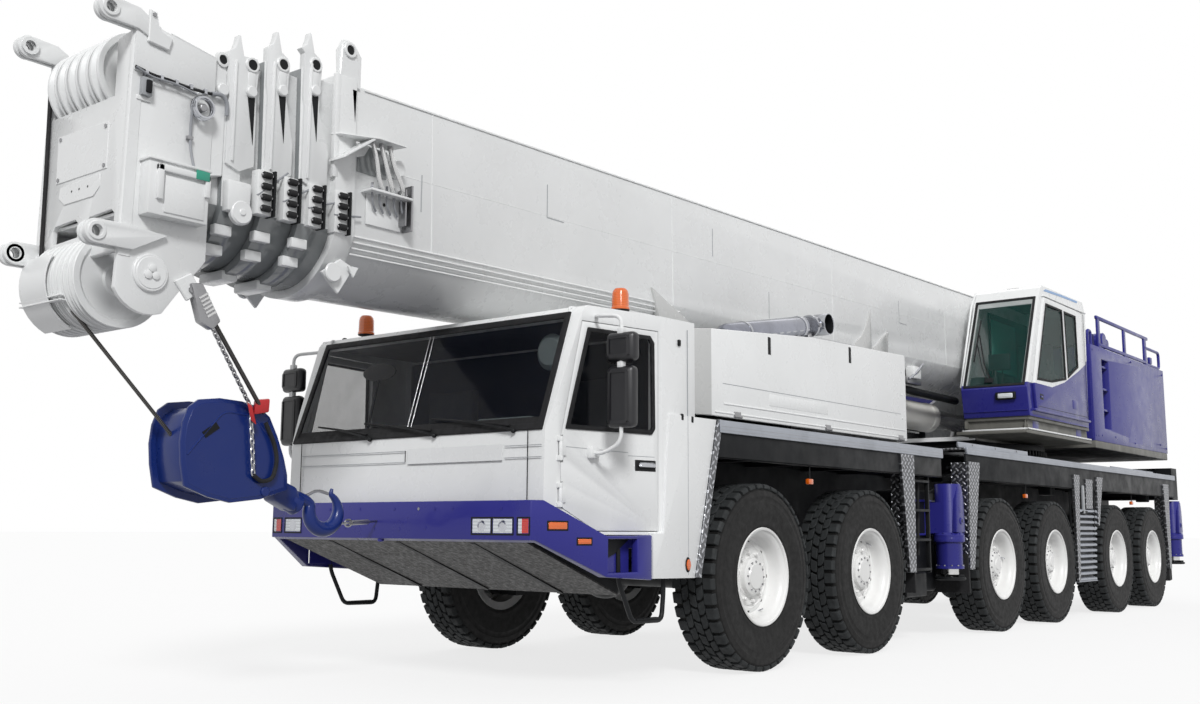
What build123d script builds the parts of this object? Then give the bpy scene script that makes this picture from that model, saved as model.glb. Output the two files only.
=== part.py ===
from build123d import *
import os
from math import asin, atan2, cos, degrees, hypot, radians, sin, sqrt

# Six-axle mobile crane. Millimetres. +X is forwards, +Y is the driver's left, +Z is up, and the
# origin is on the ground under the middle of the machine's length.

# ---------------------------------------------------------------- driving dimensions: carrier
carrier_width = 3000.0
tyre_diameter = 1370.0
tyre_width = 375.0
rim_diameter = 635.0
axle_gaps = (1750.0, 3000.0, 1650.0, 2350.0, 1650.0)  # between neighbouring axles, front to rear
steer_axles = (0, 1, 4, 5)  # axles whose wheels steer, counted from the front
boom_tip_reach = 4830.0  # boom head ahead of the first axle
rear_end_reach = 12130.0  # rear outrigger box behind the first axle
frame_width = 860.0
frame_bottom_z = 950.0
frame_top_z = 1600.0
deck_top_z = 1850.0
deck_plate = 70.0
skirt_bottom_z = 1530.0
skirt_wall = 40.0
panel_wall = 40.0  # tread-plate side panels between the wheels
wall = 30.0  # sheet bodywork such as the hood and the cabs

# ---------------------------------------------------------------- driving dimensions: clearances
seat_gap = 0.3  # a sliding or turning piece over the face that carries it
pin_gap = 0.05  # radial, a pin in its bore
move_gap = 6.0  # a moving piece past its neighbours

# ---------------------------------------------------------------- driving dimensions: crane
slew_x_back = 7600.0  # slew ring centre behind the first axle
slew_ring_radius = 950.0
slew_face_z = 1950.0
pivot_x_back = 10000.0  # boom foot pin behind the first axle
pivot_z = 3350.0
boom_rest_angle = -1.0  # degrees: the boom slopes down towards its head
boom_width = 940.0
boom_height = 1290.0
boom_wall = 12.0
section_count = 4  # telescoping sections inside the base section
section_step = 48.0  # each section is this much smaller, side to side and top to bottom
collar_step = 245.0  # each section's collar stands this far ahead of the last
superstructure_half = 1400.0
turntable_floor_z = 2150.0
turntable_cheek_y = 520.0  # inner face of each cheek plate beside the boom foot
turntable_cheek = 60.0

front_axle_x = (rear_end_reach - boom_tip_reach) / 2
tyre_radius = tyre_diameter / 2
half_width = carrier_width / 2
wheel_y = half_width - tyre_width / 2


def ahead(distance):
    """X of a station this far ahead of the first axle, or behind it if negative."""
    return front_axle_x + distance


axle_x = [ahead(-sum(axle_gaps[:i])) for i in range(len(axle_gaps) + 1)]
sides = (("left", 1), ("right", -1))


def write(part, name):
    """Label a finished piece and write its file."""
    part.label = name
    export_step(part, f"parts/{name}.step")


def side_plate(points, y_low, y_high, mode=Mode.ADD, inset=0.0):
    """Extrude an outline of (x, z) points between two Y planes, its edges moved in by inset."""
    with BuildSketch(Plane.XZ.offset(-y_high)) as outline:
        with BuildLine():
            Polyline(*points, close=True)
        make_face()
        if inset:
            offset(amount=-inset, kind=Kind.INTERSECTION, mode=Mode.REPLACE)
    extrude(outline.sketch, amount=y_high - y_low, mode=mode)


def plan_plate(points, z_low, z_high, mode=Mode.ADD, inset=0.0):
    """Extrude an outline of (x, y) points between two Z planes, its edges moved in by inset."""
    with BuildSketch(Plane.XY.offset(z_low)) as outline:
        with BuildLine():
            Polyline(*points, close=True)
        make_face()
        if inset:
            offset(amount=-inset, kind=Kind.INTERSECTION, mode=Mode.REPLACE)
    extrude(outline.sketch, amount=z_high - z_low, mode=mode)


def block(x_range, y_range, z_range, mode=Mode.ADD):
    """A box between two corners, each given as (low, high) along one axis."""
    ranges = (x_range, y_range, z_range)
    with Locations(tuple((low + high) / 2 for low, high in ranges)):
        Box(*(abs(high - low) for low, high in ranges), mode=mode)


def drum(radius, y_range, x, z, mode=Mode.ADD):
    """A cylinder along Y."""
    with BuildSketch(Plane.XZ.offset(-y_range[1])) as disc:
        with Locations((x, z)):
            Circle(radius)
    extrude(disc.sketch, amount=y_range[1] - y_range[0], mode=mode)


def post(radius, z_range, x, y, mode=Mode.ADD):
    """A cylinder along Z."""
    with BuildSketch(Plane.XY.offset(z_range[0])) as disc:
        with Locations((x, y)):
            Circle(radius)
    extrude(disc.sketch, amount=z_range[1] - z_range[0], mode=mode)


def mirrored_outline(points):
    """An outline in plan from its left half, listed from the front to the rear."""
    return points + [(x, -y) for x, y in reversed(points)]


def tube(points, radius, bend):
    """A round tube along a path of points with one bend radius."""
    with BuildLine() as path:
        FilletPolyline(*points, radius=bend)
    with BuildSketch(Plane(origin=path.line @ 0, z_dir=path.line % 0)) as disc:
        Circle(radius)
    sweep(disc.sketch, path=path.line)


os.makedirs("parts", exist_ok=True)

# ================================================================ wheels, knuckles and axles
kingpin_y = 1080.0
kingpin_radius = 35.0
knuckle_radius = 95.0
knuckle_half = 165.0  # half the knuckle barrel's height
yoke_arm = 55.0
yoke_half = 66.0
spindle_radius = 75.0
hub_y = (kingpin_y + knuckle_radius + 10, wheel_y + 120.0)
tyre_gap = 0.3
rim_wall = 20.0
rim_flange = 40.0
rim_half = 170.0
disc_y_in = 55.0  # wheel disc this far inside the wheel's middle
axle_tube_radius = 105.0
bowl_radius = 215.0
strut_radius = 70.0
strut_y = 690.0


def wheel(side, x):
    """Rim and tyre of one wheel, as two solids."""
    rim_radius = rim_diameter / 2
    mid = tyre_radius * 0.62 + rim_radius * 0.38
    tread_half = tyre_width / 2 - 35
    axis = Axis((x, side * wheel_y, tyre_radius), (0, 1, 0))
    section = Plane(origin=(x, side * wheel_y, tyre_radius), x_dir=(0, side, 0), z_dir=(1, 0, 0))
    with BuildPart() as rim:
        with BuildSketch(section):
            with BuildLine():
                Polyline(
                    (-rim_half, rim_radius), (rim_half, rim_radius), (rim_half, rim_radius + rim_flange),
                    (rim_half + 14, rim_radius + rim_flange), (rim_half + 14, rim_radius - rim_wall),
                    (-disc_y_in + 22, rim_radius - rim_wall), (-disc_y_in + 22, 165),
                    (hub_y[1] - wheel_y, 140), (hub_y[1] - wheel_y, 0), (hub_y[1] - wheel_y - 30, 0),
                    (hub_y[1] - wheel_y - 30, spindle_radius + pin_gap),
                    (hub_y[0] - wheel_y, spindle_radius + pin_gap), (hub_y[0] - wheel_y, 165),
                    (-disc_y_in, 165), (-disc_y_in, rim_radius - rim_wall),
                    (-rim_half - 14, rim_radius - rim_wall), (-rim_half - 14, rim_radius + rim_flange),
                    (-rim_half, rim_radius + rim_flange), close=True,
                )
            make_face()
        revolve(axis=axis)
    with BuildPart() as tyre:
        with BuildSketch(section):
            with BuildLine():
                Polyline(
                    (-rim_half + tyre_gap, rim_radius + tyre_gap), (-rim_half + tyre_gap, rim_radius + rim_flange),
                    (-tyre_width / 2, mid), (-tyre_width / 2 + 12, tyre_radius - 70),
                    (-tread_half, tyre_radius), (tread_half, tyre_radius),
                    (tyre_width / 2 - 12, tyre_radius - 70), (tyre_width / 2, mid),
                    (rim_half - tyre_gap, rim_radius + rim_flange), (rim_half - tyre_gap, rim_radius + tyre_gap),
                    close=True,
                )
            make_face()
        revolve(axis=axis)
    return Compound(children=[rim.part, tyre.part])


def spindle(side, x, y_start):
    """Stub axle that a hub turns on, with the brake's back plate, in the current part."""
    y_end = hub_y[1] - 30 - seat_gap
    low, high = sorted((side * y_start, side * y_end))
    drum(spindle_radius, (low, high), x, tyre_radius)
    low, high = sorted((side * (hub_y[0] - 30), side * (hub_y[0] - seat_gap)))
    drum(230, (low, high), x, tyre_radius)


for number, x in enumerate(axle_x, start=1):
    for side_name, side in sides:
        write(wheel(side, x), f"wheel_{number}_{side_name}")

for index in steer_axles:
    x = axle_x[index]
    for side_name, side in sides:
        with BuildPart() as knuckle:
            post(knuckle_radius, (tyre_radius - knuckle_half, tyre_radius + knuckle_half), x, side * kingpin_y)
            spindle(side, x, kingpin_y)
            post(
                kingpin_radius + pin_gap,
                (tyre_radius - knuckle_half, tyre_radius + knuckle_half),
                x, side * kingpin_y, mode=Mode.SUBTRACT,
            )
        write(knuckle.part, f"knuckle_{index + 1}_{side_name}")


def axle(x, steered):
    """One axle: tube, drive bowl, ends, and the struts that carry the frame."""
    with BuildPart() as beam:
        end_y = kingpin_y - knuckle_radius - move_gap if steered else hub_y[0] - 29
        drum(axle_tube_radius, (-end_y + 60, end_y - 60), x, tyre_radius)
        with Locations((x, 0, tyre_radius)):
            Sphere(bowl_radius)
        for _, side in sides:
            inner, outer = sorted((side * (end_y - 95), side * end_y))
            if steered:
                reach = knuckle_half + seat_gap + yoke_arm
                block((x - 100, x + 100), (inner, outer), (tyre_radius - reach, tyre_radius + reach))
                low, high = sorted((side * (end_y - 40), side * kingpin_y))
                for up in (1, -1):
                    z_near = tyre_radius + up * (knuckle_half + seat_gap)
                    z_range = tuple(sorted((z_near, z_near + up * yoke_arm)))
                    block((x - yoke_half, x + yoke_half), (low, high), z_range)
                    post(yoke_half, z_range, x, side * kingpin_y)
                post(
                    kingpin_radius, (tyre_radius - knuckle_half - 10, tyre_radius + knuckle_half + 10),
                    x, side * kingpin_y,
                )
            else:
                spindle(side, x, end_y - 70)
            post(strut_radius, (tyre_radius, frame_bottom_z + 150), x, side * strut_y)
            low, high = sorted((side * frame_width / 2, side * (strut_y + 60)))
            block((x - 90, x + 90), (low, high), (frame_bottom_z + 150, frame_bottom_z + 330))
    return beam.part


beams = [axle(x, index in steer_axles) for index, x in enumerate(axle_x)]
write(Compound(children=beams), "axle_beams")

# ================================================================ outriggers
beam_width = 250.0
beam_height = 300.0
beam_bottom_z = 1000.0
box_wall = 20.0
box_end_y = 1200.0
jack_y = 1360.0
jack_radius = 125.0
jack_ram_radius = 85.0
jack_z = (660.0, 1480.0)
jack_foot_radius = 150.0
jack_foot_z = (550.0, 600.0)
beam_pitch = beam_width + 2 * move_gap + box_wall
# outrigger pair: name, station of the left beam behind the first axle
outriggers = (("front", 3700.0), ("rear", 11980.0))


def outrigger_box_ranges(back):
    """X and Z ranges of one transverse outrigger box."""
    x_low = ahead(-back) - beam_width / 2 - move_gap - box_wall
    x_high = x_low + 3 * box_wall + 2 * beam_width + 4 * move_gap
    z_low = beam_bottom_z - seat_gap - box_wall
    z_high = beam_bottom_z + beam_height + move_gap + box_wall
    return (x_low, x_high), (z_low, z_high)


boxes = []
for pair, back in outriggers:
    x_range, z_range = outrigger_box_ranges(back)
    with BuildPart() as box:
        block(x_range, (-box_end_y, box_end_y), z_range)
        for beam_x in (ahead(-back), ahead(-back) + beam_pitch):
            block(
                (beam_x - beam_width / 2 - move_gap, beam_x + beam_width / 2 + move_gap),
                (-box_end_y, box_end_y),
                (beam_bottom_z - seat_gap, beam_bottom_z + beam_height + move_gap), mode=Mode.SUBTRACT,
            )
    boxes.append(box.part)
    for side_name, side in sides:
        beam_x = ahead(-back) + (0 if side > 0 else beam_pitch)
        with BuildPart() as beam:
            low, high = sorted((-side * (box_end_y - 40), side * jack_y))
            block((beam_x - beam_width / 2, beam_x + beam_width / 2), (low, high),
                  (beam_bottom_z, beam_bottom_z + beam_height))
            post(jack_radius, jack_z, beam_x, side * jack_y)
            post(jack_radius + 25, (jack_z[0] + 260, jack_z[0] + 300), beam_x, side * jack_y)
            post(jack_ram_radius + seat_gap, (jack_z[0], jack_z[1] - 30), beam_x, side * jack_y,
                 mode=Mode.SUBTRACT)
        write(beam.part, f"outrigger_beam_{pair}_{side_name}")
        with BuildPart() as ram:
            post(jack_ram_radius, (jack_foot_z[1], jack_z[1] - 60), beam_x, side * jack_y)
            post(jack_foot_radius, jack_foot_z, beam_x, side * jack_y)
        write(ram.part, f"outrigger_jack_{pair}_{side_name}")
write(Compound(children=boxes), "outrigger_boxes")

# ================================================================ driver's cab outline
cab_floor_z = 990.0
cab_roof_z = 2460.0
cab_rear_x = ahead(870)
cab_front_x = ahead(2200)
screen_low = (cab_front_x - 10, 1650.0)
screen_top = (ahead(1920), 2410.0)
cab_profile = [
    (cab_rear_x, cab_floor_z), (cab_front_x, cab_floor_z), screen_low, screen_top,
    (screen_top[0] - 45, cab_roof_z), (cab_rear_x, cab_roof_z),
]
cab_corner_y = 1250.0
door_front = (ahead(2120), 1288.4)  # door plane in plan, front and rear ends
door_rear = (ahead(1230), 1460.0)
cab_rear_y = 1480.0
cab_plan = mirrored_outline(
    [(cab_front_x + 5, cab_corner_y), door_front, door_rear, (cab_rear_x, cab_rear_y)]
)
cab_wall = 40.0

# ================================================================ chassis
bumper_front_x = ahead(2330)
bumper_wall = 60.0
bumper_rear_x = ahead(1400)
bumper_z = (955.0, 1200.0)
nose_bottom_z = 800.0
shield_rear = (ahead(1350), 600.0)
shield_front = (bumper_front_x - bumper_wall, bumper_z[0])
shield_slope = (shield_front[1] - shield_rear[1]) / (shield_front[0] - shield_rear[0])
shield_plate = 12.0
nose_corner_x = shield_front[0] - (shield_front[1] - nose_bottom_z) / shield_slope
frame_step_x = cab_rear_x - 30
frame_rear_x = ahead(-rear_end_reach + 30)
cross_members = (420.0, -700.0, -1500.0, -2500.0, -3240.0, -4300.0, -5500.0, -9050.0, -10100.0, -11050.0)
slew_x = ahead(-slew_x_back)

with BuildPart() as chassis_frame:
    side_plate(
        [
            (shield_front[0], cab_floor_z), (shield_front[0], shield_front[1]),
            (nose_corner_x, nose_bottom_z), (frame_step_x - 500, nose_bottom_z + 150),
            (frame_rear_x, frame_bottom_z), (frame_rear_x, frame_top_z),
            (frame_step_x, frame_top_z), (frame_step_x, cab_floor_z),
        ],
        -frame_width / 2, frame_width / 2,
    )
    for station in cross_members:
        for _, side in sides:
            y_low, y_high = sorted((side * (frame_width / 2 - 5), side * (half_width - skirt_wall - 60)))
            block((ahead(station) - 45, ahead(station) + 45), (y_low, y_high),
                  (frame_top_z - 20, deck_top_z - deck_plate))
    post(slew_ring_radius, (frame_top_z, slew_face_z), slew_x, 0)
    block((frame_rear_x, frame_rear_x + 300), (-half_width + 60, half_width - 60), (1500, 1970))
    for pair, back in outriggers:
        x_range, z_range = outrigger_box_ranges(back)
        block(x_range, (-box_end_y, box_end_y), z_range, mode=Mode.SUBTRACT)
write(chassis_frame.part, "chassis_frame")

# ================================================================ deck and side panels
# deck segment: front and rear stations from the first axle
deck_segments = ((580.0, -3300.0), (-3900.0, -11750.0))
# tread-plate panel: top front, top rear, bottom rear and bottom front stations, bottom Z
side_panels = (
    (-2370.0, -2650.0, -2630.0, -2500.0, 655.0),
    (-3920.0, -4210.0, -3985.0, -3875.0, 650.0),
    (-7120.0, -8240.0, -7830.0, -7120.0, 420.0),
    (-11080.0, -11365.0, -11300.0, -11205.0, 500.0),
)
hood_inside = (ahead(300), ahead(-2700))

with BuildPart() as deck_front:
    front_x, rear_x = (ahead(station) for station in deck_segments[0])
    block((rear_x, front_x), (-half_width, half_width), (skirt_bottom_z, deck_top_z))
    block((rear_x - 1, front_x + 1), (-half_width + skirt_wall, half_width - skirt_wall),
          (skirt_bottom_z, deck_top_z - deck_plate), mode=Mode.SUBTRACT)
    block((hood_inside[1] + 200, hood_inside[0] - 200), (-520, 520), (deck_top_z - deck_plate - 1, deck_top_z + 1),
          mode=Mode.SUBTRACT)
with BuildPart() as deck_rear:
    front_x, rear_x = (ahead(station) for station in deck_segments[1])
    block((rear_x, front_x), (-half_width, half_width), (skirt_bottom_z, deck_top_z))
    block((rear_x - 1, front_x + 1), (-half_width + skirt_wall, half_width - skirt_wall),
          (skirt_bottom_z, deck_top_z - deck_plate), mode=Mode.SUBTRACT)
    post(slew_ring_radius + 30, (deck_top_z - deck_plate - 1, deck_top_z + 1), slew_x, 0, mode=Mode.SUBTRACT)
panels = []
for top_front, top_rear, low_rear, low_front, low_z in side_panels:
    for _, side in sides:
        y_low, y_high = sorted((side * (half_width - panel_wall), side * half_width))
        with BuildPart() as panel:
            side_plate(
                [
                    (ahead(top_front), skirt_bottom_z), (ahead(top_rear), skirt_bottom_z),
                    (ahead(low_rear), low_z), (ahead(low_front), low_z),
                ],
                y_low, y_high,
            )
        panels.append((top_front, panel.part))
with BuildPart() as deck_front_whole:
    add(deck_front.part)
    for station, panel in panels:
        if station > deck_segments[0][1]:
            add(panel)
with BuildPart() as deck_rear_whole:
    add(deck_rear.part)
    for station, panel in panels:
        if station < deck_segments[0][1]:
            add(panel)
write(Compound(children=[deck_front_whole.part, deck_rear_whole.part]), "deck_plates")

# ================================================================ engine, hood and exhaust
hood_half = 1350.0
hood_profile = [
    (ahead(712), 2473.0), (ahead(650), deck_top_z), (ahead(-2840), deck_top_z), (ahead(-2840), 2662.0),
    (ahead(-1060), 2614.0),
]
hood_chamfer = 250.0  # the hood's front corners are cut off, this far back and less than half as far across
hood_trough_half = 620.0
hood_trough_z = 2400.0
hood_tail = -2400.0  # between the boom's sides the hood stops here, clear of the luffing cylinder
pipe_x = ahead(-620)
silencer_y = 950.0
silencer_radius = 95.0
silencer_ends = ((ahead(-300), 2662.0), (ahead(-2100), 2905.0))
pipe_radius = 60.0


def hood_volume(inset):
    """The hood's outer space, its faces moved in by inset except the open bottom."""
    with BuildPart() as space:
        side_plate(hood_profile, -hood_half + inset, hood_half - inset, inset=inset)
        if inset:
            block((ahead(600), ahead(-2840) + inset), (-hood_half + inset, hood_half - inset),
                  (deck_top_z - 1, deck_top_z + inset + 1))
        front, cut = ahead(712), hood_chamfer
        plan_plate(
            mirrored_outline([(front + 5, hood_half - 0.45 * cut), (front - cut, hood_half), (ahead(-2841), hood_half)]),
            deck_top_z - 5, 2700, mode=Mode.INTERSECT, inset=inset,
        )
        block((ahead(-3000), ahead(900)), (-hood_trough_half - inset, hood_trough_half + inset),
              (hood_trough_z - inset, 3000), mode=Mode.SUBTRACT)
        block((ahead(-3000), ahead(hood_tail) + inset), (-hood_trough_half - inset, hood_trough_half + inset),
              (deck_top_z - 5, 3000), mode=Mode.SUBTRACT)
    return space.part


with BuildPart() as engine_hood:
    add(hood_volume(0))
    add(hood_volume(wall), mode=Mode.SUBTRACT)
    post(pipe_radius + seat_gap, (2400, 2800), pipe_x, silencer_y, mode=Mode.SUBTRACT)
write(engine_hood.part, "engine_hood")

with BuildPart() as engine_block:
    block((ahead(-2300), ahead(-400)), (-420, 420), (frame_top_z, hood_trough_z - wall - 60))
write(engine_block.part, "engine_block")

with BuildPart() as exhaust_silencer:
    (front_x, front_z), (rear_x, rear_z) = silencer_ends
    silencer_plane = Plane(
        origin=(front_x, silencer_y, front_z), x_dir=(0, 1, 0), z_dir=(rear_x - front_x, 0, rear_z - front_z)
    )
    with BuildSketch(silencer_plane):
        Circle(silencer_radius)
    extrude(amount=hypot(rear_x - front_x, rear_z - front_z))
    with BuildSketch(silencer_plane.offset(hypot(rear_x - front_x, rear_z - front_z) - 150)):
        Circle(silencer_radius - 12)
    extrude(amount=151, mode=Mode.SUBTRACT)
    post(pipe_radius, (2460, front_z), pipe_x, silencer_y)
write(exhaust_silencer.part, "exhaust_silencer")

# ================================================================ driver's cab
door_z = (cab_floor_z + 20, 2356.0)
door_margin = 35.0  # body frame left in front of and behind the door opening
door_length = hypot(door_front[0] - door_rear[0], door_front[1] - door_rear[1])
door_angle = degrees(atan2(door_rear[1] - door_front[1], door_front[0] - door_rear[0]))
door_thick = 45.0
window_points = [(85.0, 1665.0), (262.0, 2300.0), (door_length - 85, 2300.0), (door_length - 85, 1665.0)]
door_corner = (330.0, 1160.0)  # the door's lower front corner is cut off: run behind it and height in front
door_slope = (1610.0, 202.0)  # above this height the front edge leans back, to this run at the top
hinge_heights = (1190.0, 1480.0)
hinge_length = 90.0
hinge_run = 38.0  # hinge pin on the door's outer face, this far behind its front end
hinge_pin_radius = 8.0
hinge_barrel_radius = 16.0


def door_plane(side):
    """Plane on the door's outer face: local x runs back from its front end, local y up."""
    x_dir = (door_rear[0] - door_front[0], side * (door_rear[1] - door_front[1]), 0)
    z_dir = (0, 1, 0) if side > 0 else (0, -1, 0)
    normal = Vector(*x_dir).normalized().cross(Vector(0, 0, 1))
    if normal.dot(Vector(*z_dir)) < 0:
        normal = normal * -1
    return Plane(origin=(door_front[0], side * door_front[1], 0), x_dir=x_dir, z_dir=normal)


def on_door(side, run_range, z_range, depth, start=0.0, mode=Mode.ADD):
    """A block on the door plane, from start to depth inside the outer face."""
    plane = door_plane(side)
    up = 1 if plane.y_dir.Z > 0 else -1
    with BuildSketch(plane.offset(-start)) as panel_face:
        with Locations(((run_range[0] + run_range[1]) / 2, up * (z_range[0] + z_range[1]) / 2)):
            Rectangle(run_range[1] - run_range[0], z_range[1] - z_range[0])
    extrude(panel_face.sketch, amount=-(depth - start), mode=mode)


def door_outline(shrink):
    """The door's outline as (run, z) points, its edges moved in by shrink."""
    front, rear = door_margin + shrink, door_length - door_margin - shrink
    low, top = door_z[0] + shrink, door_z[1] - shrink
    slope = (door_corner[1] - door_z[0]) / (door_corner[0] - door_margin)
    lift = shrink * hypot(1, slope)
    lean = (door_slope[1] - door_margin) / (door_z[1] - door_slope[0])
    back = shrink * hypot(1, lean)  # how far the leaning edge moves back at a given height
    return [
        (front, door_corner[1] - slope * shrink + lift), (front, door_slope[0] - (back - shrink) / lean),
        (door_margin + lean * (top - door_slope[0]) + back, top), (rear, top), (rear, low),
        (door_margin + (door_corner[1] + lift - low) / slope, low),
    ]


def door_panel(side, shrink, depth, start=0.0, mode=Mode.ADD):
    """The door's outline as a plate, from start to depth inside the outer face."""
    plane = door_plane(side)
    up = 1 if plane.y_dir.Z > 0 else -1
    with BuildSketch(plane.offset(-start)) as panel_face:
        with BuildLine():
            Polyline(*[(run, up * z) for run, z in door_outline(shrink)], close=True)
        make_face()
    extrude(panel_face.sketch, amount=-(depth - start), mode=mode)


def door_window(side, depth, start):
    """Cut the door's window, which leans back in front as the door does."""
    plane = door_plane(side)
    up = 1 if plane.y_dir.Z > 0 else -1
    with BuildSketch(plane.offset(-start)) as window:
        with BuildLine():
            Polyline(*[(run, up * z) for run, z in window_points], close=True)
        make_face()
        fillet(window.vertices(), 35)
    extrude(window.sketch, amount=-(depth - start), mode=Mode.SUBTRACT)


def hinge_centre(side):
    """Plan position of a door's hinge axis."""
    share = hinge_run / door_length
    return (
        door_front[0] + share * (door_rear[0] - door_front[0]),
        side * (door_front[1] + share * (door_rear[1] - door_front[1])),
    )


def cab_volume(inset):
    """The cab's outer space, its faces moved in by inset."""
    with BuildPart() as space:
        side_plate(cab_profile, -half_width, half_width, inset=inset)
        plan_plate(cab_plan, cab_floor_z - 10, cab_roof_z + 10, mode=Mode.INTERSECT, inset=inset)
    return space.part


screen_length = hypot(screen_top[0] - screen_low[0], screen_top[1] - screen_low[1])
screen_plane = Plane(
    origin=(screen_low[0], 0, screen_low[1]), x_dir=(0, 1, 0),
    z_dir=(screen_top[1] - screen_low[1], 0, screen_low[0] - screen_top[0]),
)
screen_half = 1205.0
screen_edge = 32.0
glass_thick = 12.0
rear_window_half = 900.0
rear_window_z = (1750.0, 2330.0)


def screen_opening(shrink):
    """Sketch of the windscreen on its plane, its edges moved in by shrink."""
    with Locations((0, screen_length / 2)):
        Rectangle(2 * (screen_half - shrink), screen_length - 2 * (screen_edge + shrink))


with BuildPart() as driver_cab:
    add(cab_volume(0))
    add(cab_volume(cab_wall), mode=Mode.SUBTRACT)
    with BuildSketch(screen_plane):
        screen_opening(0)
    extrude(amount=80, both=True, mode=Mode.SUBTRACT)
    block((cab_rear_x - 10, cab_rear_x + cab_wall + 10), (-rear_window_half, rear_window_half), rear_window_z,
          mode=Mode.SUBTRACT)
    for _, side in sides:
        door_panel(side, 0, 2 * cab_wall + 10, start=-30, mode=Mode.SUBTRACT)
        hinge_x, hinge_y = hinge_centre(side)
        for hinge_z in hinge_heights:
            post(hinge_barrel_radius + move_gap, (hinge_z - 6, hinge_z + hinge_length + 6), hinge_x, hinge_y,
                 mode=Mode.SUBTRACT)
            for z_range in ((hinge_z - 30, hinge_z - seat_gap),
                            (hinge_z + hinge_length + seat_gap, hinge_z + hinge_length + 30)):
                post(hinge_barrel_radius, z_range, hinge_x, hinge_y)
                on_door(side, (5, hinge_run), z_range, 20, start=-hinge_barrel_radius + 4)
            post(hinge_pin_radius, (hinge_z - 20, hinge_z + hinge_length + 20), hinge_x, hinge_y)
        # fender behind the door, down to the bumper's side
        y_low, y_high = sorted((side * (cab_rear_y - 45), side * cab_rear_y))
        side_plate(
            [
                (bumper_rear_x - 40, 708), (bumper_rear_x - 40, cab_floor_z + 10), (door_rear[0] + 10, cab_floor_z + 10),
                (door_rear[0] - 60, 1800), (ahead(600), 1800), (ahead(882), 700),
            ],
            y_low, y_high,
        )
write(driver_cab.part, "driver_cab")

with BuildPart() as windscreen:
    with BuildSketch(screen_plane.offset(-8)):
        screen_opening(seat_gap)
    extrude(amount=-glass_thick)
with BuildPart() as rear_window:
    block((cab_rear_x + 10, cab_rear_x + 10 + glass_thick),
          (-rear_window_half + seat_gap, rear_window_half - seat_gap),
          (rear_window_z[0] + seat_gap, rear_window_z[1] - seat_gap))
write(Compound(children=[windscreen.part, rear_window.part]), "cab_glass")

for side_name, side in sides:
    with BuildPart() as door:
        run = (door_margin + move_gap, door_length - door_margin - move_gap)
        door_panel(side, move_gap, door_thick)
        door_window(side, door_thick + 10, start=-10)
        hinge_x, hinge_y = hinge_centre(side)
        for hinge_z in hinge_heights:
            post(hinge_barrel_radius + 2, (hinge_z - 40, hinge_z + hinge_length + 40), hinge_x, hinge_y,
                 mode=Mode.SUBTRACT)
            z_range = (hinge_z, hinge_z + hinge_length)
            post(hinge_barrel_radius, z_range, hinge_x, hinge_y)
            on_door(side, (hinge_run, run[0] + 30), z_range, 20, start=-hinge_barrel_radius + 4)
            post(hinge_pin_radius + pin_gap, (hinge_z - 1, hinge_z + hinge_length + 1), hinge_x, hinge_y,
                 mode=Mode.SUBTRACT)
    write(door.part, f"cab_door_{side_name}")

seat_y = 700.0
with BuildPart() as cab_interior:
    inner_floor = cab_floor_z + cab_wall
    block((cab_rear_x + cab_wall, cab_front_x - 330), (-1150, 1150), (inner_floor, inner_floor + 60))
    block((cab_front_x - 420, cab_front_x - 80), (-1130, 1130), (inner_floor + 60, 1560))
    for _, side in sides:
        y_low, y_high = side * seat_y - 250, side * seat_y + 250
        block((cab_rear_x + 260, cab_rear_x + 760), (y_low, y_high), (inner_floor + 60, 1480))
        block((cab_rear_x + 120, cab_rear_x + 270), (y_low, y_high), (1380, 2120))
    with BuildSketch(Plane(origin=(cab_front_x - 470, seat_y, 1640), x_dir=(0, 1, 0), z_dir=(-0.35, 0, 0.94))):
        Circle(225)
        Circle(195, mode=Mode.SUBTRACT)
        Rectangle(420, 35)
    extrude(amount=22)
    block((cab_front_x - 500, cab_front_x - 400), (seat_y - 40, seat_y + 40), (1500, 1645))
write(cab_interior.part, "cab_interior")

# ================================================================ bumper, shield, steps and mirrors
bumper_corner = (bumper_front_x, 1270.0)
bumper_side = (ahead(1870), half_width)
bumper_plan = mirrored_outline([bumper_corner, bumper_side, (bumper_rear_x, half_width)])
bumper_profile = [
    (bumper_front_x + 10, bumper_z[1]), (bumper_front_x - 80, bumper_z[1]), (bumper_side[0], 985.0),
    (bumper_rear_x - 1, 985.0), (bumper_rear_x - 1, 700.0), (bumper_side[0], 730.0),
    (bumper_front_x - 30, bumper_z[0]), (bumper_front_x + 10, bumper_z[0]),
]
with BuildPart() as front_bumper:
    side_plate(bumper_profile, -half_width, half_width)
    plan_plate(bumper_plan, 600, 1300, mode=Mode.INTERSECT)
    plan_plate(
        mirrored_outline([
            (bumper_front_x - bumper_wall, 1250.0), (bumper_side[0] - 30, half_width - bumper_wall),
            (bumper_rear_x - 50, half_width - bumper_wall),
        ]),
        600, 1300, mode=Mode.SUBTRACT,
    )
    block((bumper_rear_x, bumper_rear_x + 250), (-half_width + 10, half_width - 10), (905, 985))
    block((bumper_rear_x - 1, bumper_rear_x + 251), (-frame_width / 2, frame_width / 2), (904, 986),
          mode=Mode.SUBTRACT)
write(front_bumper.part, "front_bumper")

shield_half = 1180.0
with BuildPart() as front_shield:
    side_plate(
        [
            shield_front, shield_rear, (shield_rear[0], shield_rear[1] - shield_plate),
            (shield_front[0], shield_front[1] - shield_plate),
        ],
        -shield_half, shield_half,
    )
write(front_shield.part, "front_shield")

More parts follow.
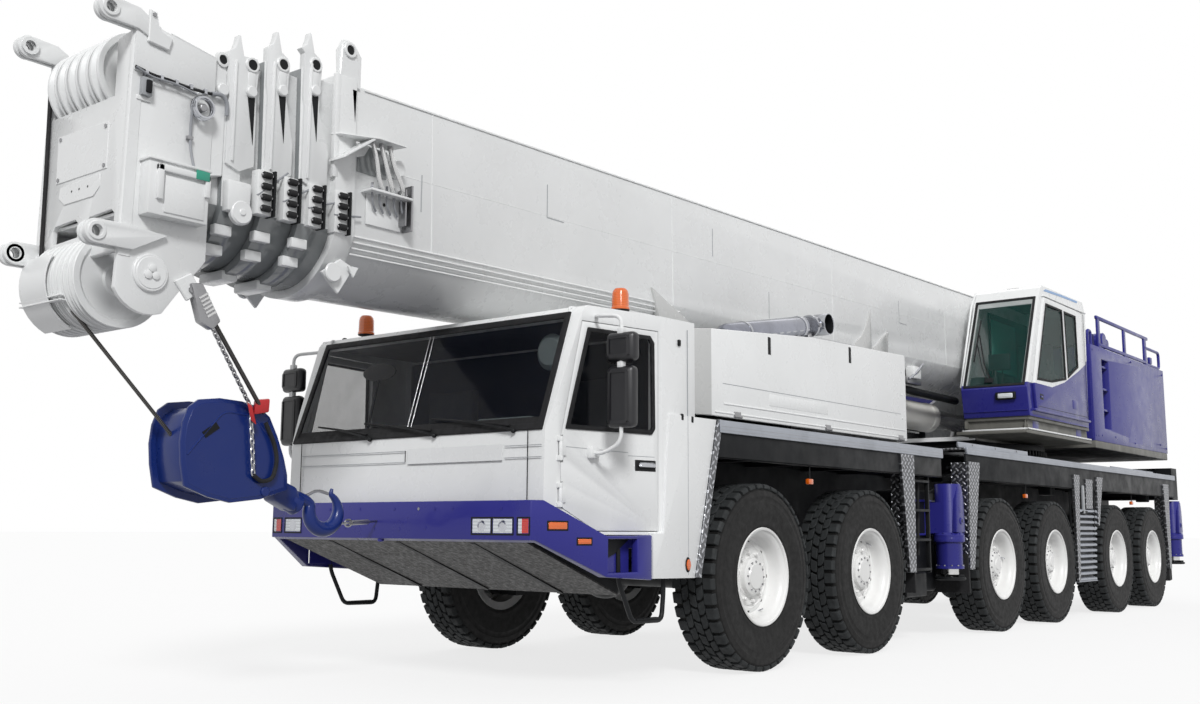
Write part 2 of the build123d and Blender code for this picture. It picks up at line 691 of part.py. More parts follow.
steps = []
step_radius = 16.0
for _, side in sides:
    with BuildPart() as tube_step:
        tube(
            [
                (bumper_rear_x + 40, side * 1420, 905), (bumper_rear_x + 40, side * 1420, 820),
                (bumper_rear_x + 80, side * 1420, 460), (bumper_rear_x + 300, side * 1420, 460),
                (bumper_rear_x + 230, side * 1420, 820), (bumper_rear_x + 230, side * 1420, 905),
            ],
            step_radius, 40,
        )
    steps.append(tube_step.part)
    with BuildPart() as ladder:
        ladder_x = (ahead(-3150), ahead(-2700))
        y_low, y_high = sorted((side * 1380, side * 1440))
        for x in ladder_x:
            block((x - 15, x + 15), (y_low, y_high), (620, deck_top_z - deck_plate))
        for rung in range(4):
            block(ladder_x, (y_low, y_high), (640 + 290 * rung, 665 + 290 * rung))
    steps.append(ladder.part)
write(Compound(children=steps), "access_steps")

mirror_parts = []
for _, side in sides:
    with BuildPart() as mirror_arm:
        tube(
            [
                (ahead(1850), side * 1300, 2425), (ahead(2125), side * 1610, 2425),
                (ahead(2125), side * 1610, 1540), (ahead(2110), side * 1220, 1540),
            ],
            12, 40,
        )
        for z_range in ((1640, 1960), (2010, 2230)):
            y_low, y_high = sorted((side * 1520, side * 1700))
            block((ahead(2090), ahead(2160)), (y_low, y_high), z_range)
        add(cab_volume(0), mode=Mode.SUBTRACT)
    mirror_parts.append(mirror_arm.part)
write(Compound(children=mirror_parts), "mirrors")

# ================================================================ boom
fin_thick = 24.0
pivot_x = ahead(-pivot_x_back)
boom_dir = Vector(cos(radians(boom_rest_angle)), 0, sin(radians(boom_rest_angle)))
boom_up = Vector(-sin(radians(boom_rest_angle)), 0, cos(radians(boom_rest_angle)))
pivot = Vector(pivot_x, 0, pivot_z)
foot_pin_radius = 110.0
base_front = 13150.0  # along the boom from the foot pin to the base section's collar
base_rear = 500.0


def boom_side_plane(y):
    """Plane across the machine at y: local x runs along the boom from the foot pin, local y up."""
    return Plane(origin=(pivot_x, y, pivot_z), x_dir=boom_dir, z_dir=(0, -1, 0))


def boom_section_plane(along):
    """Plane square to the boom: local x is the machine's left, local y up."""
    return Plane(origin=pivot + boom_dir * along, x_dir=(0, 1, 0), z_dir=boom_dir)


def boom_outline(shrink):
    """Sketch of the boom section: flat top and sides over a round bottom, moved in by shrink."""
    half = boom_width / 2 - shrink
    top = boom_height / 2 - shrink
    bottom = -boom_height / 2 + shrink
    shoulder = bottom + half * 0.72
    with BuildLine() as outline:
        Polyline((-half, shoulder), (-half, top), (half, top), (half, shoulder))
        ThreePointArc((half, shoulder), (0, bottom), (-half, shoulder))
    make_face(outline.edges())


def boom_tube(rear, front, shrink, thick):
    """A length of hollow boom section in the current part."""
    with BuildSketch(boom_section_plane(rear)) as outside:
        boom_outline(shrink)
    extrude(outside.sketch, amount=front - rear)
    with BuildSketch(boom_section_plane(rear - 5)) as inside:
        boom_outline(shrink + thick)
    extrude(inside.sketch, amount=front - rear + 10, mode=Mode.SUBTRACT)


def collar_fins(points, half):
    """A pair of upright plates on a collar, one over each side wall of the boom."""
    for _, side in sides:
        y_low, y_high = sorted((side * (half - fin_thick), side * half))
        side_plate([(ahead(x), z) for x, z in points], y_low, y_high)


base_ear = [(3090, 3740), (3090, 3960), (3150, 4035), (3235, 4040), (3275, 3960), (3262, 3740)]
ear_bore = (3195.0, 3975.0, 28.0)  # ahead of the first axle, z, radius
collar_length = 150.0
collar_rise = 26.0  # collar ring proud of its own section
cylinder_pin_x = ahead(-2800)  # luffing cylinder's upper pin, on the boom
cylinder_pin_z = 2400.0
rod_pin_x = ahead(-7800)  # luffing cylinder's lower pin, on the turntable
rod_pin_z = 2400.0
barrel_radius = 180.0
barrel_end_x = ahead(-6400)
rod_radius = 120.0
eye_radius = 150.0
eye_width = 240.0
lug_plate = 50.0
lug_pin_radius = 70.0

with BuildPart() as boom_base:
    with BuildSketch(boom_section_plane(base_rear)):
        boom_outline(0)
    extrude(amount=base_front - base_rear)
    with BuildSketch(boom_section_plane(base_front - 20)):
        boom_outline(-collar_rise)
    extrude(amount=collar_length)
    # lugs of the luffing cylinder, under the boom
    for _, side in sides:
        y_low, y_high = sorted((side * (eye_width / 2 + move_gap), side * (eye_width / 2 + move_gap + lug_plate)))
        side_plate(
            [
                (cylinder_pin_x - 190, cylinder_pin_z + 260), (cylinder_pin_x - 150, cylinder_pin_z - 150),
                (cylinder_pin_x + 150, cylinder_pin_z - 150), (cylinder_pin_x + 450, cylinder_pin_z + 260),
            ],
            y_low, y_high,
        )
    with BuildSketch(boom_section_plane(base_rear - 5)):
        boom_outline(boom_wall)
    extrude(amount=base_front - base_rear, mode=Mode.SUBTRACT)
    with BuildSketch(boom_section_plane(base_front - 25)):
        boom_outline(section_step / 2 - seat_gap)
    extrude(amount=collar_length + 10, mode=Mode.SUBTRACT)
    drum(lug_pin_radius, (-eye_width / 2 - 20, eye_width / 2 + 20), cylinder_pin_x, cylinder_pin_z)
    collar_fins(base_ear, boom_width / 2)
    drum(ear_bore[2], (-boom_width / 2 - 5, boom_width / 2 + 5), ahead(ear_bore[0]), ear_bore[1], mode=Mode.SUBTRACT)
    # foot: two cheeks that narrow to the foot pin
    for _, side in sides:
        y_high = boom_width / 2 if side > 0 else -boom_width / 2 + 60
        with BuildSketch(boom_side_plane(y_high)):
            with BuildLine():
                Polyline((base_rear, boom_height / 2), (base_rear, -boom_height / 2 + 330),
                         (0, -260), (0, 260), close=True)
            make_face()
            Circle(260)
        extrude(amount=60)
    with BuildSketch(boom_side_plane(boom_width / 2)):
        Circle(foot_pin_radius + pin_gap)
    extrude(amount=boom_width, mode=Mode.SUBTRACT)
write(boom_base.part, "boom_base")

head_rear_x = ahead(4110)
tip_z = {1: 3975.0, 2: 3904.0, 3: 3835.0}  # top of each section collar's fins
for index in range(1, section_count + 1):
    shrink = index * section_step / 2
    rear = base_rear + 700 + 120 * index
    front = base_front + collar_length + collar_step * index - 20
    with BuildPart() as section:
        boom_tube(rear, front, shrink, boom_wall)
        if index < section_count:
            with BuildSketch(boom_section_plane(front - 110)):
                boom_outline(shrink - collar_rise)
            extrude(amount=120)
            with BuildSketch(boom_section_plane(front - 115)):
                boom_outline(shrink + section_step / 2 - seat_gap)
            extrude(amount=130, mode=Mode.SUBTRACT)
            tip_x = 3263.0 + collar_step * index
            root_z = 3745.0 - 28 * index
            collar_fins([(tip_x - 75, root_z), (tip_x - 48, tip_z[index]), (tip_x, tip_z[index]), (tip_x, root_z)],
                        boom_width / 2 - shrink)
        else:
            block((head_rear_x, head_rear_x + 500), (-half_width, half_width), (2000, 4200), mode=Mode.SUBTRACT)
    write(section.part, f"boom_section_{index}")

head_half = 440.0
jib_pin_radius = 30.0  # bores in the head's four front lugs
sheave_centre = (4441.0, 2354.0)  # lower sheaves: ahead of the first axle, z
sheave_radius = 265.0
upper_sheave_centre = (4430.0, 3500.0)
upper_sheave_radius = 245.0
groove_depth = 34.0
sheave_pitch = 60.0
head_plate = 30.0
head_outline = [  # (ahead of the first axle, z)
    (4110.0, 3640.0), (4610.0, 3735.0), (4630.0, 2400.0), (4590.0, 2190.0), (4370.0, 2125.0), (4135.0, 2255.0),
    (4110.0, 2510.0),
]
head_points = [(ahead(x), z) for x, z in head_outline]


def sheave_pack(centre, radius, y_range, count):
    """A row of grooved rope sheaves on one pin, in the current part."""
    pitch = (y_range[1] - y_range[0]) / count
    x, z = ahead(centre[0]), centre[1]
    outline = [(y_range[0], 0.0)]
    for index in range(count):
        y = y_range[0] + index * pitch
        outline += [
            (y, radius - groove_depth), (y + 0.14 * pitch, radius), (y + 0.24 * pitch, radius),
            (y + 0.42 * pitch, radius - groove_depth), (y + 0.58 * pitch, radius - groove_depth),
            (y + 0.76 * pitch, radius), (y + 0.86 * pitch, radius),
        ]
    outline += [(y_range[1], radius - groove_depth), (y_range[1], 0.0)]
    with BuildSketch(Plane(origin=(x, 0, z), x_dir=(0, 1, 0), z_dir=(1, 0, 0))) as section:
        with BuildLine():
            Polyline(*outline, close=True)
        make_face()
    revolve(section.sketch, axis=Axis((x, 0, z), (0, 1, 0)))


with BuildPart() as boom_head:
    for _, side in sides:
        y_low, y_high = sorted((side * (head_half - head_plate), side * head_half))
        side_plate(head_points, y_low, y_high)
    block((head_rear_x, head_rear_x + 30), (-head_half + head_plate, head_half - head_plate), (2520, 3630))
    # front plate between the side plates, with two windows over the lower sheaves
    block((ahead(4580), ahead(4605)), (-head_half + head_plate, head_half - head_plate), (2550, 3290))
    for window_y in ((-270, 0), (90, 340)):
        block((ahead(4570), ahead(4615)), window_y, (2585, 2665), mode=Mode.SUBTRACT)
    sheave_pack(upper_sheave_centre, upper_sheave_radius, (-360, 260), 9)
    sheave_pack(sheave_centre, sheave_radius, (-390, -390 + 9 * sheave_pitch), 9)
    drum(60, (-head_half, head_half), ahead(upper_sheave_centre[0]), upper_sheave_centre[1])
    drum(60, (-head_half - 25, head_half + 25), ahead(sheave_centre[0]), sheave_centre[1])
    for z in (3720.0, 2520.0):
        for _, side in sides:
            y_low, y_high = sorted((side * (head_half - 100), side * (head_half - 30)))
            side_plate(
                [(ahead(4560), z + 60), (ahead(4790), z + 60), (ahead(boom_tip_reach), z), (ahead(4790), z - 60),
                 (ahead(4560), z - 60)], y_low, y_high,
            )
            drum(jib_pin_radius, (y_low - 1, y_high + 1), ahead(4765), z, mode=Mode.SUBTRACT)
write(boom_head.part, "boom_head")

rope_radius = 12.0
# distance from a sheave's pin to a rope lying in its groove
groove_side = hypot(0.18 * sheave_pitch, groove_depth)
rope_seat = sheave_radius - groove_depth + (
    groove_side * (rope_radius + seat_gap) - 0.08 * sheave_pitch * groove_depth
) / (0.18 * sheave_pitch)
# taut rope falls from the lower sheaves to the hook block: (ahead of the first axle, z) of the foot,
# and the side of the sheave that the rope meets, 1 behind and -1 in front
hook_falls = (((3840.0, 1400.0), -1), ((3600.0, 1650.0), 1))
hook_plate_points = [
    (3954.0, 1743.0), (4030.0, 1500.0), (3992.0, 1242.0), (3690.0, 1163.0), (3276.0, 1250.0), (3322.0, 1428.0),
    (3428.0, 1662.0), (3477.0, 1737.0),
]
with BuildPart() as hook_block:
    side_plate([(ahead(x), z) for x, z in hook_plate_points], -170, 170)
    side_plate([(ahead(x), z) for x, z in ((3320, 1340), (3300, 1190), (3050, 1070), (3000, 1160))], -70, 70)
    with BuildSketch(Plane.XZ.offset(-45)):
        with Locations((ahead(2880), 1130)):
            Circle(150)
            Circle(85, mode=Mode.SUBTRACT)
        with Locations((ahead(2800), 1240)):
            Rectangle(120, 160, mode=Mode.SUBTRACT)
    extrude(amount=90)
    for (x, z), side in hook_falls:
        span = hypot(sheave_centre[0] - x, sheave_centre[1] - z)
        reach = rope_seat
        lean = atan2(sheave_centre[1] - z, sheave_centre[0] - x) + side * asin(reach / span)
        with BuildSketch(Plane(origin=(ahead(x), 0, z), z_dir=(cos(lean), 0, sin(lean)))):
            Circle(rope_radius)
        extrude(amount=sqrt(span**2 - reach**2))
write(hook_block.part, "hook_block")

# ================================================================ luffing cylinder
barrel_length = cylinder_pin_x - barrel_end_x
with BuildPart() as luff_barrel:
    with BuildSketch(Plane(origin=(barrel_end_x, 0, rod_pin_z), x_dir=(0, 1, 0), z_dir=(1, 0, 0))):
        Circle(barrel_radius)
    extrude(amount=barrel_length - eye_radius - 110)
    with BuildSketch(Plane(origin=(barrel_end_x - 1, 0, rod_pin_z), x_dir=(0, 1, 0), z_dir=(1, 0, 0))):
        Circle(rod_radius + seat_gap)
    extrude(amount=barrel_length - eye_radius - 210, mode=Mode.SUBTRACT)
    block((cylinder_pin_x - eye_radius - 130, cylinder_pin_x), (-eye_width / 2, eye_width / 2),
          (cylinder_pin_z - 100, cylinder_pin_z + 100))
    drum(eye_radius, (-eye_width / 2, eye_width / 2), cylinder_pin_x, cylinder_pin_z)
    drum(lug_pin_radius + pin_gap, (-eye_width / 2, eye_width / 2), cylinder_pin_x, cylinder_pin_z,
         mode=Mode.SUBTRACT)
write(luff_barrel.part, "luff_barrel")

rod_front_x = cylinder_pin_x - eye_radius - 290
with BuildPart() as luff_rod:
    with BuildSketch(Plane(origin=(rod_pin_x + 100, 0, rod_pin_z), x_dir=(0, 1, 0), z_dir=(1, 0, 0))):
        Circle(rod_radius)
    extrude(amount=rod_front_x - rod_pin_x - 100)
    drum(eye_radius, (-eye_width / 2, eye_width / 2), rod_pin_x, rod_pin_z)
write(luff_rod.part, "luff_rod")

# ================================================================ turntable
with BuildPart() as turntable:
    post(slew_ring_radius, (slew_face_z + seat_gap, turntable_floor_z - 60), slew_x, 0)
    block((ahead(-11300), ahead(-6300)), (-640, 640), (turntable_floor_z - 60, turntable_floor_z))
    block((ahead(-8250), ahead(-5900)), (560, superstructure_half - 10), (turntable_floor_z - 20, turntable_floor_z + 20))
    block((ahead(-11850), ahead(-8400)), (-superstructure_half + 10, superstructure_half - 10),
          (turntable_floor_z - 60, turntable_floor_z + 40))
    for _, side in sides:
        y_low, y_high = sorted((side * turntable_cheek_y, side * (turntable_cheek_y + turntable_cheek)))
        side_plate(
            [
                (ahead(-6500), turntable_floor_z - 60), (ahead(-6500), 2350), (ahead(-7500), 2620),
                (ahead(-9300), 3350), (pivot_x + 200, pivot_z + 280), (pivot_x - 200, pivot_z + 280),
                (pivot_x - 600, 2900), (ahead(-11200), turntable_floor_z - 60),
            ],
            y_low, y_high,
        )
        y_low, y_high = sorted((side * (eye_width / 2 + move_gap), side * (eye_width / 2 + move_gap + lug_plate)))
        side_plate(
            [
                (rod_pin_x - 420, turntable_floor_z - 1), (rod_pin_x - 130, rod_pin_z + 130),
                (rod_pin_x + 130, rod_pin_z + 130), (rod_pin_x + 420, turntable_floor_z - 1),
            ],
            y_low, y_high,
        )
    drum(foot_pin_radius, (-turntable_cheek_y - 10, turntable_cheek_y + 10), pivot_x, pivot_z)
write(turntable.part, "turntable")

# ================================================================ housings, winch and rails
housing_y = (640.0, superstructure_half - 2 * move_gap)
housing_z = (turntable_floor_z + 40, 3450.0)
housing_x = (ahead(-11900), ahead(-8400))
rail_posts = (8890.0, 10100.0, 11150.0)  # behind the first axle
rail_heights = (3520.0, 3885.0)
rung_heights = (2620.0, 2900.0, 3200.0)
with BuildPart() as side_housing:
    for _, side in sides:
        y_low, y_high = sorted((side * housing_y[0], side * housing_y[1]))
        block(housing_x, (y_low, y_high), housing_z)
    block((housing_x[0], housing_x[0] + 500), (-housing_y[0], housing_y[0]), (housing_z[0], 3300))
    for _, side in sides:
        # ladder recess with its rungs
        y_low, y_high = sorted((side * (housing_y[1] - 130), side * (housing_y[1] + 1)))
        block((ahead(-9130), ahead(-8840)), (y_low, y_high), (2370, 3290), mode=Mode.SUBTRACT)
        y_low, y_high = sorted((side * (housing_y[1] - 60), side * (housing_y[1] - 25)))
        for rung_z in rung_heights:
            block((ahead(-9131), ahead(-8839)), (y_low, y_high), (rung_z - 14, rung_z + 14))
        y = side * (housing_y[1] - 40)
        for back in rail_posts:
            block((ahead(-back) - 22, ahead(-back) + 22), (y - 22, y + 22), (housing_z[1] - 1, rail_heights[1]))
        for rail_z in rail_heights:
            block((ahead(-rail_posts[-1]) - 220, ahead(-rail_posts[0]) + 22), (y - 18, y + 18), (rail_z - 18, rail_z + 18))
        block((ahead(-rail_posts[-1]) - 220, ahead(-rail_posts[-1]) - 184), (y - 18, y + 18), (housing_z[1] - 1, rail_heights[1]))
write(side_housing.part, "side_housing")

with BuildPart() as winch:
    drum(300, (-420, 420), ahead(-11020), 2700)
    for _, side in sides:
        y_low, y_high = sorted((side * 420, side * 450))
        drum(380, (y_low, y_high), ahead(-11020), 2700)
        block((ahead(-11220), ahead(-10820)), (y_low, y_high), (turntable_floor_z + 40, 2700))
write(winch.part, "winch")

# ================================================================ crane cab
crane_cab_y = (620.0, superstructure_half)
crane_cab_x = (ahead(-8200), ahead(-5950))
crane_cab_z = (2330.0, 3950.0)
crane_cab_profile = [
    (ahead(-6000), crane_cab_z[0]), (ahead(-5940), 2660.0), (ahead(-6432), 3730.0), (ahead(-6530), 3895.0),
    (ahead(-6610), 3935.0), (ahead(-8110), crane_cab_z[1]), (ahead(-8195), 3800.0), (ahead(-8120), crane_cab_z[0]),
]
crane_door_z = (2420.0, 3780.0)
crane_door_points = [(-6150.0, 2420.0), (-6110.0, 2700.0), (-6560.0, 3780.0), (-8000.0, 3780.0), (-8000.0, 2420.0)]
crane_panes = (
    [(-6205.0, 2765.0), (-6600.0, 3700.0), (-7160.0, 3700.0), (-7200.0, 2860.0), (-6700.0, 2780.0)],
    [(-7250.0, 3700.0), (-7680.0, 3700.0), (-7690.0, 3060.0), (-7290.0, 2890.0)],
)
crane_screen_z = (2710.0, 3690.0)
crane_screen_y = (crane_cab_y[0] + 70, crane_cab_y[1] - 70)


def crane_cab_volume(inset):
    """The crane cab's outer space, its faces moved in by inset."""
    with BuildPart() as space:
        side_plate(crane_cab_profile, crane_cab_y[0] + inset, crane_cab_y[1] - inset, inset=inset)
    return space.part


def crane_screen(shrink, depth_range, mode=Mode.ADD):
    """Slab across the sloping front of the crane cab, its edges moved in by shrink."""
    foot, head = crane_cab_profile[1], crane_cab_profile[2]
    slope = (head[0] - foot[0]) / (head[1] - foot[1])
    z_low, z_high = crane_screen_z[0] + shrink, crane_screen_z[1] - shrink
    near, far = depth_range

    def at(z, depth):
        return (foot[0] + slope * (z - foot[1]) - depth, z)

    side_plate([at(z_low, near), at(z_high, near), at(z_high, far), at(z_low, far)],
               crane_screen_y[0] + shrink, crane_screen_y[1] - shrink, mode=mode)


with BuildPart() as crane_cab:
    add(crane_cab_volume(0))
    add(crane_cab_volume(wall + 10), mode=Mode.SUBTRACT)
    crane_screen(0, (-20, 90), mode=Mode.SUBTRACT)
    side_plate([(ahead(x), z) for x, z in crane_door_points], crane_cab_y[1] - 60, crane_cab_y[1] + 5,
               mode=Mode.SUBTRACT, inset=60)
    block((crane_cab_x[0] - 5, crane_cab_x[0] + 190), crane_screen_y, (2900, 3420), mode=Mode.SUBTRACT)
    # rail that the sliding door stands on, and feet on the turntable
    block((crane_cab_x[0] + 120, crane_cab_x[1] - 120), (crane_cab_y[1] - 1, crane_cab_y[1] + 45),
          (crane_door_z[0] - 30, crane_door_z[0] - seat_gap))
    for x in (crane_cab_x[0] + 200, crane_cab_x[1] - 500):
        block((x, x + 200), (crane_cab_y[0] + 60, crane_cab_y[1] - 60), (turntable_floor_z + 20, crane_cab_z[0] + 1))
write(crane_cab.part, "crane_cab")

with BuildPart() as crane_windscreen:
    crane_screen(seat_gap, (8, 18))
write(crane_windscreen.part, "crane_cab_glass")

with BuildPart() as crane_cab_door:
    y_range = (crane_cab_y[1] + seat_gap, crane_cab_y[1] + 35)
    side_plate([(ahead(x), z) for x, z in crane_door_points], *y_range)
    for pane in crane_panes:
        side_plate([(ahead(x), z) for x, z in pane], y_range[0] - 1, y_range[1] + 1, mode=Mode.SUBTRACT)
write(crane_cab_door.part, "crane_cab_door")

crane_seat_x = crane_cab_x[1] - 1250
with BuildPart() as crane_cab_seat:
    floor_z = crane_cab_z[0] + wall + 10
    block((crane_seat_x - 280, crane_seat_x + 250), (780, 1240), (floor_z, 2830))
    block((crane_seat_x - 300, crane_seat_x - 160), (780, 1240), (2830, 3480))
    for y_low in (690, 1250):
        block((crane_seat_x - 150, crane_seat_x + 330), (y_low, y_low + 80), (floor_z, 2960))
write(crane_cab_seat.part, "crane_cab_seat")
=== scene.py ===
"""Looks of a six-axle mobile crane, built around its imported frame.

Every sub-assembly is a class that holds its sizes, builds its meshes and dresses them. Lengths are in
metres. Stations along the machine are measured ahead of the first axle, so a station behind it is negative.
"""

import logging
import math
import random
from contextlib import contextmanager
from dataclasses import dataclass
from enum import Enum
from typing import Callable, Iterator, Sequence

import bpy
from mathutils import Matrix, Vector


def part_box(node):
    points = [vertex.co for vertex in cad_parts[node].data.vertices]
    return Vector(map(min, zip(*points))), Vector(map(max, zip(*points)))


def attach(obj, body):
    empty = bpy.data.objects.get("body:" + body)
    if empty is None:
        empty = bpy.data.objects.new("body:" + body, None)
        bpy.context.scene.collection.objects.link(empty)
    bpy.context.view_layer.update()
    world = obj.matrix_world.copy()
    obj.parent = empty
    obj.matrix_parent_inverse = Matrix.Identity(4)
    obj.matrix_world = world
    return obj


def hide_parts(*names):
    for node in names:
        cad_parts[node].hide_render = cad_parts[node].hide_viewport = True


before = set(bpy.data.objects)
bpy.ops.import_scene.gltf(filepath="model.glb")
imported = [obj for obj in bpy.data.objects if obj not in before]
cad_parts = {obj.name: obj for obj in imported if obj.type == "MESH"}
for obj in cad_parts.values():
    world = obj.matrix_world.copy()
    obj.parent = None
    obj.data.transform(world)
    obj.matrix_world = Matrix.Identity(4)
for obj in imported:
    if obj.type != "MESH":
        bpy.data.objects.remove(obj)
log = logging.getLogger("mobile_crane")
Point = tuple[float, float, float]
Flat = tuple[float, float]
Piece = bpy.types.Object
Socket = bpy.types.NodeSocket

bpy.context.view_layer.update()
FIRST_AXLE = (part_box("wheel_1_left")[0][0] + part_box("wheel_1_left")[1][0]) / 2
TYRE_RADIUS = (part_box("wheel_1_left")[1][2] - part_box("wheel_1_left")[0][2]) / 2
WHEEL_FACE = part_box("wheel_1_left")[1][1]


class Side(Enum):
    """The two sides of the machine, with the sign of Y on each."""

    LEFT = 1
    RIGHT = -1

    @property
    def word(self) -> str:
        """The side's name in node and body names."""
        return self.name.lower()


class Along(Enum):
    """The axis that a plate is thick along, or that a turned piece turns about."""

    X = 0
    Y = 1
    Z = 2

    @property
    def vector(self) -> Vector:
        """Unit vector along the axis."""
        return Vector([1.0 if i == self.value else 0.0 for i in range(3)])

    def place(self, u: float, v: float, depth: float) -> Vector:
        """A point from two flat coordinates and a depth along this axis."""
        if self is Along.X:
            return Vector((depth, u, v))
        if self is Along.Y:
            return Vector((u, depth, v))
        return Vector((u, v, depth))


def at(station: float) -> float:
    """X of a station ahead of the first axle."""
    return FIRST_AXLE + station


def spot(station: float, y: float, z: float) -> Vector:
    """A point from its station, Y and Z."""
    return Vector((at(station), y, z))


def oblong(u0: float, v0: float, u1: float, v1: float) -> list[Flat]:
    """The four corners of an upright rectangle, from two that face each other."""
    return [(u0, v0), (u1, v0), (u1, v1), (u0, v1)]


def traced(*points: Flat) -> list[Flat]:
    """A side outline in X and Z, from stations and heights."""
    return [(at(station), z) for station, z in points]


# ------------------------------------------------------------------ finishes


class Graph:
    """A short way to lay out the nodes of one material."""

    def __init__(self, name: str) -> None:
        """Start a material with one shader."""
        self.material = bpy.data.materials.new(name)
        self.material.use_nodes = True
        self.tree = self.material.node_tree
        self.shader = self.tree.nodes["Principled BSDF"]
        self.place = self.tree.nodes.new("ShaderNodeTexCoord").outputs["Object"]

    def node(self, kind: str, *feeds: object, **settings: object) -> bpy.types.Node:
        """Add a node.

        Args:
            kind: The node's type name without the ShaderNode prefix.
            feeds: Values or sockets for its inputs in order, None to leave one alone.
            settings: The node's own properties.

        Returns:
            The new node.
        """
        node = self.tree.nodes.new("ShaderNode" + kind)
        for key, value in settings.items():
            setattr(node, key, value)
        for socket, value in zip(node.inputs, feeds):
            if isinstance(value, Socket):
                self.tree.links.new(value, socket)
            elif value is not None:
                socket.default_value = value
        return node

    def maths(self, operation: str, *feeds: object) -> Socket:
        """The result of one sum."""
        return self.node("Math", *feeds, operation=operation).outputs[0]

    def stretch(self, scale: Point, turn: Point = (0, 0, 0)) -> Socket:
        """The piece's coordinates, scaled and turned."""
        mapping = self.node("Mapping", self.place)
        mapping.inputs["Scale"].default_value = scale
        mapping.inputs["Rotation"].default_value = turn
        return mapping.outputs[0]

    def noise(self, scale: float, detail: float = 4.0, rough: float = 0.6, stretch: Point = (1, 1, 1)) -> Socket:
        """Soft noise between 0 and 1."""
        node = self.node("TexNoise", self.stretch(stretch) if stretch != (1, 1, 1) else self.place)
        node.inputs["Scale"].default_value = scale
        node.inputs["Detail"].default_value = detail
        node.inputs["Roughness"].default_value = rough
        return node.outputs["Fac"]

    def span(self, value: object, low: float, high: float, to_low: float = 0.0, to_high: float = 1.0) -> Socket:
        """Map a range of values to another, clamped."""
        return self.node("MapRange", value, low, high, to_low, to_high).outputs[0]

    def blend(self, share: object, first: object, second: object) -> Socket:
        """Mix two colours."""
        node = self.tree.nodes.new("ShaderNodeMix")
        node.data_type = "RGBA"
        for index, value in ((0, share), (6, first), (7, second)):
            socket = node.inputs[index]
            if isinstance(value, Socket):
                self.tree.links.new(value, socket)
            else:
                socket.default_value = (*value, 1.0) if isinstance(value, tuple) else value
        return node.outputs[2]

    def set(self, socket: str, value: object) -> None:
        """Set or link one of the shader's sockets."""
        target = self.shader.inputs[socket]
        if isinstance(value, Socket):
            self.tree.links.new(value, target)
        else:
            target.default_value = (*value, 1.0) if isinstance(value, tuple) and len(value) == 3 else value

    def bump(self, height: object, strength: float, distance: float) -> None:
        """Raise the surface by a height between 0 and 1."""
        node = self.node("Bump")
        node.inputs["Strength"].default_value = strength
        node.inputs["Distance"].default_value = distance
        self.tree.links.new(height, node.inputs["Height"])
        self.tree.links.new(node.outputs[0], self.shader.inputs["Normal"])


@dataclass(frozen=True)
class Finish:
    """A named finish, made into a material once."""

    name: str
    colour: Point

    def material(self) -> bpy.types.Material:
        """The finish's material, made at its first use."""
        made = bpy.data.materials.get("finish_" + self.name)
        if made is None:
            graph = Graph("finish_" + self.name)
            self.lay(graph)
            made = graph.material
        return made

    def lay(self, graph: Graph) -> None:
        """Lay out the finish's nodes."""
        raise NotImplementedError

    def shade(self, factor: float) -> Point:
        """The finish's colour, lighter or darker."""
        return tuple(min(1.0, c * factor) for c in self.colour)


@dataclass(frozen=True)
class Paint(Finish):
    """Sprayed paint: faint orange peel, a slow change of tone, and dust in patches and streaks."""

    roughness: float = 0.3
    coat: float = 0.35
    dust: float = 0.12
    dust_colour: Point = (0.42, 0.40, 0.36)
    gloss: float = 0.5

    def lay(self, graph: Graph) -> None:
        """Lay out the finish's nodes."""
        tone = graph.blend(graph.span(graph.noise(0.9, 3), 0.35, 0.7), self.colour, self.shade(0.93))
        streaks = graph.span(graph.noise(2.2, 5, 0.65, (1, 1, 0.22)), 0.52, 0.80)
        specks = graph.span(graph.noise(38, 3, 0.7), 0.60, 0.78)
        soil = graph.maths("MULTIPLY", graph.maths("MAXIMUM", streaks, graph.maths("MULTIPLY", specks, 0.5)), self.dust)
        graph.set("Base Color", graph.blend(soil, tone, self.dust_colour))
        graph.set("Roughness", graph.span(graph.noise(5, 4), 0.3, 0.75, self.roughness * 0.8, self.roughness * 1.35))
        graph.set("Specular IOR Level", self.gloss)
        graph.set("Coat Weight", self.coat)
        graph.set("Coat Roughness", 0.08)
        graph.bump(graph.noise(260, 2), 0.05, 0.0006)


@dataclass(frozen=True)
class Rubber(Finish):
    """Tyre rubber: fine grain with pale dust in the hollows."""

    def lay(self, graph: Graph) -> None:
        """Lay out the finish's nodes."""
        dust = graph.span(graph.noise(7, 6, 0.7), 0.5, 0.78, 0, 0.5)
        graph.set("Base Color", graph.blend(dust, self.colour, self.shade(3.2)))
        graph.set("Specular IOR Level", 0.3)
        graph.set("Roughness", graph.span(graph.noise(22, 4), 0.3, 0.7, 0.62, 0.86))
        graph.bump(graph.noise(320, 3, 0.7), 0.22, 0.0012)


@dataclass(frozen=True)
class Metal(Finish):
    """Bare metal with a brushed or cloudy surface."""

    roughness: float = 0.35
    stains: float = 0.3
    brush: Point = (1, 1, 1)

    def lay(self, graph: Graph) -> None:
        """Lay out the finish's nodes."""
        clouds = graph.span(graph.noise(3.5, 6, 0.65), 0.42, 0.75, 0, self.stains)
        graph.set("Base Color", graph.blend(clouds, self.colour, self.shade(0.55)))
        graph.set("Metallic", 1.0)
        grain = graph.noise(90, 4, 0.7, self.brush)
        graph.set("Roughness", graph.span(grain, 0.3, 0.7, self.roughness * 0.7, self.roughness * 1.4))
        graph.bump(grain, 0.08, 0.0008)


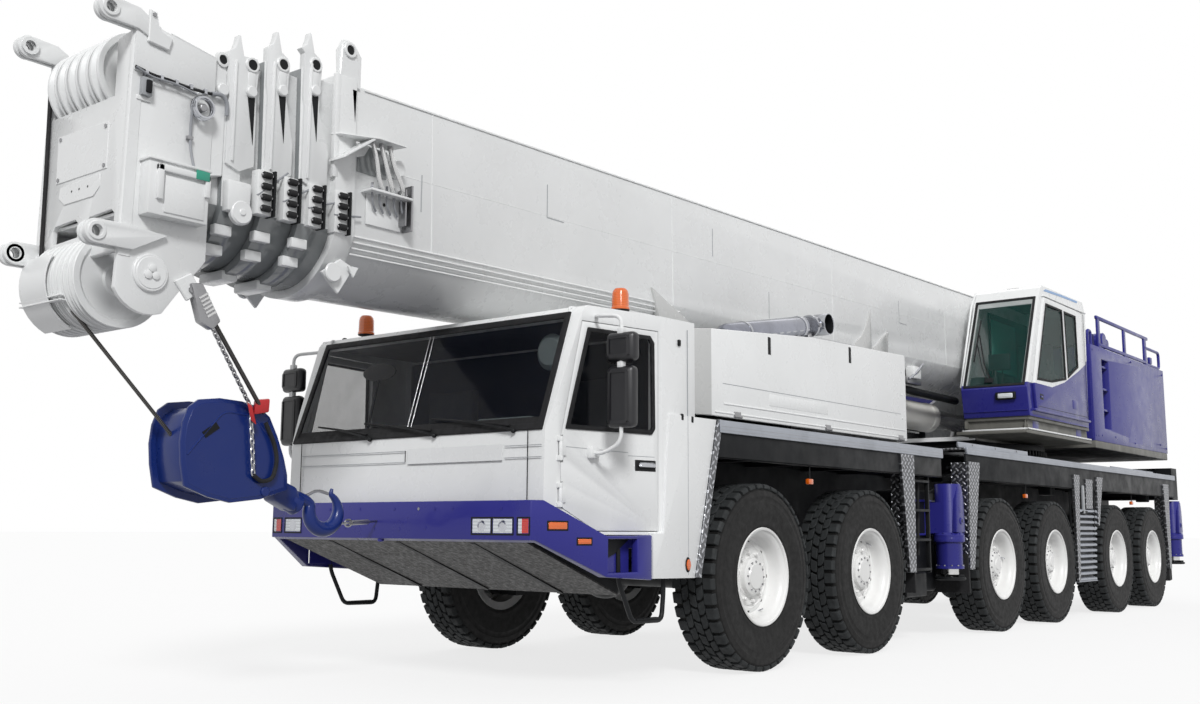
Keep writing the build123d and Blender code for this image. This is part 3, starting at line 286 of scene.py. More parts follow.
@dataclass(frozen=True)
class Chequer(Finish):
    """Tread plate: short raised bars that lie crosswise in turn, the ground between them painted dark as shade."""

    pitch: float = 0.032
    across: Along = Along.Y
    metallic: float = 1.0
    roughness: float = 0.34

    def lay(self, graph: Graph) -> None:
        """Lay out the finish's nodes."""
        turn = {Along.Y: (0, math.radians(45), 0), Along.Z: (0, 0, math.radians(45)), Along.X: (math.radians(45), 0, 0)}
        scale = 1 / self.pitch
        parts = graph.node("SeparateXYZ", graph.stretch((scale, scale, scale), turn[self.across])).outputs
        pair = [parts[i] for i in range(3) if i != self.across.value]
        cells = [graph.maths("FLOOR", value) for value in pair]
        kind = graph.maths("FLOORED_MODULO", graph.maths("ADD", *cells), 2.0)
        offsets = [graph.maths("ABSOLUTE", graph.maths("SUBTRACT", graph.maths("FRACT", value), 0.5)) for value in pair]

        def bar(long: object, short: object) -> Socket:
            """Height of one raised bar."""
            sizes = [
                graph.maths("POWER", graph.maths("DIVIDE", value, size), 2.0)
                for value, size in ((long, 0.47), (short, 0.17))
            ]
            return graph.span(graph.maths("ADD", *sizes), 0.65, 1.1, 1.0, 0.0)

        height = graph.node("Mix", kind, None, bar(offsets[0], offsets[1]), bar(offsets[1], offsets[0])).outputs[0]
        soil = graph.span(graph.noise(6, 5, 0.7), 0.45, 0.75, 0, 0.45)
        # The ground between the bars is coloured far darker than the bars: painted shade between them.
        base = graph.blend(height, self.shade(0.26), self.colour)
        graph.set("Base Color", graph.blend(soil, base, self.shade(0.62)))
        graph.set("Metallic", self.metallic)
        graph.set("Roughness", graph.span(graph.noise(30, 3), 0.3, 0.7, self.roughness * 0.8, self.roughness * 1.5))
        graph.bump(height, 0.7, 0.003)


@dataclass(frozen=True)
class Pane(Finish):
    """Window glass: tinted, glossy, partly clear, with a light film of dust."""

    alpha: float = 0.6
    roughness: float = 0.03

    def lay(self, graph: Graph) -> None:
        """Lay out the finish's nodes."""
        film = graph.span(graph.noise(1.8, 5, 0.6), 0.4, 0.8)
        graph.set("Base Color", graph.blend(film, self.colour, self.shade(1.5)))
        graph.set("Alpha", graph.span(film, 0, 1, self.alpha - 0.04, min(1.0, self.alpha + 0.05)))
        graph.set("Roughness", self.roughness)
        graph.set("Specular IOR Level", 0.22)


@dataclass(frozen=True)
class Lens(Finish):
    """Ribbed lamp lens."""

    ribs: float = 160.0
    alpha: float = 1.0

    def lay(self, graph: Graph) -> None:
        """Lay out the finish's nodes."""
        wave = graph.node("TexWave", graph.place)
        wave.inputs["Scale"].default_value = self.ribs / 6
        wave.inputs["Distortion"].default_value = 0.4
        wave.bands_direction = "Z"
        graph.set("Base Color", graph.blend(wave.outputs["Fac"], self.shade(0.75), self.colour))
        graph.set("Roughness", 0.12)
        graph.set("Coat Weight", 0.8)
        graph.set("Alpha", self.alpha)
        graph.bump(wave.outputs["Fac"], 0.3, 0.002)


@dataclass(frozen=True)
class Plastic(Finish):
    """Moulded plastic with a fine leathery grain."""

    roughness: float = 0.5
    grain: float = 420.0

    def lay(self, graph: Graph) -> None:
        """Lay out the finish's nodes."""
        cells = graph.node("TexVoronoi", graph.place)
        cells.inputs["Scale"].default_value = self.grain
        tone = graph.span(graph.noise(4, 4), 0.35, 0.75, 0, 0.6)
        graph.set("Base Color", graph.blend(tone, self.colour, self.shade(1.35)))
        graph.set("Roughness", graph.span(graph.noise(15, 4), 0.3, 0.7, self.roughness * 0.85, self.roughness * 1.2))
        graph.bump(cells.outputs["Distance"], 0.15, 0.0006)


@dataclass(frozen=True)
class Weave(Finish):
    """Seat cloth: a plain weave with soft sheen."""

    threads: float = 420.0

    def lay(self, graph: Graph) -> None:
        """Lay out the finish's nodes."""
        x, y, z = graph.node("SeparateXYZ", graph.stretch((self.threads,) * 3)).outputs
        warp = graph.maths("SINE", graph.maths("ADD", x, z))
        weft = graph.maths("SINE", graph.maths("ADD", y, z))
        cloth = graph.span(graph.maths("MULTIPLY", warp, weft), -1, 1)
        worn = graph.span(graph.noise(6, 5), 0.4, 0.75, 0, 0.5)
        graph.set("Base Color", graph.blend(worn, graph.blend(cloth, self.shade(0.7), self.colour), self.shade(1.5)))
        graph.set("Roughness", 0.85)
        graph.set("Sheen Weight", 0.3)
        graph.bump(cloth, 0.3, 0.0008)


@dataclass(frozen=True)
class Link(Finish):
    """Wire rope: strands that wind round its line."""

    pitch: float = 0.05

    def lay(self, graph: Graph) -> None:
        """Lay out the finish's nodes."""
        wave = graph.node("TexWave", graph.stretch((1, 1, 1), (0.4, 0.5, 0)))
        wave.inputs["Scale"].default_value = 1 / self.pitch
        graph.set("Base Color", graph.blend(wave.outputs["Fac"], self.shade(0.35), self.colour))
        graph.set("Metallic", 0.7)
        graph.set("Roughness", 0.45)
        graph.bump(wave.outputs["Fac"], 0.6, 0.003)


WHITE = Paint("white_paint", (0.775, 0.785, 0.785), 0.28, 0.2, 0.03)
CREAM = Paint("cylinder_paint", (0.72, 0.71, 0.67), 0.34, 0.2, 0.22)
BLUE = Paint("blue_paint", (0.026, 0.026, 0.215), 0.30, 0.12, 0.012, (0.06, 0.06, 0.26), 0.25)
HOOK = Paint("hook_paint", (0.006, 0.022, 0.150), 0.32, 0.15, 0.05, (0.03, 0.06, 0.20), 0.25)
SOOT = Paint("black_paint", (0.0065, 0.0072, 0.0085), 0.5, 0.0, 0.25, (0.03, 0.03, 0.028), 0.2)
GREY = Paint("grey_paint", (0.33, 0.345, 0.36), 0.35, 0.1, 0.10)
# Painted shade: a dark grey for the undersides and low faces of the boom sections and the inside of the hose hood.
SHADE = Paint("painted_shade_grey", (0.23, 0.245, 0.25), 0.20, 0.6, 0.10)
# Painted shade: a mid grey for the hood's slanted front corners and the boom's low fins, faces turned from the light.
CORNER_SHADE = Paint("corner_shade_paint", (0.50, 0.505, 0.50), 0.28, 0.3, 0.03)
UNDER = Paint("underside_paint", (0.12, 0.118, 0.105), 0.5, 0.0, 0.3)
RED = Paint("red_tag", (0.45, 0.008, 0.012), 0.4, 0.2, 0.2)
RIM = Paint("rim_paint", (0.78, 0.78, 0.77), 0.32, 0.25, 0.2)
GREEN = Paint("green_mark", (0.02, 0.30, 0.20), 0.35, 0.3, 0.1)
TYRE = Rubber("tyre_rubber", (0.0105, 0.0103, 0.0103))
TREAD_RUBBER = Rubber("tread_rubber", (0.019, 0.021, 0.022))
# Painted shade: the groove floors between the tread blocks are coloured far darker than the carcass.
GROOVE_SHADE = Rubber("groove_shade_rubber", (0.0015, 0.0015, 0.0015))
GASKET = Rubber("window_rubber", (0.008, 0.008, 0.009))
STEEL = Metal("rod_steel", (0.62, 0.62, 0.62), 0.25)
ZINC = Metal("zinc_steel", (0.33, 0.33, 0.34), 0.38, 0.45)
CHROME = Metal("chrome", (0.50, 0.51, 0.54), 0.14, 0.75, (1, 0.4, 3))
STAINED = Metal("stained_chrome", (0.30, 0.31, 0.36), 0.16, 1.0, (1, 0.4, 3))
DECK = Metal("deck_aluminium", (0.40, 0.42, 0.46), 0.5, 0.35, (0.06, 1, 1))
TREAD = Chequer("tread_plate", (0.52, 0.53, 0.56), 0.048)
TREAD_END = Chequer("tread_plate_end", (0.46, 0.47, 0.50), 0.048, Along.X)
TREAD_TOP = Chequer("tread_plate_top", (0.52, 0.53, 0.55), 0.030, Along.Z)
SHIELD = Chequer("dark_tread_plate", (0.045, 0.042, 0.040), 0.045, Along.Z, 0.0, 0.5)
DARK_GLASS = Pane("dark_glass", (0.003, 0.004, 0.009), 0.30)
DOOR_GLASS = Pane("door_glass", (0.002, 0.0025, 0.004), 0.30)
GREEN_GLASS = Pane("green_glass", (0.006, 0.045, 0.038), 0.34)
TRIM = Plastic("cab_trim", (0.020, 0.022, 0.026), 0.5)
BLACK = Plastic("mirror_plastic", (0.010, 0.010, 0.012), 0.35)
LINING = Plastic("cab_lining", (0.012, 0.014, 0.022), 0.6)
# Painted light: the dash plastic is coloured lighter than its real plastic, so that it reads lit inside the shaded cab.
LIT_DASH = Plastic("dash_plastic_lightened", (0.24, 0.29, 0.29), 0.5)
CLOTH = Weave("seat_cloth", (0.045, 0.05, 0.06))
ORANGE = Lens("orange_lens", (0.75, 0.13, 0.005))
CRIMSON = Lens("red_lens", (0.65, 0.02, 0.01))
CLEAR = Lens("clear_lens", (0.70, 0.73, 0.76), 90)
ROPE = Link("wire_rope", (0.10, 0.095, 0.09), 0.03)
HOSE = Rubber("hose_rubber", (0.012, 0.012, 0.013))
CABLE = Plastic("grey_cable", (0.26, 0.27, 0.29), 0.4)

# ------------------------------------------------------------------ the bench: modelling by hand, in code


def focus(*pieces: Piece) -> None:
    """Select only these pieces."""
    bpy.ops.object.select_all(action="DESELECT")
    for piece in pieces:
        piece.select_set(True)
    bpy.context.view_layer.objects.active = pieces[0]


def clear_choice() -> None:
    """Deselect everything before a new primitive is added."""
    bpy.ops.object.select_all(action="DESELECT")


def pick_faces(piece: Piece, test: Callable[[Vector, Vector], bool]) -> int:
    """Select the faces whose centre and normal pass a test, and return how many."""
    mesh = piece.data
    for group in (mesh.vertices, mesh.edges, mesh.polygons):
        group.foreach_set("select", [False] * len(group))
    chosen = [face for face in mesh.polygons if test(face.center, face.normal)]
    for face in chosen:
        face.select = True
    return len(chosen)


@contextmanager
def editing(piece: Piece, kind: str = "FACE", everything: bool = True) -> Iterator[None]:
    """Edit mode on one piece.

    Args:
        piece: The piece to edit.
        kind: VERT, EDGE or FACE.
        everything: Select all of it, or keep what was picked in code.
    """
    focus(piece)
    bpy.context.tool_settings.mesh_select_mode = (kind == "VERT", kind == "EDGE", kind == "FACE")
    bpy.ops.object.mode_set(mode="EDIT")
    if everything:
        bpy.ops.mesh.select_all(action="SELECT")
    yield
    bpy.ops.object.mode_set(mode="OBJECT")


def settle(piece: Piece) -> Piece:
    """Put the piece's place into its mesh."""
    focus(piece)
    bpy.ops.object.transform_apply(location=True, rotation=True, scale=True)
    return piece


def named(name: str, finish: Finish) -> Piece:
    """Name the primitive just added, give it its finish and settle it."""
    piece = bpy.context.object
    piece.name = name
    piece.data.materials.clear()
    piece.data.materials.append(finish.material())
    return settle(piece)


def soften(piece: Piece, width: float, segments: int = 2, angle: float = 32.0) -> Piece:
    """Round the piece's sharp edges with an applied bevel."""
    if width <= 0:
        return piece
    focus(piece)
    bevel = piece.modifiers.new("soften", "BEVEL")
    bevel.width, bevel.segments, bevel.limit_method = width, segments, "ANGLE"
    bevel.angle_limit = math.radians(angle)
    bevel.use_clamp_overlap = True
    bpy.ops.object.modifier_apply(modifier=bevel.name)
    return piece


def block(
    name: str, low: Sequence[float], high: Sequence[float], finish: Finish, bevel: float = 0.004, segments: int = 2,
) -> Piece:
    """A box between two corners with rounded edges."""
    clear_choice()
    low, high = Vector(map(min, low, high)), Vector(map(max, low, high))
    bpy.ops.mesh.primitive_cube_add(size=1, location=(low + high) / 2, scale=high - low)
    piece = named(name, finish)
    limit = min(high - low) * 0.45
    return soften(piece, min(bevel, limit), segments)


def plate(
    name: str, outline: Sequence[Flat], along: Along, low: float, high: float, finish: Finish, bevel: float = 0.003,
    segments: int = 1,
) -> Piece:
    """An outline drawn flat and extruded.

    Args:
        name: The piece's name.
        outline: Flat points: X and Z for a plate along Y, Y and Z along X, X and Y along Z.
        along: The axis the plate is thick along.
        low: Its near face on that axis.
        high: Its far face on that axis.
        finish: Its finish.
        bevel: Rounding of its edges.
        segments: Steps of the rounding.

    Returns:
        The plate.
    """
    clear_choice()
    bpy.ops.mesh.primitive_circle_add(vertices=len(outline), radius=1, fill_type="NGON")
    piece = bpy.context.object
    for vertex, (u, v) in zip(piece.data.vertices, outline):
        vertex.co = along.place(u, v, low)
    piece = named(name, finish)
    with editing(piece):
        bpy.ops.mesh.extrude_region_move(TRANSFORM_OT_translate={"value": along.vector * (high - low)})
        bpy.ops.mesh.select_all(action="SELECT")
        bpy.ops.mesh.normals_make_consistent(inside=False)
    return soften(piece, bevel, segments)


def turned(
    name: str, profile: Sequence[Flat], centre: Sequence[float], along: Along, finish: Finish, steps: int = 32,
    bevel: float = 0.0,
) -> Piece:
    """A profile spun about an axis.

    Args:
        name: The piece's name.
        profile: Points of radius and distance along the axis, from one end to the other.
        centre: Where distance 0 lies on the axis.
        along: The axis.
        finish: Its finish.
        steps: Steps round the axis.
        bevel: Rounding of its edges.

    Returns:
        The turned piece.
    """
    clear_choice()
    bpy.ops.mesh.primitive_circle_add(vertices=len(profile), radius=1, fill_type="NOTHING")
    piece = bpy.context.object
    arm = {Along.X: Along.Z, Along.Y: Along.Z, Along.Z: Along.X}[along].vector
    for vertex, (radius, reach) in zip(piece.data.vertices, profile):
        vertex.co = Vector(centre) + arm * radius + along.vector * reach
    piece = named(name, finish)
    ends = {0, len(profile) - 1}
    for group in (piece.data.vertices, piece.data.edges):
        group.foreach_set("select", [False] * len(group))
    for edge in piece.data.edges:
        edge.select = set(edge.vertices) == ends and len(profile) > 2
    with editing(piece, "EDGE", everything=False):
        bpy.ops.mesh.delete(type="EDGE")
        bpy.ops.mesh.select_all(action="SELECT")
        bpy.ops.mesh.spin(steps=steps, angle=math.tau, center=centre, axis=along.vector)
        bpy.ops.mesh.select_all(action="SELECT")
        bpy.ops.mesh.remove_doubles(threshold=0.00001)
        bpy.ops.mesh.dissolve_degenerate(threshold=0.00001)
        bpy.ops.mesh.select_all(action="SELECT")
        bpy.ops.mesh.normals_make_consistent(inside=False)
    return soften(piece, bevel, 1)


def drum(
    name: str, radius: float, low: float, high: float, centre: Sequence[float], along: Along, finish: Finish,
    bevel: float = 0.004, steps: int = 32,
) -> Piece:
    """A round bar or disc with chamfered ends, from low to high along its axis."""
    bevel = min(bevel, radius * 0.4, (high - low) * 0.4)
    profile = [
        (0, low), (radius - bevel, low), (radius, low + bevel), (radius, high - bevel), (radius - bevel, high),
        (0, high),
    ]
    return turned(name, profile, centre, along, finish, steps)


def thickened(name: str, curve: bpy.types.Curve, radius: float, sides: int, finish: Finish) -> Piece:
    """Thicken a curve into a capped round rod, as a mesh."""
    curve.bevel_depth, curve.bevel_resolution, curve.use_fill_caps = radius, sides, True
    curve.materials.append(finish.material())
    piece = bpy.data.objects.new(name, curve)
    bpy.context.collection.objects.link(piece)
    focus(piece)
    bpy.ops.object.convert(target="MESH")
    return bpy.context.object


def pipe(
    name: str, points: Sequence[Sequence[float]], radius: float, finish: Finish, bend: float = 0.04, sides: int = 3,
    closed: bool = False,
) -> Piece:
    """A round rod through points, its corners rounded.

    Args:
        name: The piece's name.
        points: The corners of its line.
        radius: Its radius.
        finish: Its finish.
        bend: Radius of the corners.
        sides: Smoothness round the rod.
        closed: Join the last point to the first.

    Returns:
        The rod as a mesh.
    """
    path = [Vector(p) for p in points]
    line: list[Vector] = []
    count = len(path)
    for index, here in enumerate(path):
        before, after = path[index - 1], path[(index + 1) % count]
        if not closed and index in (0, count - 1) or bend <= 0:
            line.append(here)
            continue
        back, on = before - here, after - here
        reach = min(bend, back.length * 0.45, on.length * 0.45)
        start, stop = here + back.normalized() * reach, here + on.normalized() * reach
        for step in range(5):
            t = step / 4
            line.append(start * (1 - t) ** 2 + here * 2 * t * (1 - t) + stop * t ** 2)
    clear_choice()
    curve = bpy.data.curves.new(name, "CURVE")
    curve.dimensions = "3D"
    spline = curve.splines.new("POLY")
    spline.points.add(len(line) - 1)
    for point, co in zip(spline.points, line):
        point.co = (*co, 1)
    spline.use_cyclic_u = closed
    return thickened(name, curve, radius, sides, finish)


def copied(piece: Piece, name: str, matrix: Matrix) -> Piece:
    """A copy with its own mesh, moved by a matrix."""
    twin = piece.copy()
    twin.data = piece.data.copy()
    twin.name = name
    bpy.context.collection.objects.link(twin)
    twin.data.transform(matrix)
    if matrix.determinant() < 0:
        twin.data.flip_normals()
    return twin


def flipped(piece: Piece) -> Piece:
    """Move the piece itself to the machine's other side."""
    piece.data.transform(Matrix.Scale(-1, 4, (0, 1, 0)))
    piece.data.flip_normals()
    return piece


def moved(piece: Piece, name: str, step: Sequence[float]) -> Piece:
    """A copy shifted by a step."""
    return copied(piece, name, Matrix.Translation(Vector(step)))


def mirrored(piece: Piece, name: str) -> Piece:
    """A copy on the machine's other side."""
    return copied(piece, name, Matrix.Scale(-1, 4, (0, 1, 0)))


def joined(name: str, pieces: Sequence[Piece]) -> Piece:
    """Join pieces into one, each keeping its finish."""
    focus(*pieces)
    if len(pieces) > 1:
        bpy.ops.object.join()
    whole = bpy.context.object
    whole.name = name
    whole.data.name = name
    return whole


def row(piece: Piece, count: int, step: Sequence[float]) -> Piece:
    """Repeat a piece in a row with an applied array."""
    focus(piece)
    array = piece.modifiers.new("row", "ARRAY")
    array.count, array.use_relative_offset, array.use_constant_offset = count, False, True
    array.constant_offset_displace = step
    bpy.ops.object.modifier_apply(modifier=array.name)
    return piece


def ring(piece: Piece, name: str, count: int, centre: Sequence[float], along: Along) -> Piece:
    """Repeat a piece round an axis, and join the copies."""
    centre = Vector(centre)
    copies = [piece]
    for index in range(1, count):
        turn = Matrix.Rotation(math.tau * index / count, 4, along.vector)
        copies.append(copied(piece, name, Matrix.Translation(centre) @ turn @ Matrix.Translation(-centre)))
    return joined(name, copies)


def cut(piece: Piece, *cutters: Piece) -> Piece:
    """Cut shapes out of a piece."""
    for cutter in cutters:
        focus(piece)
        boolean = piece.modifiers.new("cut", "BOOLEAN")
        boolean.operation, boolean.object, boolean.solver = "DIFFERENCE", cutter, "EXACT"
        bpy.ops.object.modifier_apply(modifier=boolean.name)
        bpy.data.objects.remove(cutter)
    return piece


def opened(piece: Piece, along: Along, border: float) -> Piece:
    """Turn a plate into a frame: inset its two broad faces and bridge them through."""
    pick_faces(piece, lambda centre, normal: abs(normal[along.value]) > 0.99)
    with editing(piece, everything=False):
        bpy.ops.mesh.inset(thickness=border, depth=0)
        bpy.ops.mesh.bridge_edge_loops()
    return piece


def from_frame(node: str, name: str, finish: Finish, width: float, segments: int = 2) -> Piece:
    """A copy of a frame node with its triangles merged and its edges rounded."""
    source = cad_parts[node]
    piece = source.copy()
    piece.data = source.data.copy()
    piece.parent = None
    piece.matrix_world = Matrix.Identity(4)
    piece.name = name
    for key in list(piece.keys()):
        if key.startswith("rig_"):
            del piece[key]
    bpy.context.collection.objects.link(piece)
    piece.data.materials.clear()
    piece.data.materials.append(finish.material())
    for face in piece.data.polygons:
        face.material_index = 0
    with editing(piece):
        bpy.ops.mesh.customdata_custom_splitnormals_clear()
        bpy.ops.mesh.remove_doubles(threshold=0.00005)
        bpy.ops.mesh.dissolve_limited(angle_limit=math.radians(0.5))
    return soften(piece, width, segments)


def recolour(piece: Piece, finish: Finish, test: Callable[[Vector, Vector], bool]) -> None:
    """Give a second finish to the faces that pass a test."""
    piece.data.materials.append(finish.material())
    index = len(piece.data.materials) - 1
    for face in piece.data.polygons:
        if test(face.center, face.normal):
            face.material_index = index


def laid(piece: Piece, origin: Sequence[float], right: Sequence[float], up: Sequence[float]) -> Piece:
    """Move a piece modelled flat (x right, y up, z outwards) on to a sloping face."""
    right, up = Vector(right).normalized(), Vector(up).normalized()
    out = right.cross(up).normalized()
    matrix = Matrix((right, up, out)).transposed().to_4x4()
    matrix.translation = Vector(origin)
    piece.data.transform(matrix)
    return piece


def on_slope(piece: Piece, low: Flat, high: Flat) -> Piece:
    """Lay a flat piece on a front that slopes from one station and height to another, x to the machine's left."""
    (x0, z0), (x1, z1) = low, high
    return laid(piece, spot(x0, 0, z0), (0, 1, 0), (x1 - x0, 0, z1 - z0))


def fit(
    name: str, body: str, pieces: Sequence[Piece], stands_for: Sequence[str] = (), angle: float = 34.0,
) -> Piece:
    """Join a sub-assembly's pieces and fix them to the machine.

    Args:
        name: The finished piece's name.
        body: The frame body that it rides on.
        pieces: Its meshes.
        stands_for: Frame nodes that it replaces.
        angle: Edges flatter than this are shaded smooth, in degrees.

    Returns:
        The finished piece.
    """
    whole = settle(joined(name, pieces))
    bpy.ops.object.shade_smooth_by_angle(angle=math.radians(angle))
    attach(whole, body)
    if stands_for:
        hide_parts(*stands_for)
    log.info("%s rides on %s with %d faces", name, body, len(whole.data.polygons))
    return whole


def bolt(
    name: str, centre: Sequence[float], along: Along, out: float, finish: Finish, radius: float = 0.012,
    height: float = 0.008,
) -> Piece:
    """A six-sided bolt head that stands out from a face."""
    low, high = sorted((0.0, out * height))
    return turned(name, oblong(0, low, radius, high), centre, along, finish, steps=6)


# ------------------------------------------------------------------ studio


@dataclass
class Studio:
    """Camera, plain floor and soft lights."""

    camera_station: float = 7.901
    camera_y: float = 6.274
    camera_z: float = 1.030
    forward: Point = (-0.77193229, -0.61947774, 0.14271604)
    upward: Point = (0.11462749, 0.08518224, 0.98974973)
    lens: float = 36.72

    def build(self) -> None:
        """Make the camera, the floor, the sky and the lights."""
        self.add_camera()
        self.add_floor()
        self.add_sky()
        self.add_lights()

    def add_camera(self) -> None:
        """Stand the camera in front and to the left, near the ground."""
        camera = bpy.data.objects.new("camera", bpy.data.cameras.new("camera"))
        bpy.context.collection.objects.link(camera)
        back, up = -Vector(self.forward).normalized(), Vector(self.upward).normalized()
        right = up.cross(back).normalized()
        camera.matrix_world = Matrix.Translation(spot(self.camera_station, self.camera_y, self.camera_z)) @ Matrix(
            (right, back.cross(right).normalized(), back)
        ).transposed().to_4x4()
        camera.data.lens, camera.data.sensor_width = self.lens, 36.0
        camera.data.clip_end = 500
        bpy.context.scene.camera = camera
        bpy.context.scene.view_settings.view_transform = "Standard"

    def seen(self, tree: bpy.types.NodeTree) -> Socket:
        """1 for what the camera sees directly, in a reflection or through glass."""
        rays = tree.nodes.new("ShaderNodeLightPath").outputs
        total = rays["Is Camera Ray"]
        for name in ("Is Glossy Ray", "Is Transmission Ray"):
            node = tree.nodes.new("ShaderNodeMath")
            node.operation = "MAXIMUM"
            tree.links.new(total, node.inputs[0])
            tree.links.new(rays[name], node.inputs[1])
            total = node.outputs[0]
        return total

    def add_floor(self) -> None:
        """A wide pale floor that keeps the machine's soft shadow."""
        clear_choice()
        bpy.ops.mesh.primitive_plane_add(size=400, location=(0, 0, -0.002))
        floor = bpy.context.object
        floor.name = "floor"
        graph = Graph("floor_white")
        pale = graph.blend(graph.noise(0.4, 3), (0.80, 0.80, 0.80), (0.82, 0.82, 0.82))
        graph.set("Base Color", graph.blend(self.seen(graph.tree), (0.30, 0.30, 0.31), pale))
        graph.set("Roughness", 0.9)
        glow = graph.node("Emission", (1, 1, 1, 1), 1.0)
        share = graph.maths("MULTIPLY", self.seen(graph.tree), 0.78)
        mixed = graph.node("MixShader", share, graph.shader.outputs[0], glow.outputs[0])
        graph.tree.links.new(mixed.outputs[0], graph.tree.nodes["Material Output"].inputs["Surface"])
        floor.data.materials.append(graph.material)

    def add_sky(self) -> None:
        """White all round for the eye, dimmer as a light."""
        world = bpy.data.worlds.new("studio_sky")
        bpy.context.scene.world = world
        world.use_nodes = True
        tree = world.node_tree
        background = tree.nodes["Background"]
        background.inputs["Color"].default_value = (1, 1, 1, 1)
        strength = tree.nodes.new("ShaderNodeMapRange")
        tree.links.new(self.seen(tree), strength.inputs[0])
        strength.inputs[3].default_value, strength.inputs[4].default_value = 0.56, 1.0
        tree.links.new(strength.outputs[0], background.inputs["Strength"])

    def add_lights(self) -> None:
        """A broad key from the front left and a weaker one from behind the right."""
        for name, energy, angle, direction in (
            ("key", 2.3, 14, (-0.62, -0.62, -0.62)), ("rear", 0.3, 40, (0.7, 0.5, -0.6)),
        ):
            light = bpy.data.objects.new(name, bpy.data.lights.new(name, "SUN"))
            light.data.energy, light.data.angle = energy, math.radians(angle)
            light.rotation_mode = "QUATERNION"
            light.rotation_quaternion = Vector(direction).to_track_quat("-Z", "Y")
            bpy.context.collection.objects.link(light)


# ------------------------------------------------------------------ wheels


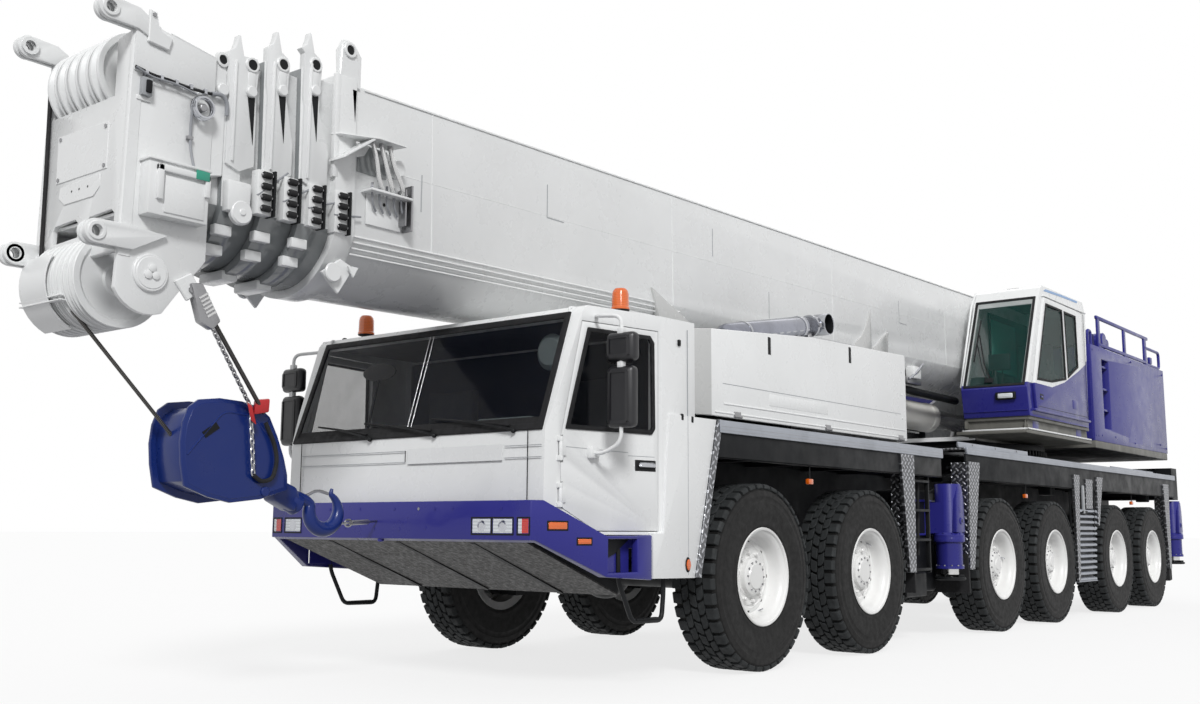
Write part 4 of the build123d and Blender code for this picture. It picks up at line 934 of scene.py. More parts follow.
@dataclass
class RoadWheels:
    """Twelve tyres with block tread on white dished rims."""

    stations: tuple[float, ...] = (0.0, -1.75, -4.75, -6.40, -8.75, -10.40)
    half: float = 0.1875
    seat: float = 0.3175
    pitches: int = 40
    sink: float = 0.022
    groove_depth: float = 0.016
    groove_half: float = 0.170

    def tyre(self) -> Piece:
        """One tyre round the origin, turning about Y."""
        top = TYRE_RADIUS - 0.0026
        side = [
            (0.325, 0.160), (0.345, 0.170), (0.372, 0.1735), (0.378, 0.1765), (0.392, 0.1775), (0.398, 0.1755),
            (0.440, 0.181), (0.500, 0.1870), (0.545, 0.1872), (0.550, 0.1845), (0.585, 0.182), (0.590, 0.184),
            (0.630, 0.177), (top - self.sink, 0.158), (top - self.sink + 0.002, 0.08),
        ]
        profile = side + [(r, -y) for r, y in reversed(side)]
        carcass = turned("carcass", profile, (0, 0, 0), Along.Y, TYRE, steps=64)
        floor = top - self.sink - self.groove_depth
        # The groove floors get a far darker rubber: painted shade in the grooves.
        recolour(
            carcass, GROOVE_SHADE,
            lambda centre, normal: math.hypot(centre.x, centre.z) > floor and abs(centre.y) < self.groove_half,
        )
        arc = math.tau * top / self.pitches
        wide, gap = arc * 0.43, 0.011
        blocks = []
        for index, y in enumerate((-0.062, 0.0, 0.062)):
            slant = (0.014, -0.012, 0.014)[index]
            outline = [
                (-wide + slant, y - 0.027), (-wide, y), (-wide - slant, y + 0.027), (wide - slant - gap, y + 0.027),
                (wide, y + 0.006), (wide + slant - gap, y - 0.027),
            ]
            stud = plate("block", outline, Along.Z, top - self.sink - 0.004, top, TREAD_RUBBER, 0.0035)
            turn = Matrix.Rotation(math.tau / self.pitches * (0.5 if index == 1 else 0.0), 4, "Y")
            stud.data.transform(turn)
            blocks.append(stud)
        for sign in (1, -1):
            outline = [
                (sign * 0.094, top - self.sink - 0.004), (sign * 0.094, top), (sign * 0.160, top - 0.001),
                (sign * 0.176, top - 0.010), (sign * 0.181, top - 0.034), (sign * 0.170, top - 0.040),
            ]
            stud = plate("block", outline, Along.X, -wide, wide - 0.016, TREAD_RUBBER, 0.0035)
            turn = Matrix.Rotation(math.tau / self.pitches * 0.45, 4, "Y")
            stud.data.transform(turn)
            blocks.append(stud)
        tread = ring(joined("tread", blocks), "tread", self.pitches, (0, 0, 0), Along.Y)
        return joined("tyre", [carcass, tread])

    def rim(self, driven: bool) -> Piece:
        """One rim round the origin, its open side towards +Y.

        Args:
            driven: The flat hub of the two axles in front, or the deeper one of the rest.

        Returns:
            The rim with its nuts, studs, hand holes and valve.
        """
        profile = [
            (0.290, -0.165), (0.318, -0.168), (0.352, -0.178), (0.356, -0.171), (0.330, -0.160), (0.318, -0.10),
            (0.318, 0.10), (0.328, 0.158), (0.354, 0.170), (0.360, 0.178), (0.354, 0.1835), (0.340, 0.180),
            (0.334, 0.166), (0.322, 0.160), (0.312, 0.148), (0.302, 0.135), (0.296, 0.10), (0.292, 0.062),
            (0.286, 0.048), (0.270, 0.040), (0.262, 0.046), (0.232, 0.050), (0.226, 0.044), (0.214, 0.044),
            (0.208, 0.052), (0.152, 0.052), (0.148, 0.058),
        ]
        drive_hub = [(0.140, 0.062), (0.136, 0.096), (0.122, 0.106), (0.096, 0.110), (0.090, 0.118), (0.0, 0.119)]
        free_hub = [
            (0.138, 0.060), (0.134, 0.092), (0.116, 0.102), (0.108, 0.110), (0.100, 0.118), (0.060, 0.119),
            (0.054, 0.126), (0.0, 0.127),
        ]
        profile += drive_hub if driven else free_hub
        bowl = turned("rim", profile, (0, 0, 0), Along.Y, RIM, steps=64)
        nut = turned(
            "nut",
            [(0, 0.050), (0.018, 0.052), (0.018, 0.058), (0.015, 0.058), (0.014, 0.078), (0.011, 0.082), (0, 0.082)],
            (0, 0, 0.180), Along.Y, RIM, steps=6,
        )
        nuts = ring(nut, "nut", 10, (0, 0, 0), Along.Y)
        studs = ring(
            bolt("stud", (0, 0.107 if driven else 0.100, 0.108 if driven else 0.121), Along.Y, 1, ZINC, 0.008, 0.009),
            "stud", 12, (0, 0, 0), Along.Y,
        )
        # Black discs stand in for the hand holes: painted shade inside them.
        holes = ring(
            drum("hole", 0.016, 0.038, 0.0475, (0.247, 0, 0), Along.Y, SOOT, 0.001, 12), "hole", 8, (0, 0, 0), Along.Y,
        )
        holes.data.transform(Matrix.Rotation(0.3, 4, "Y"))
        valve = pipe("valve", [(0.288, 0.05, 0), (0.272, 0.085, 0), (0.262, 0.10, 0.01)], 0.005, CHROME, 0.01)
        return joined("rim", [bowl, nuts, studs, holes, valve])

    def build(self) -> None:
        """Make one tyre and two rims, and copy them to every wheel."""
        rng = random.Random(7)
        tyre = self.tyre()
        rims = {True: self.rim(True), False: self.rim(False)}
        for number, station in enumerate(self.stations, start=1):
            for side in Side:
                body = f"wheel_{number}_{side.word}"
                place = Matrix.Translation(spot(station, side.value * (WHEEL_FACE - self.half), TYRE_RADIUS))
                turn = Matrix.Rotation(rng.uniform(0, math.tau), 4, "Y")
                hand = Matrix.Scale(side.value, 4, (0, 1, 0))
                fit(
                    f"tyre_{number}_{side.word}", body, [copied(tyre, "tyre", place @ hand @ turn)],
                    [body], 28,
                )
                fit(f"rim_{number}_{side.word}", body,
                    [copied(rims[number < 3], "rim", place @ hand @ turn)], (), 28)
        for spare in (tyre, *rims.values()):
            bpy.data.objects.remove(spare)


# ------------------------------------------------------------------ driver's cab


@dataclass
class DriverCab:
    """White cab with a raked screen, slanted door windows, mirrors and beacons."""

    rear: float = 0.870
    front: float = 2.205
    floor_z: float = 0.990
    roof_z: float = 2.460
    screen_low: Flat = (2.190, 1.650)
    screen_top: Flat = (1.920, 2.410)
    door_front: Flat = (2.120, 1.2884)
    door_rear: Flat = (1.230, 1.460)
    mirror_left: float = 1.84
    mirror_right: float = 1.96
    fender_foot: float = 0.702

    def on_door(self, piece: Piece, side: Side) -> Piece:
        """Lay a piece modelled on the left door (x back from its front end, y up) on a side's door plane."""
        (x0, y0), (x1, y1) = self.door_front, self.door_rear
        laid(piece, spot(x0, y0, 0), (x1 - x0, y1 - y0, 0), (0, 0, 1))
        return flipped(piece) if side is Side.RIGHT else piece

    def door_face(
        self, outline: Sequence[Flat], low: float, high: float, finish: Finish, side: Side, bevel: float = 0.003,
    ) -> Piece:
        """A plate on the door, low and high measured outwards from its face."""
        return self.on_door(plate("door_part", outline, Along.Z, low, high, finish, bevel), side)

    def build(self) -> None:
        """Make the shell, the screen, the doors and what hangs on them."""
        self.shell()
        self.screen()
        for side in Side:
            self.door(side)
            self.mirror(side)
        self.inside()
        self.roof()

    def shell(self) -> None:
        """Cab body with its seams, crease and fenders."""
        body = from_frame("driver_cab", "cab_shell", WHITE, 0.010, 3)
        parts = [body]
        x = at(self.front)
        for y in (-1.125, 1.125):
            parts.append(block("seam", (x - 0.004, y - 0.0025, 1.205), (x + 0.0008, y + 0.0025, 1.64), SOOT, 0.0003, 1))
        # Grey strips along the front's creases: painted shade in the creases.
        for z in (1.545, 1.470):
            for low, high in ((-1.12, 0.0), (0.93, 1.24)):
                parts.append(block(
                    "crease", (x - 0.004, low, z - 0.002), (x + 0.0008, high, z + 0.002), GREY, 0.0003, 1,
                ))
            parts.append(block("crease", (x - 0.004, 0.0, 1.470), (x + 0.0008, 0.004, 1.547), GREY, 0.0003, 1))
        parts.append(plate(
            "blank_panel", oblong(0.03, 1.455, 0.91, 1.56), Along.X, x - 0.002, x + 0.0015, WHITE, 0.001,
        ))
        for side in Side:
            s = side.value
            parts.append(plate(
                "fender_strip",
                traced((0.884, self.fender_foot), (0.822, self.fender_foot), (0.532, 1.805), (0.592, 1.805)), Along.Y,
                *sorted((s * 1.440, s * 1.492)), TREAD, 0.002,
            ))
            parts.append(plate("fender_edge", oblong(1.30, 0.70, 1.492, 1.80), Along.X, 0, 0.004, TREAD_END, 0.001))
            edge = parts[-1]
            if s < 0:
                flipped(edge)
            lean = math.atan2(0.29, 1.103)
            edge.data.transform(
                Matrix.Translation(spot(
                    0.820, 0, self.fender_foot,
                )) @ Matrix.Rotation(-lean, 4, "Y") @ Matrix.Translation((0, 0, -self.fender_foot))
            )
            parts.append(drum("marker", 0.022, 1.475, 1.494, spot(0.965, 0, 0.79), Along.Y, ORANGE, 0.004, 20))
            parts.append(drum("marker_ring", 0.030, 1.474, 1.486, spot(0.965, 0, 0.79), Along.Y, GASKET, 0.003, 20))
            for mark in parts[-2:]:
                mark.data.transform(
                    Matrix.Translation((0, 0, 0.79)) @ Matrix.Diagonal((
                        1, 1, 1.7, 1,
                    )) @ Matrix.Translation((0, 0, -0.79))
                )
                if s < 0:
                    flipped(mark)
            for station, z in ((1.05, 2.30), (1.02, 1.79), (0.90, 1.78)):
                low, high = sorted((s * 1.468, s * 1.484))
                parts.append(block(
                    "catch", (at(station) - 0.014, low, z - 0.022), (at(station) + 0.014, high, z + 0.022), SOOT, 0.006,
                ))
            low, high = sorted((s * 1.472, s * 1.4815))
            parts.append(block(
                "rear_seam", (at(0.955) - 0.002, low, 0.72), (at(0.955) + 0.002, high, 2.40), GREY, 0.0005, 1,
            ))
        fit("cab_shell", "carrier", parts, ["driver_cab"])

    def screen(self) -> None:
        """Wide dark windscreen in a black rubber frame, with three wipers."""
        length = math.dist(self.screen_low, self.screen_top)
        half = 1.238
        frame_piece = plate(
            "screen_rubber",
            [(-half, -0.012), (half, -0.012), (half - 0.004, length + 0.012), (-half + 0.004, length + 0.012)], Along.Z,
            -0.008, 0.012, GASKET, 0.0,
        )
        soften(opened(frame_piece, Along.Z, 0.046), 0.008, 2)
        glass = plate("screen_glass", oblong(-half + 0.03, 0.02, half - 0.03, length - 0.02),
                      Along.Z, -0.004, 0.002, DARK_GLASS, 0.002)
        band = plate("screen_band", oblong(-half + 0.04, 0.03, half - 0.04, 0.078), Along.Z,
                     -0.001, 0.0035, GASKET, 0.001)
        parts = [frame_piece, glass, band]
        for x in (-0.018, 0.018):
            parts.append(plate(
                "screen_divide",
                [(x - 0.004, 0.05), (x + 0.004, 0.05), (x - 0.036, length - 0.04), (x - 0.044, length - 0.04)], Along.Z,
                0.001, 0.006, ZINC, 0.001,
            ))
        for y, reach in ((-0.97, 0.62), (-0.46, 0.76), (0.22, 0.80)):
            tip = (y + reach, -0.012)
            parts.append(pipe(
                "wiper_arm",
                [(y + reach * 0.98, -0.016, 0.016), (y + reach * 0.90, 0.0, 0.038), (y + reach * 0.42, 0.062, 0.04)],
                0.007, SOOT, 0.03,
            ))
            parts.append(pipe(
                "wiper_blade", [(y, 0.105, 0.022), (y + reach * 0.45, 0.066, 0.028), (tip[0] - 0.05, 0.020, 0.022)],
                0.0075, GASKET, 0.05,
            ))
            parts.append(drum("wiper_foot", 0.015, 0.0, 0.028, (y + reach * 0.98, -0.016, 0), Along.Z, SOOT, 0.006, 16))
        for piece in parts:
            on_slope(piece, self.screen_low, self.screen_top)
        rear = [
            plate(
                "rear_rubber", oblong(-0.92, 1.73, 0.92, 2.35), Along.X, at(self.rear) - 0.004, at(self.rear) + 0.012,
                GASKET, 0,
            ),
            plate(
                "rear_glass", oblong(-0.90, 1.75, 0.90, 2.33), Along.X, at(self.rear) + 0.010, at(self.rear) + 0.016,
                DARK_GLASS, 0.001,
            ),
        ]
        soften(opened(rear[0], Along.X, 0.03), 0.004)
        fit("cab_screens", "carrier", parts + rear, ["cab_glass"])

    def door(self, side: Side) -> None:
        """Door with a slanted window in rubber, a pull handle and a crease."""
        node = f"cab_door_{side.word}"
        panel = from_frame(node, node + "_panel", WHITE, 0.007, 2)
        length = math.dist(self.door_front, self.door_rear)
        outline = [
            (0.070, 1.650), (0.248, 2.315), (length - 0.115, 2.315), (length - 0.078, 2.270), (length - 0.070, 1.690),
            (length - 0.100, 1.650),
        ]
        rubber = plate("door_rubber", outline, Along.Z, -0.008, 0.012, GASKET, 0)
        opened(rubber, Along.Z, 0.030)
        soften(rubber, 0.006)
        inner = [
            (0.096, 1.676), (0.262, 2.290), (length - 0.120, 2.290), (length - 0.098, 2.26), (length - 0.094, 1.70),
            (length - 0.110, 1.676),
        ]
        parts = [panel]
        glass = plate("door_glass", inner, Along.Z, 0.006, 0.011, DOOR_GLASS, 0.001)
        for piece in (rubber, glass):
            parts.append(self.on_door(piece, side))
        parts.append(self.door_face(oblong(0.66, 1.405, 0.845, 1.478), -0.0015, 0.004, GASKET, side, 0.003))
        parts.append(self.door_face(
            [(0.675, 1.432), (0.832, 1.432), (0.825, 1.462), (0.685, 1.462)], 0.004, 0.030, CHROME, side, 0.010,
        ))
        # The two thin grey strips are painted shade along the door's crease.
        parts.append(self.door_face(oblong(0.60, 1.500, 0.835, 1.504), -0.001, 0.001, GREY, side, 0.0004))
        parts.append(self.door_face(
            [(0.05, 1.536), (0.60, 1.520), (0.60, 1.524), (0.05, 1.540)], -0.001, 0.001, GREY, side, 0.0004,
        ))
        fit(node + "_panel", f"door_{side.word}", parts, [node])

    def mirror(self, side: Side) -> None:
        """Two black mirror heads on a white tube arm."""
        s = side.value
        x, y = at(self.mirror_left if s > 0 else self.mirror_right), s * 1.584
        arm = pipe(
            "mirror_arm",
            [
                (at(1.845), s * 1.347, 1.504), (at(1.86), s * 1.46, 1.50), (x, y, 1.565), (x, y, 2.37),
                (at(1.86), s * 1.40, 2.385), (at(1.79), s * 1.34, 2.400),
            ],
            0.013, WHITE, 0.06,
        )
        foot = block("mirror_foot", (at(1.80), s * 1.33, 1.47), (at(1.88), s * 1.385, 1.545), WHITE, 0.012)
        parts = [arm, foot]
        for low, high, wide in ((1.657, 2.045, 0.104), (2.075, 2.262, 0.113)):
            head = block("mirror_head", (x - 0.055, y - wide, low), (x + 0.028, y + wide, high), BLACK, 0.032, 4)
            pick_faces(head, lambda centre, normal: normal.x > 0.9)
            with editing(head, everything=False):
                bpy.ops.mesh.inset(thickness=0.02, depth=0.008)
            pick_faces(head, lambda centre, normal: normal.x < -0.9)
            with editing(head, everything=False):
                bpy.ops.mesh.inset(thickness=0.014, depth=-0.004)
            recolour(head, CHROME, lambda centre, normal: normal.x < -0.9)
            parts.append(head)
            parts.append(block(
                "mirror_clamp", (x - 0.02, y - 0.022, high - 0.01), (x + 0.02, y + 0.022, high + 0.03), WHITE, 0.006,
            ))
        fit(f"mirror_{side.word}", "carrier", parts, ["mirrors"])

    def roof(self) -> None:
        """Beacons, the roof rails and the aerial's foot."""
        parts = []
        for station, y in ((1.402, 1.235), (1.732, -1.00)):
            foot = spot(station, y, self.roof_z - 0.004)
            parts.append(turned(
                "beacon_stem",
                [
                    (0, 0), (0.028, 0), (0.028, 0.010), (0.012, 0.016), (0.012, 0.030), (0.034, 0.034), (0.060, 0.042),
                    (0.064, 0.050), (0, 0.050),
                ],
                foot, Along.Z, SOOT, 24,
            ))
            parts.append(turned(
                "beacon_dome",
                [
                    (0, 0.050), (0.064, 0.050), (0.064, 0.066), (0.060, 0.070), (0.058, 0.156), (0.053, 0.180),
                    (0.040, 0.196), (0, 0.202),
                ],
                foot, Along.Z, ORANGE, 24,
            ))
            parts.append(block(
                "beacon_core", foot + Vector((-0.012, -0.012, 0.10)), foot + Vector((0.012, 0.012, 0.15)), SOOT, 0.003,
            ))
        for s in (1, -1):
            parts.append(pipe(
                "roof_rail",
                [
                    (at(1.90), s * 1.20, 2.425), (at(1.90), s * 1.20, 2.455), (at(1.60), s * 1.28, 2.468),
                    (at(1.10), s * 1.34, 2.462),
                ],
                0.009, WHITE, 0.02,
            ))
        parts.append(drum(
            "aerial_foot", 0.020, 0, 0.03, spot(1.80, -1.17, self.roof_z - 0.004), Along.Z, SOOT, 0.008, 16,
        ))
        fit("cab_roof_fittings", "carrier", parts)

    def inside(self) -> None:
        """Dashboard, wheel, seats and lining, seen through the glass."""
        floor_z = self.floor_z + 0.04
        # The dash, binnacle and fan below are coloured lighter than their plastic: painted light.
        parts = [
            block("cab_floor", spot(0.92, -1.14, floor_z), spot(1.86, 1.14, floor_z + 0.06), TRIM, 0.01),
            plate(
                "dash",
                traced((1.78, floor_z), (2.10, floor_z), (2.10, 1.60), (2.02, 1.70), (1.84, 1.67), (1.78, 1.52)),
                Along.Y, -1.12, 1.12, LIT_DASH, 0.02, 3,
            ),
            plate(
                "binnacle", traced((1.86, 1.62), (2.04, 1.64), (1.98, 1.76), (1.88, 1.75)), Along.Y, 0.45, 0.95, LIT_DASH,
                0.025, 3,
            ),
            block("rear_lining", spot(0.915, -1.35, 1.08), spot(0.93, 1.35, 2.38), LINING, 0.004),
            block("head_lining", spot(0.93, -1.30, 2.395), spot(1.86, 1.30, 2.41), LINING, 0.004),
        ]
        wheel_centre = spot(1.70, 0.70, 1.67)
        rim = turned(
            "steering_rim",
            [
                (0.205 + 0.017 * math.cos(a), 0.017 * math.sin(a))
                for a in [i * math.tau / 8 for i in range(8)]
            ] + [(0.222, 0.0)],
            (0, 0, 0), Along.Z, BLACK, 40,
        )
        spokes = [plate("spoke", oblong(-0.2, -0.018, 0.2, 0.018), Along.Z, -0.012, 0.006, BLACK, 0.004),
                  plate("spoke", oblong(-0.018, -0.2, 0.018, 0.0), Along.Z, -0.012, 0.006, BLACK, 0.004),
                  drum("hub", 0.06, -0.03, 0.014, (0, 0, 0), Along.Z, BLACK, 0.008, 24)]
        wheel = joined("steering", [rim, *spokes])
        laid(wheel, wheel_centre, (0, 1, 0), (-0.9, 0, 0.45))
        parts += [wheel, pipe("column", [wheel_centre, spot(1.86, 0.70, 1.38)], 0.035, TRIM, 0)]
        mirror = turned(
            "inner_mirror", [(0, -0.02), (0.10, -0.018), (0.155, -0.004), (0.155, 0.006), (0.10, 0.018), (0, 0.022)],
            (0, 0, 0), Along.X, BLACK, 28,
        )
        mirror.data.transform(Matrix.Translation(spot(1.93, -0.60, 2.16)) @ Matrix.Diagonal((1, 1.15, 0.42, 1)))
        parts += [mirror, pipe("mirror_stalk", [spot(1.93, -0.60, 2.14), spot(2.02, -0.62, 1.70)], 0.010, TRIM, 0)]
        parts.append(turned(
            "fan", [(0, -0.03), (0.09, -0.028), (0.125, 0.0), (0.09, 0.028), (0, 0.03)], spot(1.82, 0.98, 2.19),
            Along.X, LIT_DASH, 24,
        ))
        for s in (0.70, -0.70):
            parts.append(block(
                "seat_base", spot(1.16, s - 0.20, floor_z + 0.06), spot(1.58, s + 0.20, 1.34), TRIM, 0.02,
            ))
        fit("cab_interior_fittings", "carrier", parts, ["cab_interior"])
        for word, s in (("driver", 0.70), ("passenger", -0.70)):
            cushion = padded_block("seat", spot(1.13, s - 0.25, 1.34), spot(1.64, s + 0.25, 1.48), 0.035)
            back = padded_block("seat_back", spot(1.00, s - 0.25, 1.40), spot(1.14, s + 0.25, 2.10), 0.035)
            seat = fit(f"{word}_seat", "carrier", [cushion, back])


def padded_block(name: str, low: Sequence[float], high: Sequence[float], crown: float) -> Piece:
    """A crowned cushion with sewn channels.

    Args:
        name: The piece's name.
        low: Its lowest corner.
        high: Its highest corner.
        crown: How far its broad faces rise.

    Returns:
        The cushion.
    """
    low, high = Vector(low), Vector(high)
    clear_choice()
    bpy.ops.mesh.primitive_cube_add(size=1, location=(low + high) / 2, scale=high - low)
    piece = named(name, CLOTH)
    with editing(piece):
        bpy.ops.mesh.subdivide(number_cuts=7)
    centre, half = (low + high) / 2, (high - low) / 2
    thin = min(range(3), key=lambda i: half[i])
    wide = [i for i in range(3) if i != thin]
    for vertex in piece.data.vertices:
        u, v = ((vertex.co[i] - centre[i]) / half[i] for i in wide)
        swell = (1 - u * u) * (1 - v * v)
        channel = 0.25 * abs(math.cos(2.5 * math.pi * u)) ** 8
        share = (vertex.co[thin] - centre[thin]) / half[thin]
        vertex.co[thin] -= share * crown * (1 - swell + channel)
        for i, w in zip(wide, (v, u)):
            vertex.co[i] -= (vertex.co[i] - centre[i]) * 0.04 * (1 - w * w)
    soften(piece, 0.02, 2, 50)
    focus(piece)
    smooth = piece.modifiers.new("round", "SUBSURF")
    smooth.levels = smooth.render_levels = 1
    bpy.ops.object.modifier_apply(modifier=smooth.name)
    return piece


# ------------------------------------------------------------------ bumper and steps


@dataclass
class Nose:
    """Blue bumper with lamps, the sloping tread-plate shield and the boarding steps."""

    front: float = 2.330
    shield_half: float = 1.18

    def build(self) -> None:
        """Make the bumper, its lamps, the shield and the steps."""
        self.bumper()
        self.shield()
        self.steps()

    def bumper(self) -> None:
        """Bumper beam, end pieces, lamps and tow bracket."""
        x = at(self.front)
        beam = from_frame("front_bumper", "bumper_beam", BLUE, 0.0)
        cut(
            beam,
            *(
                block("step_hollow", spot(1.545, s * 1.405, 0.755), spot(1.858, s * 1.530, 0.965), BLUE, 0.0)
                for s in (1, -1)
            ),
        )
        parts = [soften(beam, 0.007, 2)]
        for low, high in ((0.505, 1.262), (-1.262, -0.905)):
            pad = plate(
                "bumper_pad", [(low, 0.962), (high, 0.962), (high, 1.192), (low + 0.01, 1.192)], Along.X, x - 0.03,
                x - 0.0002, BLUE, 0.008, 2,
            )
            parts.append(pad)
        hollow = plate("centre_face", oblong(-0.90, 0.985, 0.50, 1.190), Along.X, x - 0.02, x - 0.0005, BLUE, 0.004)
        parts.append(hollow)
        for y0, y1, finish in (
            (0.780, 0.938, CLEAR), (0.958, 1.122, CLEAR), (1.170, 1.256, CRIMSON), (-1.112, -0.940, CLEAR),
            (-1.246, -1.165, CRIMSON),
        ):
            bezel = plate("lamp_bezel", oblong(y0 - 0.012, 0.985, y1 + 0.012, 1.098), Along.X,
                          x - 0.012, x + 0.003, SOOT, 0.0)
            parts.append(soften(opened(bezel, Along.X, 0.010), 0.003))
            parts.append(plate(
                "lamp_lens", oblong(y0, 0.996, y1, 1.088), Along.X, x - 0.006, x + 0.0015, finish, 0.004,
            ))
            if finish is CRIMSON:
                mid = (y0 + y1) / 2
                parts.append(plate("lamp_white", oblong(y0 + 0.002, 0.998, mid - 0.012, 1.086), Along.X,
                                   x + 0.0005, x + 0.0025, CLEAR, 0.001))
            else:
                mid = ((y0 + y1) / 2, 1.042)
                parts.append(turned(
                    "reflector", [(0, 0.0016), (0.018, 0.0022), (0.036, 0.0028), (0.038, 0.0016)], (x, *mid), Along.X,
                    CHROME, 24,
                ))
        for y in (-0.80, -0.62, -0.30, 0.05, 0.286, 0.44, 0.60, 1.03, -1.0):
            parts.append(bolt("bumper_bolt", (x, y, 1.152), Along.X, 1, ZINC if y == 0.286 else BLUE, 0.011, 0.0025))
        for y, z in ((-0.45, 1.03), (-0.15, 1.02), (0.1, 1.02), (0.35, 1.03)):
            parts.append(bolt("bumper_bolt", (x, y, z), Along.X, 1, BLUE, 0.013, 0.0025))
        for s in (1, -1):
            low, high = sorted((s * 1.2705, s * 1.500))
            length = math.hypot(0.46, 0.23)
            for run, z, wide, tall in ((0.18, 1.045, 0.062, 0.022), (0.36, 0.950, 0.045, 0.016)):
                lamp = plate("side_lamp", oblong(-wide, -tall, wide, tall), Along.Z, -0.006, 0.008, ORANGE, 0.006, 2)
                pad = plate("side_lamp_pad", oblong(-wide - 0.01, -tall - 0.01, wide + 0.01, tall + 0.01),
                            Along.Z, -0.01, 0.002, SOOT, 0.003)
                for piece in (lamp, pad):
                    share = run / length
                    laid(piece, spot(self.front - 0.46 * share, 1.270 + 0.23 * share, z), (-0.46, 0.23, 0), (0, 0, 1))
                    if s < 0:
                        flipped(piece)
                    parts.append(piece)
            parts.append(plate(
                "step_post", traced((1.402, 0.706), (1.552, 0.711), (1.557, 0.985), (1.402, 0.990)), Along.Y,
                *sorted((s * 1.455, s * 1.4985)), BLUE, 0.006, 2,
            ))
            parts.append(plate("step_back", traced((1.54, 0.74), (1.87, 0.75), (1.87, 0.97), (1.54, 0.98)), Along.Y,
                               *sorted((s * 1.405, s * 1.415)), BLUE, 0.002))
            # A black shape under the step tread on the recess wall: painted shadow of the tread.
            parts.append(plate(
                "step_shadow",
                traced((1.548, 0.962), (1.855, 0.962), (1.855, 0.925), (1.775, 0.846), (1.700, 0.870), (1.600, 0.930)),
                Along.Y, *sorted((s * 1.410, s * 1.424)), SOOT, 0.001,
            ))
            parts.append(block(
                "step_tread", spot(1.545, s * 1.405, 0.966), spot(1.865, s * 1.498, 0.978), WHITE, 0.002,
            ))
            parts.append(bolt("post_bolt", spot(1.465, s * 1.4985, 0.875), Along.Y, s, ZINC, 0.010, 0.0014))
        bracket = [
            block("tow_plate", (x - 0.02, -0.20, 0.955), (x - 0.0003, -0.02, 1.14), BLUE, 0.006),
            drum("tow_pin", 0.022, 0.935, 1.15, (x - 0.026, -0.106, 0), Along.Z, BLUE, 0.004, 18),
        ]
        fit("front_bumper_piece", "carrier", parts + bracket, ["front_bumper"])

    def shield(self) -> None:
        """Dark tread plate that slopes back under the nose, with a folded rim."""
        x0, z0, x1, z1 = self.front - 0.06, 0.955, 1.350, 0.600
        parts = [plate(
            "shield_plate", traced((x0, z0), (x1, z1), (x1, z1 - 0.012), (x0, z0 - 0.012)), Along.Y, -self.shield_half,
            self.shield_half, SHIELD, 0.002,
        )]
        for y in (-self.shield_half, self.shield_half):
            parts.append(plate(
                "shield_rim", traced((x0, z0), (x1, z1), (x1, z1 + 0.06), (x0 - 0.10, z0)), Along.Y,
                *sorted((y, y - math.copysign(0.008, y))), SOOT, 0.002,
            ))
        for y in (-0.7, 0.0, 0.7):
            parts.append(plate(
                "shield_joint",
                traced(
                    (x0 - 0.02, z0 - 0.020), (x1 + 0.02, z1 - 0.006), (x1 + 0.02, z1 - 0.016), (x0 - 0.02, z0 - 0.024),
                ),
                Along.Y, y - 0.02, y + 0.02, SOOT, 0.002,
            ))
        fit("nose_shield", "carrier", parts, ["front_shield"])

    def steps(self) -> None:
        """Tube steps behind the bumper and ladders behind the second axle."""
        parts = []
        for s in (1, -1):
            y = s * 1.42
            parts.append(pipe(
                "tube_step",
                [
                    (at(1.66), y, 0.90), (at(1.657), y, 0.708), (at(1.511), y, 0.438), (at(1.188), y, 0.432),
                    (at(1.165), y, 0.626), (at(1.18), y, 0.90),
                ],
                0.016, SOOT, 0.05,
            ))
            parts.append(block("tube_tread", (at(1.22), y - 0.03, 0.444), (at(1.48), y + 0.02, 0.454), SOOT, 0.003))
            for x in (at(-3.10), at(-2.72)):
                parts.append(block(
                    "ladder_post", (x - 0.012, s * 1.39, 0.64), (x + 0.012, s * 1.43, 1.79), SOOT, 0.005,
                ))
            rung = block("ladder_rung", (at(-3.10), s * 1.385, 0.66), (at(-2.72), s * 1.44, 0.685), SOOT, 0.006)
            parts.append(row(rung, 4, (0, 0, 0.27)))
        fit("boarding_steps", "carrier", parts, ["access_steps"])


# ------------------------------------------------------------------ hood and exhaust


